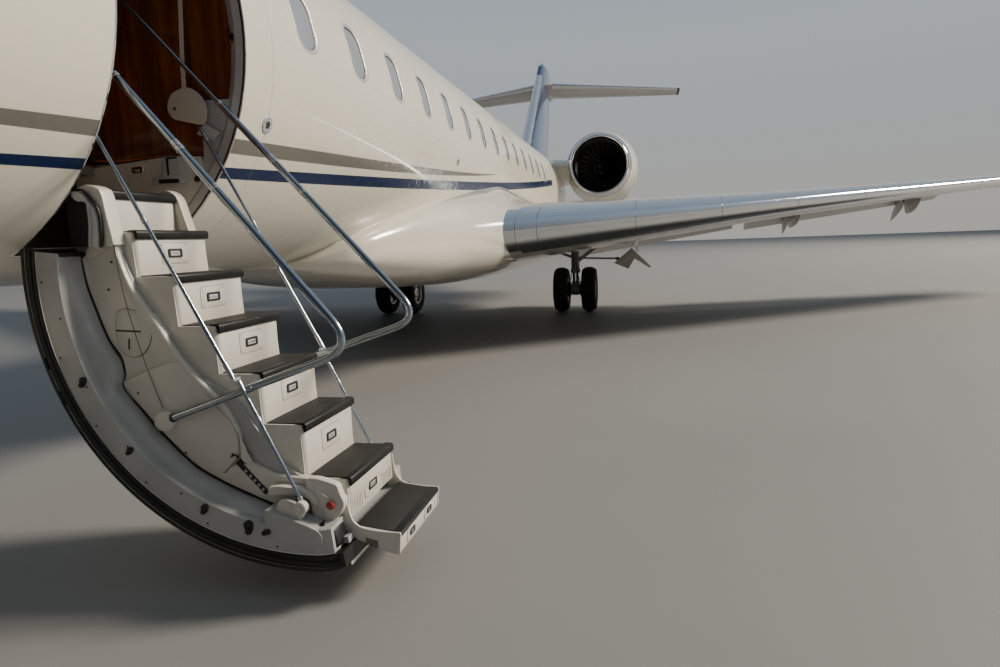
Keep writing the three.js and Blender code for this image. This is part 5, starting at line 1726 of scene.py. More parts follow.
    def fastenings(self) -> None:
        """The screws and latch cams on the forward rim."""
        screws = Shape()
        for i, angle in enumerate(spread(-180.0, -88.0, 8.4)):
            for radius in (1.232, 1.165)[i % 2:i % 2 + 1]:
                y, z = self.polar(radius, angle)
                screws.add(lathe([(-0.001, 0.0), (-0.001, 0.0058), (0.0012, 0.0052), (0.0016, 0.0)],
                    (x_at(self.front + 0.002), y, z), "X", 10))
        Piece("rim_screws", Look.BLACK, "airstair").make(screws)
        brackets, rollers = Shape(), Shape()
        for angle, size, turn in ((-156.3, 1.0, 53.0), (-137.2, 0.85, 40.0), (-114.9, 1.0, 55.0),
                (-103.5, 1.25, 75.0), (-99.1, 0.85, 20.0)):
            lean = math.radians(turn)
            along = Vector((math.cos(lean), math.sin(lean)))
            across = Vector((-math.sin(lean), math.cos(lean)))
            centre = Vector(self.polar(1.172, angle))

            def spot(u: float, v: float) -> Flat:
                """A place on the cam: along it and across it, in its own size."""
                return tuple(centre + along * u * size + across * v * size)

            plate = [spot(u, v) for u, v in ((-0.026, -0.012), (-0.004, -0.019), (0.022, -0.015),
                (0.028, 0.006), (0.012, 0.017), (-0.01, 0.014), (-0.026, 0.009))]
            brackets.add(sheet(plate, self.front + 0.006, self.front - 0.0015, 0.006, 3))
            for u, v, radius, rise in ((0.014, 0.0, 0.0155, 0.0125), (-0.016, -0.002, 0.0115, 0.009),
                    (0.0, 0.012, 0.007, 0.0065)):
                radius *= size
                rollers.add(lathe([(-0.002, 0.0), (-0.002, radius), (rise - 0.0015, radius),
                    (rise, radius * 0.8), (rise, radius * 0.4), (rise - 0.002, 0.0)],
                    (x_at(self.front + 0.0015), *spot(u, v)), "X", 16))
        Piece("latch_cams", Look.BLACK, "airstair", bevel=0.001).make(brackets)
        Piece("latch_rollers", Look.DARK_METAL, "airstair").make(rollers)

    def side_panel(self) -> None:
        """The moulded panel beside the steps, its dark joint, covers and markings."""
        profile = ((0.0, 0.034), (0.0, 0.012), (0.012, 0.004), (0.035, 0.0), (0.09, 0.003), (0.25, 0.006),
            (0.55, 0.005), (0.8, 0.001), (0.9, -0.004), (0.945, -0.009), (0.975, -0.009), (0.995, -0.004),
            (1.0, 0.004), (1.0, 0.034))
        near, far = evened(self.groove, 60), evened(self.ridge, 60)
        rings = [[(x_at(self.cheek + deep), *Vector(a).lerp(Vector(b), t)) for t, deep in profile]
            for a, b in zip(near, far)]
        Piece("side_panel", Look.MOULDING, "airstair", crease=50.0).make(loft(rings))
        gasket = [(x_at(self.cheek + 0.005), *point) for point in near]
        Piece("panel_gasket", Look.SEAL, "airstair").make(tube(gasket, 0.0042, 8))
        fill = [self.polar(1.2, a) for a in spread(-184, -90, 4)]
        fill += [(2.06, 0.44), (1.96, 0.5), (1.8, 0.6), (1.72, 0.72), (1.6, 0.9), *reversed(self.ridge[:9]),
            (0.86, 1.62)]
        Piece("side_wall", Look.PAN, "airstair").make(sheet(fill, self.step[0] + 0.002, self.cheek + 0.018))
        raised = [*self.groove[6:11], *reversed(self.pocket_ridge)]
        inner = rounded(grown(raised, -0.012), 0.03, 3)
        Piece("pocket_panel", Look.MOULDING, "airstair", bevel=0.017).make(
            sheet(inner, self.cheek + 0.02, self.pocket))
        low = [(1.5, 0.512), (1.696, 0.432), (1.878, 0.37), (1.9, 0.43), (1.8, 0.5), (1.7, 0.545),
            (1.628, 0.6), (1.56, 0.575)]
        Piece("lower_cover", Look.MOULDING, "airstair", bevel=0.006).make(
            sheet(low, self.cheek + 0.02, self.pocket + 0.002, 0.02, 3))
        self.covers()

    def covers(self) -> None:
        """The oval cover, the slot, the key, the blank plates and the slotted strip."""
        face = self.cheek
        oval = rounded(self.cover, 0.06, 5)
        Piece("cover_joint", Look.SEAL, "airstair").make(
            sheet(grown(oval, 0.002), face + 0.012, face - 0.0004))
        Piece("oval_cover", Look.MOULDING, "airstair", bevel=0.001).make(
            sheet(oval, face + 0.012, face - 0.0016))
        slits = (([(1.004, 1.229), (1.141, 1.223), (1.141, 1.231), (1.004, 1.237)], 0.003),
            ([(1.076, 1.193), (1.07, 1.141), (1.062, 1.141), (1.068, 1.193)], 0.0034),
            ([(1.215, 1.235), (1.262, 1.222), (1.262, 1.219), (1.215, 1.232)], 0.0008))
        Piece("cover_slots", Look.BLACK, "airstair").make(
            gathered(sheet(slit, face + 0.008, face - rise) for slit, rise in slits))
        plate = [(1.484, 0.522), (1.599, 0.526), (1.599, 0.548), (1.484, 0.544)]
        Piece("blank_plate", Look.LINING, "airstair", bevel=0.001).make(
            sheet(plate, self.pocket + 0.004, self.pocket + 0.0008))
        run = Vector((1.744 - 1.601, 0.456 - 0.606))
        side = Vector((run.y, -run.x)).normalized() * 0.013
        ends = [Vector((1.601, 0.606)), Vector((1.744, 0.456))]
        strip = [tuple(ends[0] + side), tuple(ends[1] + side), tuple(ends[1] - side), tuple(ends[0] - side)]
        Piece("slotted_strip", Look.BLACK, "airstair", bevel=0.001).make(
            sheet(strip, self.cheek, self.pocket - 0.002))
        slots = Shape()
        for t in (0.3, 0.46, 0.6, 0.74, 0.88):
            middle = ends[0] + run * t
            slots.add(sheet([tuple(middle + side * u + run * v)
                for u, v in ((-0.5, -0.03), (0.6, -0.03), (0.6, 0.03), (-0.5, 0.03))], self.pocket,
                self.pocket - 0.003))
        Piece("strip_slots", Look.PAN, "airstair").make(slots)
        screws = Shape()
        for y, z in ((1.58, 0.64), (1.606, 0.626), (1.1, 0.93), (0.985, 1.43), (1.02, 1.56), (1.33, 0.64)):
            screws.add(lathe([(-0.002, 0.0), (-0.002, 0.006), (0.001, 0.0055), (0.0014, 0.0)],
                (x_at(self.pocket - 0.0005 if z < 1 else face), y, z), "X", 10))
        Piece("panel_screws", Look.BLACK, "airstair").make(screws)
        hasp = smooth_path(path_at(self.pocket - 0.006, [(1.575, 0.628), (1.592, 0.64), (1.612, 0.632)]),
            0.01)
        Piece("panel_hasp", Look.BLACK, "airstair").make(tube(hasp, 0.004, 8))

    def cheeks(self) -> None:
        """The cheeks beside the first step and the arch over the hinge."""
        crown = [(0.905, 1.903), (0.933, 1.915), (0.965, 1.921), (1.003, 1.912), (1.032, 1.897),
            (1.044, 1.863), (1.057, 1.765), (1.073, 1.679), (1.078, 1.64)]
        bend = [(0.918, 1.896), (0.946, 1.897), (0.971, 1.88), (0.99, 1.855), (1.01, 1.831), (1.026, 1.802),
            (1.032, 1.765), (1.029, 1.677), (1.02, 1.63)]
        Piece("forward_cheek", Look.MOULDING, "airstair", bevel=0.005, segments=3).make(
            sheet([*crown, *reversed(bend)], self.step[0] + 0.002, 4.795))
        # Painted shadow: a black slab fills the arch over the hinge, standing in for the shadow inside it.
        Piece("cheek_filler", Look.SEAL, "airstair").make(
            sheet([(0.8, 1.64), (0.8, 1.86), *bend], self.step[0], 4.84))
        Piece("hinge_arch_seal", Look.SEAL, "airstair").make(
            sweep([(x_at(4.783), y, z) for y, z in evened(bend, 30)], circle(0.0065, 10)))
        inner = [(0.9, 1.858), (0.926, 1.843), (0.95, 1.846), (0.97, 1.832), (0.979, 1.808), (0.976, 1.76),
            (0.966, 1.69), (0.958, 1.64)]
        outer = [(y - 0.012, z - 0.008) for y, z in bend]
        Piece("hinge_arm_forward", Look.JAMB, "airstair", bevel=0.006, segments=3).make(
            sheet([*outer, *reversed(inner)], 4.83, 4.775))
        Piece("hinge_arm_tube", Look.PAN, "airstair").make(tube([(x_at(4.772), *point)
            for point in evened([(0.985, 1.825), (0.987, 1.76), (0.979, 1.69), (0.972, 1.645)], 8)], 0.008,
            12))
        aft = [(0.8, 1.64), (0.795, 1.9), (0.83, 1.93), (0.905, 1.94), (0.945, 1.915), (0.966, 1.885),
            (0.99, 1.801), (1.012, 1.725), (1.05, 1.58), (0.93, 1.56)]
        Piece("aft_cheek", Look.LINING, "airstair", bevel=0.008, segments=3).make(
            sheet(aft, 5.492, self.step[1] - 0.002, 0.02, 3))
        shoulder = [(0.868, 1.578), (0.9, 1.61), (0.916, 1.634), (0.95, 1.67), (0.99, 1.676), (1.04, 1.674),
            (1.068, 1.675), (1.066, 1.64), (0.99, 1.62), (0.92, 1.58)]
        Piece("panel_shoulder", Look.MOULDING, "airstair", bevel=0.005, segments=3).make(
            sheet(shoulder, 4.87, 4.829, 0.012, 3))

    def steps(self) -> None:
        """Seven steps with ribbed treads, black nosings and lamps in their risers."""
        s0, s1 = self.step
        wall, ground = 0.8, 0.4          # where the first step starts, and how low the last one reaches
        for i, (y, z) in enumerate(self.nosings):
            back = self.nosings[i - 1][0] - 0.03 if i else wall
            low = self.nosings[i + 1][1] - 0.05 if i + 1 < len(self.nosings) else ground
            front = y - 0.012
            plan = [(s0, back), (s0, front), (s1, front), (s1, back)]
            body = plan_slab(self.front_rounded(plan, 0.03), low, z - 0.006)
            Piece(f"step_block_{i + 1}", Look.MOULDING, "airstair", bevel=0.005).make(body,
                ["airstair_steps"] if i == 0 else ())
            behind = self.nosings[i - 1][0] - 0.008 if i else wall + 0.012
            mat = self.front_rounded([(s0 + 0.012, behind), (s0 + 0.012, y - 0.03), (s1 - 0.012, y - 0.03),
                (s1 - 0.012, behind)], 0.012)
            Piece(f"step_tread_{i + 1}", Look.TREAD, "airstair", bevel=0.001).make(
                plan_slab(mat, z - 0.008, z - 0.001))
            self.nosing(f"step_nosing_{i + 1}", y, z, s0 + 0.004, s1 - 0.004, "airstair")
            if 0 < i < len(self.nosings) - 1:
                self.lamp(f"step_lamp_{i + 1}", (y - 0.012, (z + self.nosings[i + 1][1]) / 2 - 0.006),
                    (s0 + s1) / 2, "airstair")
        under = []
        for i, (y, z) in enumerate(self.nosings):
            before = self.nosings[i - 1][0] - 0.02 if i else wall
            under += [(before, z - 0.02), (y - 0.03, z - 0.02)]
        under += [(2.112, 0.42)] + [self.polar(1.2, a) for a in spread(-88, -184, 4)]
        Piece("step_carcass", Look.MOULDING, "airstair").make(sheet(under, s1 - 0.001, s0 + 0.001))

    @staticmethod
    def front_rounded(plan: Sequence[Flat], radius: float) -> list[Flat]:
        """A step's plan with its two front corners rounded."""
        (s0, back), (_, front), (s1, _), _ = plan
        near = arc((s0 + radius, front - radius), radius, 180, 90, 5)
        far = arc((s1 - radius, front - radius), radius, 90, 0, 5)
        return [(s0, back), *near, *far, (s1, back)]

    @staticmethod
    def nosing(name: str, y: float, z: float, s0: float, s1: float, body: str) -> None:
        """A glossy rounded strip over a step's front edge.

        Args:
            name: the piece's name.
            y: the edge's place across.
            z: the top of the edge.
            s0: the strip's forward end.
            s1: its aft end.
            body: the body that it rides.
        """
        front = arc((y - 0.014, z - 0.013), 0.016, 80, 0, 6)
        section = [(y - 0.052, z - 0.006), (y - 0.05, z + 0.0005), (y - 0.044, z + 0.003), *front,
            (y + 0.001, z - 0.036), (y - 0.003, z - 0.042), (y - 0.013, z - 0.042), (y - 0.018, z - 0.01)]
        Piece(name, Look.NOSING, body, bevel=0.0015).make(sheet(section, s1, s0))

    def lamp(self, name: str, at: Flat, s: float, body: str, size: Flat = (0.2, 0.105),
            tilt: float = 0.0) -> None:
        """A lamp in a thin screwed plate on a riser.

        Args:
            name: the stem of the pieces' names.
            at: y of the riser's face and z of the lamp's middle.
            s: station of the lamp's middle.
            body: the body that it rides.
            size: width and height of the plate.
            tilt: degrees that the face leans back.
        """
        y, z = at
        lean = math.radians(tilt)

        def place(u: float, v: float, out: float) -> Point:
            """A place on the plate: along the station, up, and out of it."""
            return (x_at(s + u), y + out * math.cos(lean) - v * math.sin(lean),
                z + v * math.cos(lean) + out * math.sin(lean))

        def layer(width: float, height: float, radius: float, low: float, high: float) -> Shape:
            """A rounded plate between two heights over the riser."""
            outline = round_rect(width, height, radius, 4)
            return loft([[place(u, v, out) for u, v in outline] for out in (low, high)])

        w, h = size
        Piece(f"{name}_shadow", Look.SEAL, body).make(layer(w + 0.0035, h + 0.0035, 0.009, -0.001, 0.0004))
        Piece(f"{name}_plate", Look.MOULDING, body, bevel=0.0006).make(layer(w, h, 0.008, -0.001, 0.0016))
        lamp_w, lamp_h = w * 0.53, h * 0.43
        outer = round_rect(lamp_w, lamp_h, 0.009, 4)
        inner = round_rect(lamp_w * 0.72, lamp_h * 0.56, 0.006, 4)
        rims = (outer, 1, 1, 0.001), (outer, 0.99, 0.98, 0.006), (inner, 1, 1, 0.0065), (inner, 1, 1, 0.0005)
        rings = [[place(u * wide, v * high, out) for u, v in rim] for rim, wide, high, out in rims]
        Piece(f"{name}_bezel", Look.BLACK, body).make(loft(rings, closed=True))
        Piece(f"{name}_lens", Look.LAMP, body).make(
            layer(lamp_w * 0.74, lamp_h * 0.58, 0.005, 0.0008, 0.003))
        Piece(f"{name}_bar", Look.CHROME, body, bevel=0.0008).make(
            layer(lamp_w * 0.52, lamp_h * 0.2, 0.003, 0.0025, 0.0056))
        heads = Shape()
        for u in (-0.44 * w, 0.44 * w):
            for v in (-0.4 * h, 0.4 * h):
                ring = [[place(u + r * math.cos(a), v + r * math.sin(a), out) for a in around(8)]
                    for r, out in ((0.0032, 0.001), (0.0028, 0.0024))]
                heads.add(loft(ring))
        Piece(f"{name}_screws", Look.BLACK, body).make(heads)

    def foot(self) -> None:
        """The bracket, knob, strut lugs, end block, latch, handle and tray at the steps' foot."""
        bracket = [(1.955, 0.545), (2.017, 0.548), (2.118, 0.52), (2.126, 0.478), (2.15, 0.434),
            (2.121, 0.376), (2.068, 0.331), (2.01, 0.335), (1.985, 0.372), (1.975, 0.44)]
        Piece("foot_bracket", Look.MOULDING, "airstair", bevel=0.008, segments=3).make(
            sheet(bracket, 4.838, 4.792, 0.025, 3))
        Piece("red_knob", Look.RED, "airstair").make(lathe([(-0.004, 0.0), (-0.004, 0.01), (0.006, 0.01),
            (0.01, 0.019), (0.018, 0.021), (0.026, 0.017), (0.029, 0.008), (0.0295, 0.0)],
            (x_at(4.792), 2.086, 0.428), "X", 24))
        Piece("red_knob_rod", Look.CHROME, "airstair").make(
            rod((x_at(4.8), 2.075, 0.448), (x_at(4.775), 2.05, 0.487), 0.004, 10))
        web = [(1.86, 0.462), (1.9, 0.47), (1.935, 0.462), (1.97, 0.435), (1.985, 0.4), (1.96, 0.372),
            (1.9, 0.385), (1.84, 0.41)]
        webs = gathered(sheet(web, aft, fore, 0.015, 3) for aft, fore in ((4.7375, 4.716), (5.597, 5.5815)))
        Piece("strut_lugs", Look.MOULDING, "airstair", bevel=0.003).make(webs)
        bosses, pins = Shape(), Shape()
        y, z = 1.97, 0.435
        for s0, s1 in ((4.702, 4.737), (5.582, 5.597)):
            bosses.add(lathe([(0.0, 0.0), (0.0, 0.031), (s1 - s0 - 0.003, 0.031), (s1 - s0, 0.027),
                (s1 - s0, 0.0)], (x_at(s1), y, z), "X", 28))
        Piece("strut_bosses", Look.MOULDING, "airstair").make(bosses)
        for s0, s1 in ((4.699, 4.7365), (5.583, 5.6)):
            pins.add(lathe([(0.0, 0.0), (0.0, 0.01), (0.001, 0.012), (s1 - s0, 0.012), (s1 - s0, 0.0)],
                (x_at(s1), y, z), "X", 16))
        Piece("strut_pins", Look.STEEL, "airstair").make(pins)
        block_outline = [(1.8, 0.43), (1.84, 0.415), (1.92, 0.392), (1.961, 0.378), (2.009, 0.363),
            (2.06, 0.34), (2.078, 0.318), (2.076, 0.29), (2.062, 0.262), (2.03, 0.25), (1.96, 0.256),
            (1.88, 0.272), (1.8, 0.3)]
        Piece("foot_block", Look.PAN, "airstair", bevel=0.007, segments=3).make(
            sheet(block_outline, 4.8, 4.69, 0.012, 3))
        dark = [(2.02, 0.268), (2.06, 0.24), (2.11, 0.222), (2.135, 0.262), (2.118, 0.33), (2.04, 0.352)]
        Piece("foot_latch", Look.DARK_METAL, "airstair", bevel=0.004).make(sheet(dark, 4.835, 4.735))
        hook = smooth_path(path_at(4.75, [(2.05, 0.315), (2.085, 0.3), (2.095, 0.26), (2.12, 0.245)]), 0.02)
        Piece("foot_hook", Look.STEEL, "airstair").make(tube(hook, 0.006, 10))
        handle = [(1.776, 0.502), (1.84, 0.508), (1.93, 0.502), (1.965, 0.494), (2.0, 0.475), (2.018, 0.452),
            (2.02, 0.43), (2.004, 0.424), (1.985, 0.448), (1.955, 0.464), (1.849, 0.468), (1.779, 0.462)]
        Piece("foot_handle", Look.MOULDING, "airstair", bevel=0.006, segments=3).make(
            sheet(handle, 4.82, 4.775, 0.01, 3))
        tray = [(1.6, 0.57), (1.7, 0.522), (1.8, 0.478), (1.93, 0.452), (1.985, 0.452), (1.985, 0.53),
            (1.9, 0.535), (1.78, 0.545), (1.66, 0.6)]
        Piece("foot_tray", Look.MOULDING, "airstair", bevel=0.006, segments=3).make(
            sheet(tray, self.step[0] + 0.002, self.pocket + 0.006, 0.02, 3))

    def fold_out(self) -> None:
        """The last step that folds out, with the ribbed panel behind it."""
        s0, s1 = self.step
        panel = [(2.1, 0.47), (2.128, 0.472), (2.132, 0.33), (2.1, 0.325)]
        Piece("foot_panel", Look.MOULDING, "airstair", bevel=0.003).make(sheet(panel, s1, s0))
        ribs = Shape()
        for s in spread(s0 + 0.02, s1 - 0.02, 0.0182):
            if abs(s - (s0 + s1) / 2) > 0.11:
                ribs.add(block((x_at(s + 0.003), 2.129, 0.335), (x_at(s - 0.003), 2.1335, 0.465)))
        Piece("foot_panel_ribs", Look.MOULDING, "airstair", bevel=0.001).make(ribs)
        self.lamp("foot_lamp", (2.132, 0.4), (s0 + s1) / 2, "airstair", (0.19, 0.1))
        crown = [(2.131, 0.452), (2.135, 0.4), (2.143, 0.355), (2.165, 0.316), (2.195, 0.297),
            (2.237, 0.288), (2.286, 0.283), (2.385, 0.281)]
        gusset = [*evened(crown, 24), (2.388, 0.272), (2.379, 0.18), (2.372, 0.174), (2.33, 0.182),
            (2.233, 0.216), (2.15, 0.246), (2.098, 0.272), (2.094, 0.328), (2.112, 0.427), (2.122, 0.452)]
        Piece("fold_out_gussets", Look.MOULDING, "lower_step", bevel=0.0015).make(
            sheet(gusset, 4.86, 4.849).add(sheet(gusset, 5.451, 5.44)), ["foldout_step"])
        shelf = [(2.156, 0.3), (2.385, 0.272), (2.385, 0.252), (2.32, 0.225), (2.2, 0.252), (2.158, 0.28)]
        Piece("fold_out_shelf", Look.MOULDING, "lower_step", bevel=0.003).make(sheet(shelf, 5.441, 4.859))
        mat = [(2.16, 0.3025), (2.345, 0.2805), (2.344, 0.276), (2.16, 0.298)]
        Piece("fold_out_tread", Look.TREAD, "lower_step", bevel=0.001).make(sheet(mat, 5.432, 4.868))
        edge = [(2.344, 0.283), (2.378, 0.2785), (2.388, 0.271), (2.389, 0.26), (2.375, 0.254),
            (2.344, 0.27)]
        Piece("fold_out_nosing", Look.NOSING, "lower_step", bevel=0.0015).make(sheet(edge, 5.436, 4.864))
        face = [(2.383, 0.258), (2.375, 0.176), (2.367, 0.174), (2.372, 0.254)]
        Piece("fold_out_face", Look.MOULDING, "lower_step", bevel=0.0015).make(sheet(face, 5.441, 4.859))
        for i, s in enumerate((5.02, 5.28)):
            self.lamp(f"fold_out_lamp_{i + 1}", (2.38, 0.222), s, "lower_step", (0.13, 0.072), -5.0)
        vent = Shape()
        for z in spread(0.215, 0.245, 0.006):
            vent.add(sheet([(2.215, z), (2.275, z - 0.012), (2.275, z - 0.009), (2.215, z + 0.003)], 4.8492,
                4.8478))
        Piece("fold_out_vent", Look.BLACK, "lower_step").make(vent)

    def cables(self) -> None:
        """A thin black line fixed down the inside of the side panel."""
        cord = smooth_path(path_at(4.812, [(1.06, 1.66), (1.085, 1.4), (1.155, 1.1), (1.235, 0.86)]), 0.2,
            10)
        Piece("panel_cord", Look.BLACK, "airstair").make(tube(cord, 0.0018, 6))


@dataclass
class Rails:
    """A telescopic handrail and the folding strut beside it, on one side of the steps."""

    side: str
    station: float
    inward: int                 # which way the steps lie, in stations
    hanger: float
    knob: Flat
    corner: Flat
    bend: Flat
    upper: float                # stations of the strut's links
    lower: float
    top: Flat = (0.6, 3.06)
    sleeve: float = 1.56
    strut: tuple[Flat, Flat, Flat] = ((1.03, 2.285), (1.69, 1.017), (1.97, 0.435))

    def build(self) -> None:
        """Build the rail, its slider and the strut."""
        self.rail()
        self.slider()
        self.struts()

    def along(self, reach: float) -> Point:
        """The place at a distance up the rail from its bend."""
        run = (Vector(self.top) - Vector(self.bend)).normalized()
        y, z = Vector(self.bend) + run * reach
        return x_at(self.station), y, z

    def collar(self, low: float, high: float, radius: float) -> Shape:
        """A ring round the rail between two distances from its bend."""
        a, b = Vector(self.along(low)), Vector(self.along(high))
        run = b - a
        across = Vector((1, 0, 0))
        up = run.normalized().cross(across)
        ends = radius - 0.003
        rings = []
        for point, size in ((a, ends), (a + run * 0.12, radius), (a + run * 0.88, radius), (b, ends)):
            rings.append([tuple(point + across * u + up * v) for u, v in circle(size, 20)])
        return loft(rings)

    def rail(self) -> None:
        """The lower rail with its bend, joints, boss and collar."""
        side, inward, x = self.side, self.inward, x_at(self.station)
        body = f"handrail_{side}"
        path = smooth_path([(x, *self.knob), (x, *self.corner), self.along(self.sleeve)], 0.17, 14)
        Piece(f"rail_{side}", Look.RAIL, body).make(tube(path, 0.0185, 20), [body])
        joints = gathered(self.collar(*sizes) for sizes in ((0.86, 0.885, 0.0205), (1.094, 1.122, 0.0208),
            (1.122, 1.15, 0.0198), (1.54, 1.562, 0.0205)))
        Piece(f"rail_joints_{side}", Look.STEEL, body).make(joints)
        disc = [(0.0, 0.0), (0.0, 0.05), (0.01, 0.051), (0.026, 0.05), (0.036, 0.045), (0.043, 0.034),
            (0.046, 0.018), (0.0465, 0.0)]
        hub = lathe([(-inward * 0.0212 + inward * d, r) for d, r in disc], (x, *self.knob), "X", 36)
        Piece(f"rail_hub_{side}", Look.MOULDING, body, bevel=0.0015).make(hub)
        run = (Vector(self.corner) - Vector(self.knob)).normalized()
        rings = []
        for reach, radius in ((0.044, 0.024), (0.048, 0.029), (0.058, 0.029), (0.064, 0.024)):
            middle = Vector((x, *(Vector(self.knob) + run * reach)))
            up = Vector((0, -run.y, run.x))
            rings.append(
                [tuple(middle + Vector((1, 0, 0)) * u + up * v) for u, v in circle(radius * 0.72, 20)])
        Piece(f"rail_collar_{side}", Look.BLACK, body).make(loft(rings))

    def slider(self) -> None:
        """The upper rail that slides into the lower one, with its pivot."""
        body = f"handrail_slider_{self.side}"
        reach = (Vector(self.top) - Vector(self.bend)).length
        path = [self.along(self.sleeve - 0.12), self.along(reach)]
        Piece(f"slider_{self.side}", Look.RAIL, body).make(tube(path, 0.0125, 18), [body])
        face = self.station + self.inward * 0.013
        span = abs(self.hanger - face)
        eye = lathe([(0.0, 0.0), (0.0, 0.017), (0.002, 0.02), (span - 0.002, 0.02), (span, 0.017),
            (span, 0.0)], (min(x_at(self.hanger), x_at(face)), *self.top), "X", 24)
        Piece(f"slider_eye_{self.side}", Look.STEEL, body).make(eye)

    def struts(self) -> None:
        """The two links of a folding strut, with their sleeves and pins."""
        top, mid, low = self.strut
        for name, a, b, s, marks in (("upper", top, mid, self.upper, ((0.02, 0.055), (0.42, 0.437),
                (0.94, 0.985))),
                ("lower", mid, low, self.lower, ((0.015, 0.06), (0.3, 0.33), (0.93, 0.985)))):
            body = f"strut_{name}_{self.side}"
            first, second = Vector((x_at(s), *a)), Vector((x_at(s), *b))
            Piece(body + "_rod", Look.RAIL, body).make(rod(tuple(first), tuple(second), 0.0095, 16), [body])
            run = second - first
            parts = gathered(rod(tuple(first + run * u), tuple(first + run * v), 0.0125, 16)
                for u, v in marks)
            for end in (first, second):
                parts.add(lathe(
                    [(-0.0125, 0.0), (-0.0125, 0.012), (0.0, 0.014), (0.0125, 0.012), (0.0125, 0.0)],
                    tuple(end), "X", 16))
            Piece(body + "_sleeves", Look.STEEL, body).make(parts)


# Wing, tail and engines


def foil_half(x: float, thick: float) -> float:
    """Half the thickness of a section at a share of its chord."""
    return 5 * thick * (0.2969 * math.sqrt(x) - 0.126 * x - 0.3516 * x * x + 0.2843 * x ** 3
        - 0.0965 * x ** 4) + 0.002


@dataclass(frozen=True)
class Foil:
    """A lifting surface: place along the span, both edges' stations, thickness and height."""

    rows: tuple[tuple[float, float, float, float, float], ...]
    upright: bool = False

    def at(self, v: float) -> tuple[float, float, float, float]:
        """Leading edge, trailing edge, thickness share and height at a place."""
        places, *columns = zip(*self.rows)
        le, te, thick, lift = (float(np.interp(v, places, column)) for column in columns)
        return le, te, thick, lift

    def point(self, v: float, x: float, t: float, side: Side = Side.LEFT) -> Point:
        """A point at a share of the chord and an offset from the middle plane."""
        le, te, _, lift = self.at(v)
        s = le + x * (te - le)
        return (x_at(s), t, v) if self.upright else (x_at(s), side.value * v, lift + t)

    def section(self, v: float, x0: float, x1: float, side: Side, nose: str = "", grow: float = 0.0) -> list[
            Point]:
        """One closed section between two shares of the chord.

        Args:
            v: the place along the span.
            x0: the front share.
            x1: the back share.
            side: the side that it lies on.
            nose: "" for a flat front, "pin" for a flanked one or "round".
            grow: metres that the surface stands out.

        Returns:
            The section's points.
        """
        le, te, thick, _ = self.at(v)
        chord = te - le

        def half(x: float) -> float:
            """Half the thickness in metres."""
            return chord * foil_half(x, thick) + grow

        start = x0
        front = []
        if nose == "pin":
            start = x0 + 0.56 * half(x0) / chord
            front = [(x0, 0.0)]
        elif nose == "round":
            h = half(x0)
            start = x0 + 0.9 * h / chord
            front = [(x0 + 0.9 * h * (1 - math.cos(a)) / chord, h * math.sin(a))
                for a in (math.radians(d) for d in (65, 40, 15, -15, -40, -65))]
        steps = 18
        shares = [start + (x1 - start) * (1 - math.cos(math.pi * i / (2 * steps))) for i in range(steps + 1)]
        if x1 >= 0.999:
            shares[-1] = 1.0
        upper = [(x, half(x)) for x in reversed(shares)]
        lower = [(x, -half(x)) for x in (shares[1:] if x0 == 0.0 and not nose else shares)]
        if x0 == 0.0 and not nose:
            upper[-1] = (0.0, 0.0)
        return [self.point(v, x, t, side) for x, t in [*upper, *front, *lower]]

    def zone(self, v0: float, v1: float, x0: float, x1: float, side: Side = Side.LEFT, nose: str = "",
            ends: Flat = (0.0, 0.0), grow: float = 0.0) -> Shape:
        """A closed body over part of the span and part of the chord."""
        cuts = [row[0] for row in self.rows if v0 < row[0] < v1]
        places = sorted({*spread(v0, v1, 0.5), *cuts})
        chord = [self.at(v)[1] - self.at(v)[0] for v in places]
        rings = [self.section(v, x0 + ends[0] / c if x0 else 0.0, x1 - ends[1] / c if x1 < 1 else 1.0, side,
            nose, grow) for v, c in zip(places, chord)]
        return loft(rings)


def turned(shape: Shape, a: Point, b: Point, degrees: float) -> Shape:
    """A shape turned about the line from a to b."""
    start = Vector(a)
    turn = Matrix.Rotation(math.radians(degrees), 3, (Vector(b) - start).normalized())
    return shape.moved(lambda p: tuple(start + turn @ (Vector(p) - start)))


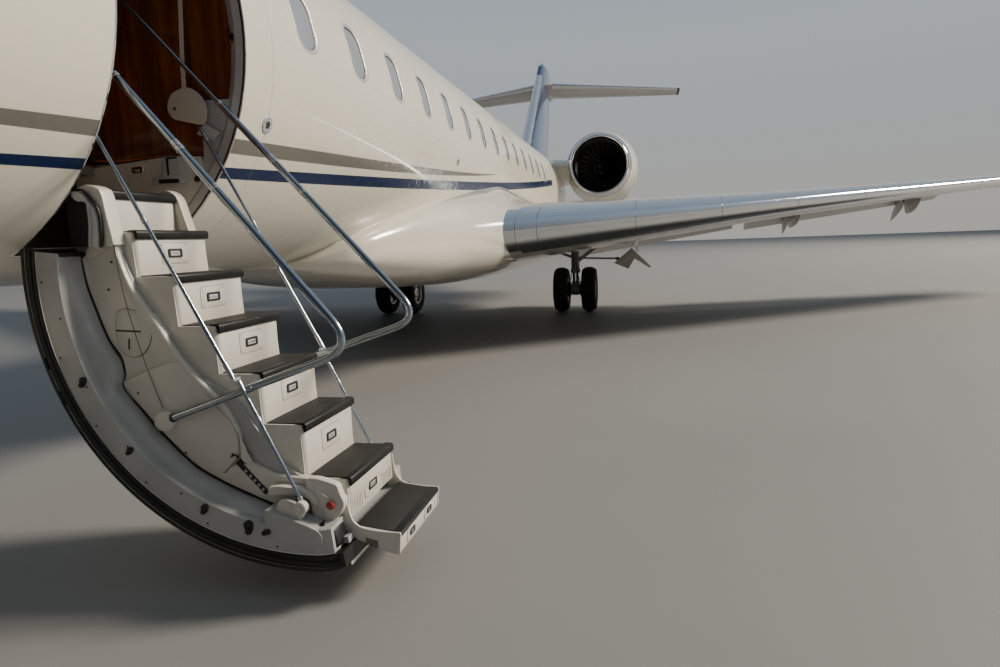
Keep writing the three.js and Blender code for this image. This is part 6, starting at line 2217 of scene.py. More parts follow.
@dataclass
class Wing:
    """One wing with its slat, flaps, aileron, winglet and track fairings."""

    side: Side
    foil: Foil = Foil(((1.2, 10.87, 18.75, 0.118, 1.6872), (5.6, 14.17, 18.6, 0.11166, 2.048),
        (13.7, 20.245, 21.35, 0.1, 2.7122)))
    slat: tuple[float, float, float] = (1.75, 13.25, 0.085)         # inner and outer end, share of the chord
    inboard: tuple[float, float, float] = (1.76, 5.52, 0.8)         # the same of the flaps and the aileron
    outboard: tuple[float, float, float] = (5.62, 10.3, 0.74)
    ailerons: tuple[float, float, float] = (10.38, 13.35, 0.76)
    tracks: tuple[float, ...] = (3.3, 6.6, 9.3)
    drops: Flat = (0.27, 0.2)       # how far under the wing each flap's pivot line lies
    droop: float = 24.0
    clear: float = 0.004

    @property
    def tag(self) -> str:
        """The side's name."""
        return self.side.tag

    def build(self) -> None:
        """Build the wing."""
        self.body()
        self.leading_edge()
        self.flaps()
        self.aileron()
        self.track_fairings()
        self.extras()

    def body(self) -> None:
        """The fixed wing with its tip."""
        marks = (self.slat[0], self.inboard[1], *self.outboard[:2], self.ailerons[0], self.slat[1],
            self.ailerons[1])
        backs = (self.inboard[2], 1.0, self.outboard[2], 1.0, self.ailerons[2], self.ailerons[2])
        parts = self.foil.zone(self.foil.rows[0][0], marks[0], 0.0, 1.0, self.side)
        for v0, v1, back in zip(marks, marks[1:], backs):
            front = 0.0 if v0 == self.slat[1] else self.slat[2]
            parts.add(self.foil.zone(v0, v1, front, back, self.side, ends=(0.0, self.clear)))
        Piece(f"wing_skin_{self.tag}", Look.WING).make(parts, [f"wing_{self.tag}"])
        self.tip()

    def tip(self) -> None:
        """The wing's tip and its raked winglet."""
        marks = (0.0, 0.22, 0.52, 1.0)
        curves = [Spline(marks, values) for values in ((19.9825, 20.245, 20.75, 21.56),
            (21.231, 21.35, 21.62, 22.13), (13.35, 13.7, 14.01, 14.325), (0.0, 0.0287, 0.32, 1.33),
            (4.7, 8.0, 55.0, 75.0))]
        base = self.foil.at(13.35)[3]
        rings = []
        for k in spread(0.0, 1.0, 0.04):
            le, te, y, lift, tilt = (float(curve(k)) for curve in curves)
            z, tilt, thick = base + lift, math.radians(tilt), 0.1 - 0.02 * k
            upper = [(x, foil_half(x, thick))
                for x in (1, 0.8, 0.6, 0.4, 0.25, 0.14, 0.07, 0.03, 0.01, 0.002)]
            ring = [*upper, *((x, -t) for x, t in reversed(upper))]
            rings.append([(x_at(le + x * (te - le)),
                self.side.value * (y - t * (te - le) * math.sin(tilt)), z + t * (te - le) * math.cos(tilt))
                for x, t in ring])
        Piece(f"winglet_{self.tag}", Look.WING).make(loft(rings))

    def leading_edge(self) -> None:
        """The polished slat, in its butt-jointed lengths, and the fixed edge at the root."""
        v0, v1, share = self.slat
        slat = self.foil.zone(v0 + self.clear, v1 - self.clear, 0.0, share - 0.0002, self.side,
            ends=(0, 0.0005))
        Piece(f"slat_skin_{self.tag}", Look.EDGE, f"slat_{self.tag}").make(slat, [f"slat_{self.tag}"])
        root = self.foil.zone(1.4, v0 - 0.001, 0.0, 0.06, self.side, grow=0.0012)
        Piece(f"root_edge_{self.tag}", Look.EDGE).make(root)

    def axis(self, v0: float, v1: float, share: float, drop: float) -> tuple[Point, Point]:
        """A flap's pivot line."""
        ends = []
        for v in (v0, v1):
            le, te, _, lift = self.foil.at(v)
            ends.append((x_at(le + (te - le) * share + 0.12), self.side.value * v, lift - drop))
        return ends[0], ends[1]

    def flaps(self) -> None:
        """The two drooped flaps with their track tails."""
        gap = 0.06
        for part, size, drop, tracks in (("inboard", self.inboard, self.drops[0], self.tracks[:1]),
                ("outboard", self.outboard, self.drops[1], self.tracks[1:])):
            v0, v1, share = size
            body = f"flap_{part}_{self.tag}"
            a, b = self.axis(v0, v1, share, drop)
            flap = self.foil.zone(v0 + gap * 1.6, v1 - gap, share, 1.0, self.side, "round",
                (self.clear, 0.0))
            turn = -self.side.value * self.droop
            Piece(body + "_skin", Look.FLAP, body).make(turned(flap, a, b, turn), [body])
            tails = gathered(self.track_tail(v, share) for v in tracks)
            Piece(body + "_tails", Look.FLAP, body).make(turned(tails, a, b, turn))
            self.clevises(body, v0, v1, a, b, tracks)

    def track_tail(self, v: float, share: float) -> Shape:
        """The pointed tail of a track fairing that hangs on the flap."""
        le, te, _, lift = self.foil.at(v)
        start = le + (te - le) * share + 0.16
        rings = []
        for k, wide, high, low in ((0.0, 0.052, -0.02, 0.215), (0.18, 0.062, -0.02, 0.245),
                (0.42, 0.056, -0.03, 0.25), (0.66, 0.042, -0.06, 0.235), (0.86, 0.022, -0.12, 0.215),
                (1.0, 0.004, -0.19, 0.2)):
            s = start + 1.15 * k
            middle, reach = lift + (high - low) / 2, (low + high) / 2
            rings.append([(x_at(s), self.side.value * (v + wide * math.cos(a)), middle + reach * math.sin(a))
                for a in around(20)])
        return loft(rings)

    def clevises(self, body: str, v0: float, v1: float, a: Point, b: Point, tracks: Sequence[float]) -> None:
        """The plates and pins that a flap swings on."""
        plates, pins = Shape(), Shape()
        for v in tracks:
            pivot = Vector(a).lerp(Vector(b), (v - v0) / (v1 - v0))
            along = (Vector(b) - Vector(a)).normalized()
            s, z = NOSE_X - pivot.x, pivot.z
            outline = rounded([(s - 0.03, z - 0.022), (s - 0.03, z + 0.03), (s + 0.04, z + 0.19),
                (s + 0.26, z + 0.02), (s + 0.03, z - 0.022)], 0.02, 3)
            for y in (-0.052, 0.052):
                plates.add(side_slab(outline, self.side.value * v + y - 0.007,
                    self.side.value * v + y + 0.007))
            pins.add(rod(tuple(pivot - along * 0.074), tuple(pivot + along * 0.074), 0.015, 14))
        Piece(body + "_clevises", Look.STEEL, body, bevel=0.002).make(plates)
        Piece(body + "_pins", Look.CHROME, body).make(pins)

    def aileron(self) -> None:
        """The aileron with its wicks."""
        body = f"aileron_{self.tag}"
        v0, v1, share = self.ailerons
        gap = 0.028
        skin = self.foil.zone(v0 + gap, v1 - gap, share, 1.0, self.side, "pin", (self.clear, 0.0))
        Piece(body + "_skin", Look.FLAP, body).make(skin, [body])
        wicks = Shape()
        for v in spread(11.0, 13.1, 0.42):
            a = Vector(self.foil.point(v, 1.0, 0.0, self.side))
            wicks.add(rod(tuple(a + Vector((0.02, 0, 0))), tuple(a - Vector((0.14, 0, 0))), 0.0022, 6))
        Piece(body + "_wicks", Look.BLACK, body).make(wicks)

    def track_fairings(self) -> None:
        """The fixed canoe fairings over the flap tracks, open at their ends, with the tracks inside."""
        fairings, tongues, mouth_shades = Shape(), Shape(), Shape()
        arch = ((-1, 0), (-1, 0.45), (-0.92, 0.72), (-0.68, 0.9), (-0.32, 0.98), (0, 1), (0.32, 0.98),
            (0.68, 0.9), (0.92, 0.72), (1, 0.45), (1, 0))
        for v in self.tracks:
            le, te, _, lift = self.foil.at(v)
            near = v < self.inboard[1]
            share = self.inboard[2] if near else self.outboard[2]
            start, end = le + (te - le) * 0.46, le + (te - le) * 0.74 - 0.06
            rings = []
            for k, wide, low in ((0.0, 0.004, 0.16), (0.1, 0.03, 0.24), (0.28, 0.058, 0.33),
                    (0.5, 0.074, 0.42), (0.75, 0.077, 0.47), (1.0, 0.075, 0.49)):
                s = start + (end - start) * k
                top = lift - 0.05
                rings.append([(x_at(s), self.side.value * (v + w * wide), top - (low - 0.05) * h)
                    for w, h in arch])
            fairings.add(loft(rings))
            # Painted shade: black caps set just inside each fairing's open end stand in for the shade inside
            # it.
            last = rings[-1]
            middle = Vector((last[0][0], self.side.value * v, lift - 0.26))
            mouth_shades.add(loft(
                [[tuple(middle + (Vector(p) - middle) * k - Vector((0.002 * n, 0, 0))) for p in last]
                for n, k in ((1, 0.86), (2, 0.84))]))
            pivot_s, z = le + (te - le) * share + 0.12, lift - self.drops[0 if near else 1]
            outline = [(end - 0.1, z + 0.08), (pivot_s, z + 0.03), (pivot_s + 0.028, z), (pivot_s, z - 0.03),
                (end - 0.1, z - 0.09)]
            y = self.side.value * v
            tongues.add(side_slab(rounded(outline, 0.02, 3), y - 0.03, y + 0.03))
        Piece(f"track_fairings_{self.tag}", Look.WING).make(fairings)
        Piece(f"track_mouths_{self.tag}", Look.BLACK).make(mouth_shades)
        Piece(f"track_arms_{self.tag}", Look.DARK_METAL, bevel=0.004).make(tongues)

    def extras(self) -> None:
        """The tip lamp and the tanks' covers."""
        y = self.side.value
        lamp = [(20.02, 0.0), (20.1, 0.05), (20.22, 0.07), (20.3, 0.06), (20.32, 0.0), (20.22, -0.02),
            (20.1, -0.02)]
        z = self.foil.at(13.3)[3]
        shape = side_slab([(s, z + t) for s, t in lamp], y * 13.34, y * 13.4)
        Piece(f"tip_lamp_{self.tag}", Look.GLASS, bevel=0.008).make(shape)
        covers = Shape()
        for v in (3.1, 4.9, 6.9, 8.9, 10.9):
            le, te, thick, lift = self.foil.at(v)
            half = (te - le) * foil_half(0.33, thick)
            covers.add(lathe([(-0.004, 0.0), (-0.004, 0.11), (0.002, 0.11), (0.003, 0.1), (0.003, 0.0)],
                (x_at(le + 0.33 * (te - le)), y * v, lift - half), "Z", 28).moved(lambda p,
                m=lift - half: (p[0], p[1], 2 * m - p[2])))
        Piece(f"tank_covers_{self.tag}", Look.FLAP).make(covers)


@dataclass
class Tail:
    """Fin, rudder, stabiliser and elevators."""

    fin: Foil = Foil(((3.3, 21.276, 27.047, 0.1, 0.0), (7.56, 26.34, 29.0, 0.105, 0.0),
        (7.77, 26.84, 29.1, 0.07, 0.0)), upright=True)
    stab: Foil = Foil(((0.0, 26.6, 29.15, 0.1, 6.98), (4.845, 29.1, 30.3, 0.08, 6.98)))
    hinge: float = 0.7         # share of the chord ahead of the rudder and the elevators
    clear: float = 0.004
    foot: float = 4.05          # heights of the rudder's ends
    head: float = 6.76
    elevators: Flat = (0.33, 4.7)       # their inner and outer ends
    cap: float = 4.76           # where the stabiliser's tip starts

    def build(self) -> None:
        """Build the tail."""
        self.fin_body()
        self.rudder()
        self.tailplane()
        self.trims()

    def fin_body(self) -> None:
        """The fin, its crown and its root fillet."""
        f, c = self.fin, self.clear
        root, (top, front, back, thick, _) = f.rows[0][0], f.rows[1]
        body = f.zone(root, self.foot - c, 0.0, 1.0)
        body.add(f.zone(self.foot - c, self.head + c, 0.0, self.hinge, ends=(0.0, c)))
        body.add(f.zone(self.head + c, top, 0.0, 1.0))
        Piece("fin_skin", Look.FIN).make(body, ["fin"])
        shares = (0.0, 0.008, 0.03, 0.07, 0.14, 0.25, 0.4, 0.6, 0.8, 1.0)
        rings = []
        for k in (0.0, 0.35, 0.65, 0.86, 0.97, 1.0):
            squeeze = math.sqrt(max(1 - k * k, 0.0)) * 0.94 + 0.03
            le, te = front + 0.5 * k, back + 0.1 * k
            half = [(x_at(le + x * (te - le)), (te - le) * foil_half(x, thick) * squeeze) for x in shares]
            rings.append(
                [(x, t, top + 0.205 * k) for x, t in [*reversed(half), *((x, -t) for x, t in half[1:])]])
        Piece("fin_crown", Look.FIN).make(loft(rings))

    def rudder(self) -> None:
        """The rudder, with ends that clear the fin as it swings."""
        room, slope, head_room = 0.044, 0.18, 0.22
        low, high = self.foot + room, self.head - room
        blade = self.fin.zone(low - 0.25, high, self.hinge, 1.0, nose="pin", ends=(self.clear, 0.0))

        def level(v: float) -> float:
            """The station of the hinge line at a height."""
            le, te, _, _ = self.fin.at(v)
            return le + (te - le) * self.hinge

        last = 31.0
        keep = [(level(low - 0.3) - 0.4, low + 0.02), (level(low) + self.clear, low), (last, low - slope),
            (last, high - slope - head_room), (level(high) + self.clear, high), (level(high) - 1.2, high)]
        mesh = carve(blade, side_slab(keep, -0.6, 0.6), "INTERSECT")
        Piece("rudder_skin", Look.RUDDER, "rudder").wear(mesh, ["rudder"])

    def tailplane(self) -> None:
        """The stabiliser with its polished edge and dark tips, and both elevators."""
        f, c, gap = self.stab, self.clear, 0.028
        (inner, outer), cap = self.elevators, self.cap
        for side in Side:
            body = f.zone(0.0, inner, 0.0, 1.0, side)
            body.add(f.zone(inner, outer, 0.0, self.hinge, side, ends=(0.0, c)))
            body.add(f.zone(outer, cap, 0.0, 1.0, side))
            Piece(f"stabiliser_{side.tag}", Look.TAILPLANE).make(body, ["stabiliser"] if side is Side.LEFT
                else ())
            tip = f.zone(cap, f.rows[-1][0], 0.0, 1.0, side, grow=0.004)
            Piece(f"stabiliser_tip_{side.tag}", Look.BLACK, bevel=0.006).make(tip)
            edge = f.zone(0.34, 4.75, 0.0, 0.075, side, grow=0.0015)
            Piece(f"stabiliser_edge_{side.tag}", Look.EDGE).make(edge)
            blade = f.zone(inner + gap, outer - gap, self.hinge, 1.0, side, "pin", (c, 0.0))
            name = f"elevator_{side.tag}"
            Piece(name + "_skin", Look.FLAP, name).make(blade, [name])
            wicks = Shape()
            for v in spread(1.4, 4.5, 0.62):
                a = Vector(f.point(v, 1.0, 0.0, side))
                wicks.add(rod(tuple(a + Vector((0.02, 0, 0))), tuple(a - Vector((0.11, 0, 0))), 0.002, 6))
            Piece(name + "_wicks", Look.BLACK, name).make(wicks)

    def trims(self) -> None:
        """The bullet between fin and stabiliser."""
        level = self.stab.rows[0][4]
        bullet = []
        for s, w, up, down in ((26.48, 0.012, 0.02, 0.02), (26.6, 0.06, 0.09, 0.09), (26.95, 0.115, 0.16,
                0.16), (27.6, 0.15, 0.19, 0.19), (28.4, 0.14, 0.17, 0.17), (29.1, 0.085, 0.11, 0.11),
                (29.5, 0.02, 0.03, 0.03)):
            bullet.append(
                [(x_at(s), w * math.cos(a), level + (up if math.sin(a) > 0 else down) * math.sin(a))
                for a in around(28)])
        Piece("tail_bullet", Look.TAILPLANE, crease=60).make(loft(bullet))


@dataclass
class Engine:
    """One engine: nacelle, polished lip, duct, fan, core, exhaust and pylon."""

    side: Side
    front: float = 20.24
    y: float = 2.37
    z: float = 3.47
    blades: int = 24
    hub: float = 0.7           # how far behind the mouth the blades stand
    reach: Flat = (0.155, 0.435)     # radius of a blade's root, and its length
    twist: Flat = (28, 34)           # degrees at the root, and how many more at the tip
    chord: Flat = (0.085, 0.045)     # the same of half its width
    girth: float = 1.11         # by how much the profiles' radii are widened

    @property
    def centre(self) -> Point:
        """The middle of the mouth."""
        return x_at(self.front), self.side.value * self.y, self.z

    def turned_body(self, profile: Sequence[Flat], steps: int = 72) -> Shape:
        """A body turned about the engine's axis, from (distance aft, radius) pairs."""
        return lathe([(-d, r * self.girth) for d, r in profile], self.centre, "X", steps)

    def build(self) -> None:
        """Build the engine."""
        tag = self.side.tag
        outer = Spline((0.15, 0.5, 1.3, 2.4, 3.4, 4.25), (0.742, 0.82, 0.89, 0.88, 0.78, 0.546))
        lip = [(0.17, 0.744), (0.1, 0.72), (0.055, 0.704), (0.022, 0.69), (0.006, 0.677), (0.0, 0.664),
            (0.006, 0.65), (0.022, 0.636), (0.05, 0.624), (0.1, 0.614), (0.1, 0.634), (0.17, 0.7)]
        Piece(f"nacelle_lip_{tag}", Look.LIP, crease=60).make(self.turned_body(lip))
        cowl = [(d, float(outer(d))) for d in spread(0.172, 4.25, 0.1)]
        inner = [(4.25, 0.524), (4.05, 0.566), (3.7, 0.6), (0.9, 0.6), (0.172, 0.66)]
        Piece(f"nacelle_cowl_{tag}", Look.NACELLE).make(self.turned_body(cowl + inner), [f"nacelle_{tag}"])
        duct = [(0.1, 0.6135), (0.2, 0.604), (0.3, 0.6), (0.5, 0.604), (0.79, 0.612), (0.79, 0.63),
            (0.1, 0.63)]
        Piece(f"intake_duct_{tag}", Look.DUCT).make(self.turned_body(duct))
        self.joints(tag, outer)
        self.fan(tag)
        self.core(tag)
        self.pylon(tag)

    def joints(self, tag: str, outer: Spline) -> None:
        """Cowl joints, a drain and a strake."""
        bands = Shape()
        for d in (0.172, 1.18, 2.62, 3.52):
            r = float(outer(max(d, 0.15)))
            bands.add(self.turned_body(
                [(d, r - 0.002), (d, r + 0.0008), (d + 0.006, r + 0.0008), (d + 0.006, r - 0.002)]))
        Piece(f"cowl_joints_{tag}", Look.SEAL).make(bands)
        x, y, z = self.centre
        low = z - float(outer(0.9)) * self.girth + 0.006
        drain = lathe([(-0.01, 0.0), (-0.01, 0.05), (0.004, 0.05), (0.006, 0.04), (0.0, 0.036), (0.0, 0.0)],
            (x - 0.9, y, low), "Z", 24).moved(lambda p: (p[0], p[1], 2 * low - p[2]))
        Piece(f"cowl_drain_{tag}", Look.DARK_METAL).make(drain)
        strake = []
        for d, high in ((0.9, 0.002), (1.1, 0.06), (1.5, 0.1), (1.75, 0.1), (1.8, 0.06)):
            base = float(outer(d)) * self.girth - 0.004
            a = math.radians(148)
            out = Vector((0, math.cos(a) * self.side.value, math.sin(a)))
            flat = Vector((0, -out.z, out.y))
            at = Vector((x - d, y, z))
            strake.append([tuple(at + out * base + flat * 0.006),
                tuple(at + out * (base + high) + flat * 0.003),
                tuple(at + out * (base + high) - flat * 0.003), tuple(at + out * base - flat * 0.006)])
        Piece(f"cowl_strake_{tag}", Look.NACELLE).make(loft(strake))

    def fan(self, tag: str) -> None:
        """The fan's blades and the ringed spinner."""
        body = f"fan_{tag}"
        x, y, z = self.centre
        spinner = [(0.335, 0.0), (0.345, 0.02), (0.4, 0.058), (0.46, 0.09), (0.54, 0.128), (0.62, 0.152),
            (0.7, 0.166), (0.75, 0.17), (0.75, 0.09), (0.79, 0.08), (0.79, 0.0)]
        Piece(f"spinner_{tag}", Look.DARK_METAL, body).make(self.turned_body(spinner, 40), [body])
        bolts = Shape()
        r = 0.158 * self.girth
        for a in around(20):
            bolts.add(lathe([(-0.004, 0.0), (-0.004, 0.007), (0.004, 0.006), (0.006, 0.0)],
                (x - 0.655, y + r * math.cos(a), z + r * math.sin(a)), "X", 8))
        Piece(f"spinner_bolts_{tag}", Look.STEEL, body).make(bolts)
        blades = gathered(self.blade(a) for a in around(self.blades))
        Piece(f"fan_blades_{tag}", Look.BLADE, body, crease=50).make(blades)

    def blade(self, angle: float) -> Shape:
        """One twisted blade."""
        x, y, z = self.centre
        rings = []
        (root, tip), (twist, more), (chord_root, chord_more) = self.reach, self.twist, self.chord
        for k in spread(0.0, 1.0, 0.2):
            r = (root + tip * k) * self.girth
            pitch = math.radians(twist + more * k)
            chord = chord_root + chord_more * k
            ring = []
            for u, t in ((-1, 0.0), (-0.6, 0.1), (0.0, 0.13), (0.6, 0.08), (1, 0.0), (0.6, -0.02),
                    (0.0, 0.02), (-0.6, 0.02)):
                back = chord * u * math.cos(pitch) - chord * t * math.sin(pitch)
                round_ = chord * u * math.sin(pitch) + chord * t * math.cos(pitch)
                a = angle + round_ / r
                ring.append((x - self.hub - back * 0.55, y + r * math.cos(a), z + r * math.sin(a)))
            rings.append(ring)
        return loft(rings)

    def core(self, tag: str) -> None:
        """A black disc behind the fan that stands in as painted shade for the engine's dark inside, and the
        exhaust with its cone.
        """
        stop = [(0.8, 0.0), (0.8, 0.611), (0.82, 0.612), (0.82, 0.0)]
        Piece(f"fan_backing_{tag}", Look.BLACK).make(self.turned_body(stop, 48), [f"engine_{tag}"])
        pipe = [(3.9, 0.0), (3.9, 0.4), (4.1, 0.385), (4.35, 0.345), (4.36, 0.33), (4.12, 0.33), (4.12, 0.0)]
        Piece(f"exhaust_pipe_{tag}", Look.EXHAUST).make(self.turned_body(pipe, 48))
        cone = [(4.1, 0.0), (4.1, 0.2), (4.3, 0.175), (4.55, 0.09), (4.66, 0.03), (4.67, 0.0)]
        Piece(f"exhaust_cone_{tag}", Look.EXHAUST).make(self.turned_body(cone, 40))
        fill = [(3.2, 0.0), (3.2, 0.59), (3.9, 0.575), (3.9, 0.0)]
        Piece(f"core_end_{tag}", Look.DARK_METAL).make(self.turned_body(fill, 40))

    def pylon(self, tag: str) -> None:
        """The pylon that carries the engine."""
        foil = Foil(((0.8, 20.5, 24.4, 0.19, self.z - 0.03), (1.3, 20.6, 24.3, 0.18, self.z - 0.03),
            (1.75, 20.7, 24.2, 0.17, self.z - 0.03)))
        arm = foil.zone(0.8, 1.75, 0.0, 1.0, self.side)
        Piece(f"pylon_skin_{tag}", Look.NACELLE).make(arm, [f"pylon_{tag}"])


@dataclass
class Gear:
    """The landing gear: nose leg and both main legs, with their wheels, brakes, links and doors."""

    main: Flat = (16.85, 2.03)       # station of the main legs, and how far out they stand
    nose: float = 4.07
    main_wheel: tuple[float, float, float] = (0.4825, 0.31, 0.25)       # tyre's radius and width, rim's
    nose_wheel: tuple[float, float, float] = (0.2665, 0.184, 0.13)

    def build(self) -> None:
        """Build all the gear."""
        for side in Side:
            self.main_leg(side)
        self.nose_leg()

    @staticmethod
    def wheel(s: float, y: float, radius: float, width: float, rim: float, out: int) -> tuple[Shape, Shape,
            Shape]:
        """One wheel.

        Args:
            s: its station.
            y: its middle across.
            radius: of the tyre.
            width: of the tyre.
            rim: radius of the rim.
            out: 1 where its outer face looks to port.

        Returns:
            The tyre, the rim and the bolts.
        """
        w = width / 2
        at = (x_at(s), y, radius)
        crown = []
        for k in (-0.56, -0.34, -0.11, 0.11, 0.34, 0.56):
            top = radius - 0.012 * abs(k) - (0.012 if abs(k) > 0.5 else 0.0)
            crown += [(w * (k - 0.1), top), (w * (k + 0.06), top), (w * (k + 0.065), top - 0.009),
                (w * (k + 0.115), top - 0.009)]
        bulge = ((0.97, 0.32), (1.0, 0.52), (0.97, 0.72))
        wall = [(w * 0.72, rim + 0.004), (w * 0.86, rim + 0.02),
            *((w * k, rim + (radius - rim) * t) for k, t in bulge), (w * 0.88, radius - 0.045)]
        tyre = [*((-d, r) for d, r in wall), *crown, *reversed(wall)]
        rim_profile = [(-w * 0.5, 0.03), (-w * 0.5, rim * 0.9), (-w * 0.78, rim * 0.94),
            (-w * 0.8, rim + 0.006), (w * 0.8, rim + 0.006), (w * 0.78, rim * 0.94), (w * 0.4, rim * 0.88),
            (w * 0.28, rim * 0.62), (w * 0.34, rim * 0.5), (w * 0.6, rim * 0.4), (w * 0.64, rim * 0.3),
            (w * 0.64, 0.03)]
        rim_profile = [(d * out, r) for d, r in rim_profile]
        bolts = Shape()
        for a in around(10):
            spot = (at[0] + rim * 0.72 * math.cos(a), y + out * w * 0.3, radius + rim * 0.72 * math.sin(a))
            bolts.add(lathe([(-0.01, 0.0), (-0.01, 0.012), (0.014, 0.012), (0.016, 0.0)], spot, "Y", 6))
        return lathe(tyre, at, "Y", 72), lathe(rim_profile, at, "Y", 48), bolts

    def wheels(self, name: str, body: str, s: float, middle: float, spacing: float,
            sizes: tuple[float, float, float]) -> None:
        """A pair of wheels on one axle, on the body and in place of the node of one name."""
        tyres, rims, bolts = Shape(), Shape(), Shape()
        for out in (1, -1):
            tyre, rim, heads = self.wheel(s, middle + out * spacing / 2, *sizes, out)
            tyres.add(tyre)
            rims.add(rim)
            bolts.add(heads)
        Piece(f"{name}_tyres", Look.TYRE, body).make(tyres, [body])
        rims.add(rod((x_at(s), middle - spacing / 2, sizes[0]), (x_at(s), middle + spacing / 2, sizes[0]),
            0.058, 28))
        Piece(f"{name}_rims", Look.ALLOY, body).make(rims)
        Piece(f"{name}_bolts", Look.STEEL, body).make(bolts)

    def main_leg(self, side: Side) -> None:
        """One main leg with its twin wheels."""
        s, y = self.main
        k = side.value
        tag = side.tag
        x = x_at(s)
        self.wheels(f"main_{tag}", f"main_wheels_{tag}", s, k * y, 0.6, self.main_wheel)
        axle = self.main_wheel[0]
        leg = lathe([(0.84, 0.0), (0.84, 0.088), (0.86, 0.102), (0.92, 0.102), (0.94, 0.092), (1.34, 0.09),
            (1.36, 0.104), (1.52, 0.104), (1.54, 0.0)], (x, k * y, 0), "Z", 36)
        leg.add(lathe(both_ways([(0.092, 0.066), (0.092, 0.112), (0.06, 0.128)]), (x, k * y, axle), "Y", 36))
        leg.add(rod((x, k * y, 0.58), (x, k * y, 0.66), 0.082, 28))
        leg.add(rod((x, k * y, 1.05), (x, k * (y + 0.62), 1.52), 0.038, 20))
        leg.add(rod((x, k * y, 1.16), (x + 0.05, k * (y - 0.36), 1.3), 0.03, 16))
        Piece(f"main_leg_{tag}", Look.GEAR, crease=35).make(leg, [f"main_gear_leg_{tag}"])
        Piece(f"main_piston_{tag}", Look.CHROME).make(rod((x, k * y, 0.6), (x, k * y, 0.86), 0.066, 28))
        links = Shape()
        for dy in (-0.045, 0.045):
            links.add(bar((x - 0.085, k * y + dy, 0.9), (x - 0.25, k * y + dy * 0.4, 0.745), 0.024, 0.052))
            links.add(bar((x - 0.25, k * y + dy * 0.4, 0.745), (x - 0.085, k * y + dy, 0.6), 0.024, 0.048))
        links.add(rod((x - 0.25, k * y - 0.05, 0.745), (x - 0.25, k * y + 0.05, 0.745), 0.018, 14))
        for z in (0.9, 0.6):
            links.add(rod((x - 0.085, k * y - 0.07, z), (x - 0.085, k * y + 0.07, z), 0.02, 14))
        Piece(f"main_torque_links_{tag}", Look.GEAR, bevel=0.003).make(links)
        drum = both_ways([(0.034, 0.066), (0.034, 0.15), (0.022, 0.17)])
        brakes = gathered(lathe(drum, (x, k * y + out * 0.135, axle), "Y", 32) for out in (-1, 1))
        Piece(f"main_brakes_{tag}", Look.DARK_METAL).make(brakes)
        hoses = Shape()
        for dy in (-0.03, 0.03):
            path = smooth_path([(x + 0.1, k * y + dy, 1.3), (x + 0.125, k * y + dy, 1.0),
                (x + 0.2, k * y + dy * 2.2, 0.82), (x + 0.1, k * y + dy * 4.0, 0.6),
                (x + 0.02, k * y + dy * 4.2, 0.56)], 0.08)
            hoses.add(tube(path, 0.008, 10, (0, 1, 0)))
        Piece(f"main_hoses_{tag}", Look.BLACK).make(hoses)
        self.main_door(side)

    def main_door(self, side: Side) -> None:
        """The bent door plate that hangs outboard of a main leg on its link."""
        s, y = self.main
        k, tag, x = side.value, side.tag, x_at(s)
        outline = [(3.18, 0.92), (2.88, 1.05), (3.24, 1.34), (3.64, 0.95), (3.6, 0.935), (3.3, 1.13)]
        door = sheet([(k * a, b) for a, b in outline], s + 0.5, s - 0.5)
        Piece(f"main_door_{tag}", Look.FAIRING, bevel=0.006).make(door, [f"main_gear_door_{tag}"])
        link = rod((x - 0.06, k * y, 1.16), (x - 0.06, k * 3.04, 1.12), 0.02, 16)
        for a in (y + 0.1, 2.93):
            link.add(lathe(both_ways([(0.03, 0.0), (0.03, 0.034)]),
                (x - 0.06, k * a, 1.155 if a < 2.5 else 1.125), "Y", 18))
        Piece(f"main_door_link_{tag}", Look.GEAR).make(link)

    def nose_leg(self) -> None:
        """The steered nose leg with twin wheels, lamps and doors."""
        s = self.nose
        x = x_at(s)
        self.wheels("nose", "nose_wheels", s, 0.0, 0.38, self.nose_wheel)
        knuckle = both_ways([(0.073, 0.066), (0.073, 0.095), (0.05, 0.108)])
        fork = lathe(knuckle, (x, 0, self.nose_wheel[0]), "Y", 32)
        fork.add(rod((x, 0, 0.36), (x, 0, 0.46), 0.06, 24))
        for dy in (-0.028, 0.028):
            fork.add(bar((x - 0.055, dy, 0.42), (x - 0.16, dy * 0.5, 0.52), 0.016, 0.034))
        Piece("nose_fork", Look.GEAR, "nose_steering").make(fork, ["nose_gear_steering"])
        Piece("nose_piston", Look.CHROME, "nose_steering").make(rod((x, 0, 0.42), (x, 0, 0.8), 0.047, 24))
        leg = lathe([(0.642, 0.052), (0.642, 0.086), (0.66, 0.098), (0.7, 0.098), (0.72, 0.085),
            (1.1, 0.085), (1.12, 0.096), (1.5, 0.096), (1.5, 0.052)], (x, 0, 0), "Z", 32)
        leg.add(rod((x + 0.04, 0, 1.0), (x + 0.56, 0, 1.5), 0.038, 18))
        leg.add(lathe(both_ways([(0.06, 0.0), (0.06, 0.045)]), (x + 0.07, 0, 1.02), "Y", 20))
        Piece("nose_leg", Look.GEAR).make(leg, ["nose_gear_leg"])
        lamps, lenses = Shape(), Shape()
        for dy in (-0.12, 0.12):
            lamps.add(lathe([(0.02, 0.0),
                (0.02, 0.05), (0.08, 0.066), (0.09, 0.066), (0.09, 0.058), (0.07, 0.0)],
                (x + 0.09, dy, 0.86), "X", 24))
            lamps.add(rod((x + 0.02, 0, 0.86), (x + 0.12, dy, 0.86), 0.014, 10))
            lenses.add(lathe([(0.075, 0.0), (0.075, 0.057), (0.083, 0.057), (0.088, 0.0)],
                (x + 0.09, dy, 0.86), "X", 24))
        Piece("taxi_lamps", Look.ALLOY).make(lamps)
        Piece("taxi_lamp_glass", Look.LAMP).make(lenses)
        for side in Side:
            k = side.value
            outline = rounded([(k * 0.288, 1.52), (k * 0.306, 1.52), (k * 0.346, 1.04), (k * 0.329, 1.04)],
                0.004, 2)
            door = sheet(outline, 4.48, 3.5)
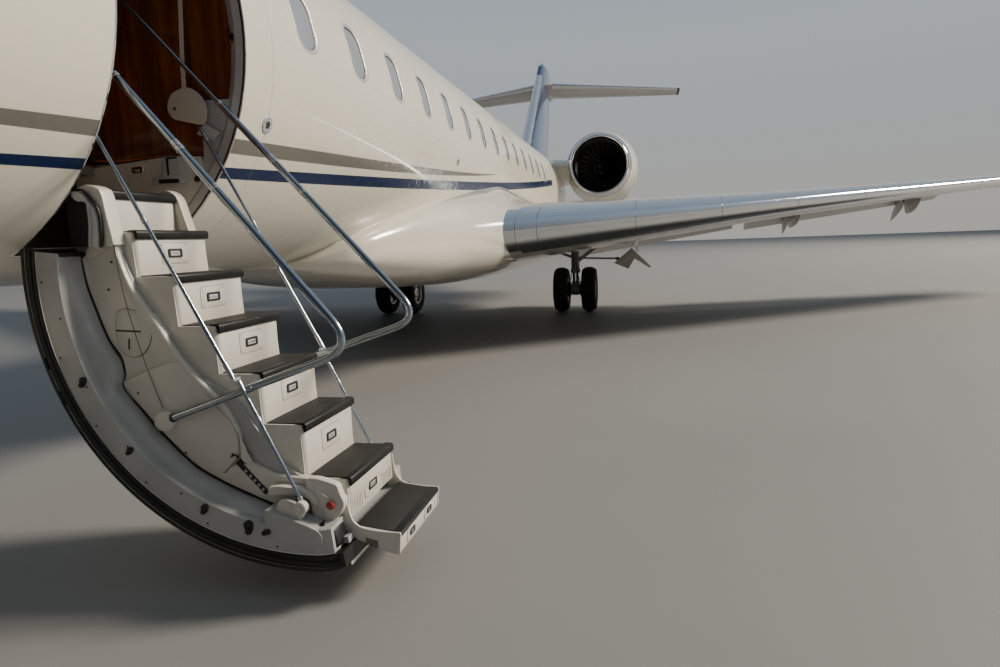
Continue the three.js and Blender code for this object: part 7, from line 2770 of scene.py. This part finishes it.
            Piece(f"nose_door_{side.tag}", Look.FAIRING, bevel=0.003).make(door,
                [f"nose_gear_door_{side.tag}"])
            arm = rod((x + 0.02, k * 0.08, 1.3), (x + 0.02, k * 0.318, 1.18), 0.014, 12)
            Piece(f"nose_door_link_{side.tag}", Look.GEAR).make(arm)


# Studio


@dataclass
class Studio:
    """Camera, soft light and a plain pale floor."""

    lens: float = 24.25         # millimetres, as is the sensor's width
    sensor: float = 36.0
    sight: float = 400.0        # how far the camera sees
    place: Point = (13.075, 3.4883, 1.5962)
    yaw: float = 0.2129345      # radians
    pitch: float = 0.1371074
    roll: float = -0.0359008
    reach: float = 160.0        # half the floor's width

    def build(self) -> None:
        """Build the studio."""
        self.camera()
        self.floor()
        self.lights()

    def camera(self) -> None:
        """The camera at the photo's viewing angle."""
        flat = math.cos(self.pitch)
        ahead = Vector((-math.cos(self.yaw) * flat, -math.sin(self.yaw) * flat, -math.sin(self.pitch)))
        right = Vector((-math.sin(self.yaw), math.cos(self.yaw), 0.0))
        high = right.cross(ahead)
        turned_right = right * math.cos(self.roll) + high * math.sin(self.roll)
        turned_high = high * math.cos(self.roll) - right * math.sin(self.roll)
        data = bpy.data.cameras.new("view")
        data.lens, data.sensor_width, data.clip_end = self.lens, self.sensor, self.sight
        camera = bpy.data.objects.new("view", data)
        camera.matrix_world = Matrix((turned_right, turned_high, -ahead)).transposed().to_4x4()
        camera.location = self.place
        bpy.context.scene.collection.objects.link(camera)
        bpy.context.scene.camera = camera

    def floor(self) -> None:
        """A wide pale floor."""
        size = self.reach
        mesh = bpy.data.meshes.new("studio_floor")
        mesh.from_pydata([(-size, -size, 0), (size, -size, 0), (size, size, 0), (-size, size, 0)], [],
            [(0, 1, 2, 3)])
        mesh.materials.append(Mat("studio_floor", "").material())
        floor = bpy.data.objects.new("studio_floor", mesh)
        bpy.context.scene.collection.objects.link(floor)

    def lights(self) -> None:
        """A soft sky that is dimmer ahead of the nose, and one large warm light from behind and to port."""
        world = bpy.data.worlds.new("studio")
        bpy.context.scene.world = world
        world.use_nodes = True
        nodes, links = world.node_tree.nodes, world.node_tree.links
        place, split, ramp, side, tint = (nodes.new(f"ShaderNode{kind}")
            for kind in ("TexCoord", "SeparateXYZ", "ValToRGB", "ValToRGB", "VectorMath"))
        tint.operation = "MULTIPLY"
        links.new(place.outputs["Generated"], split.inputs[0])
        links.new(split.outputs["Z"], ramp.inputs["Fac"])
        links.new(split.outputs["X"], side.inputs["Fac"])
        stops = ramp.color_ramp.elements
        stops[0].position, stops[0].color = 0.0, (0.86, 0.83, 0.77, 1.0)
        stops[1].position, stops[1].color = 1.0, (0.44, 0.58, 0.76, 1.0)
        middle = stops.new(0.25)
        middle.color = (0.84, 0.93, 1.0, 1.0)
        dim = side.color_ramp.elements
        dim[0].position, dim[0].color = 0.0, (1.0, 1.0, 1.0, 1.0)
        dim[1].position, dim[1].color = 0.75, (0.11, 0.12, 0.14, 1.0)
        sky = nodes["Background"]
        links.new(ramp.outputs["Color"], tint.inputs[0])
        links.new(side.outputs["Color"], tint.inputs[1])
        links.new(tint.outputs[0], sky.inputs["Color"])
        sky.inputs["Strength"].default_value = 0.5
        for name, at, aim, size, power, colour in (("key", (-32.0, 76.0, 54.0), (8.0, 0.0, 1.0), 22.0,
                158000.0, (1.0, 0.89, 0.74)),
                ("fill", (24.0, 20.0, 9.0), (6.0, 0.0, 2.0), 16.0, 160.0, (0.82, 0.9, 1.0))):
            data = bpy.data.lights.new(name, "AREA")
            data.energy, data.color, data.shape, data.size = power, colour, "SQUARE", size
            light = bpy.data.objects.new(name, data)
            light.location = at
            light.rotation_euler = (Vector(aim) - Vector(at)).to_track_quat("-Z", "Y").to_euler()
            bpy.context.scene.collection.objects.link(light)


def dress(frame: dict, looks: dict[str, Look]) -> None:
    """Give the CAD nodes that stay visible their materials.

    Args:
        frame: the loaded frame.
        looks: the finish of each node.
    """
    for name, look in looks.items():
        for node in as_objects(frame["nodes"][name]):
            node.data.materials.clear()
            node.data.materials.append(look.value.material())


def as_objects(found: object) -> list[bpy.types.Object]:
    """One object or several, as a list of meshes."""
    items = found if isinstance(found, (list, tuple)) else [found]
    return [item for item in items if item.type == "MESH"]


def main() -> None:
    """Build the scene."""
    logging.basicConfig(level=logging.INFO, format="%(message)s", stream=sys.stdout)
    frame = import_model()
    dress(frame, {"cabin_floor": Look.CARPET, "entrance_panels": Look.WOOD})
    fuselage = Fuselage(HullForm())
    fuselage.build()
    Entrance(fuselage).build()
    Airstair().build()
    Rails("forward", station=4.795, inward=1, hanger=4.771, knob=(1.25, 0.8), corner=(2.252, 1.155),
        bend=(2.2, 1.215), upper=4.722, lower=4.748).build()
    Rails("aft", station=5.525, inward=-1, hanger=5.549, knob=(1.31, 0.872), corner=(2.312, 1.197),
        bend=(2.258, 1.256), upper=5.595, lower=5.57).build()
    for side in Side:
        Wing(side).build()
        Engine(side).build()
    Tail().build()
    Gear().build()
    Studio().build()
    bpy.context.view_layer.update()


if __name__ == "__main__":
    main()
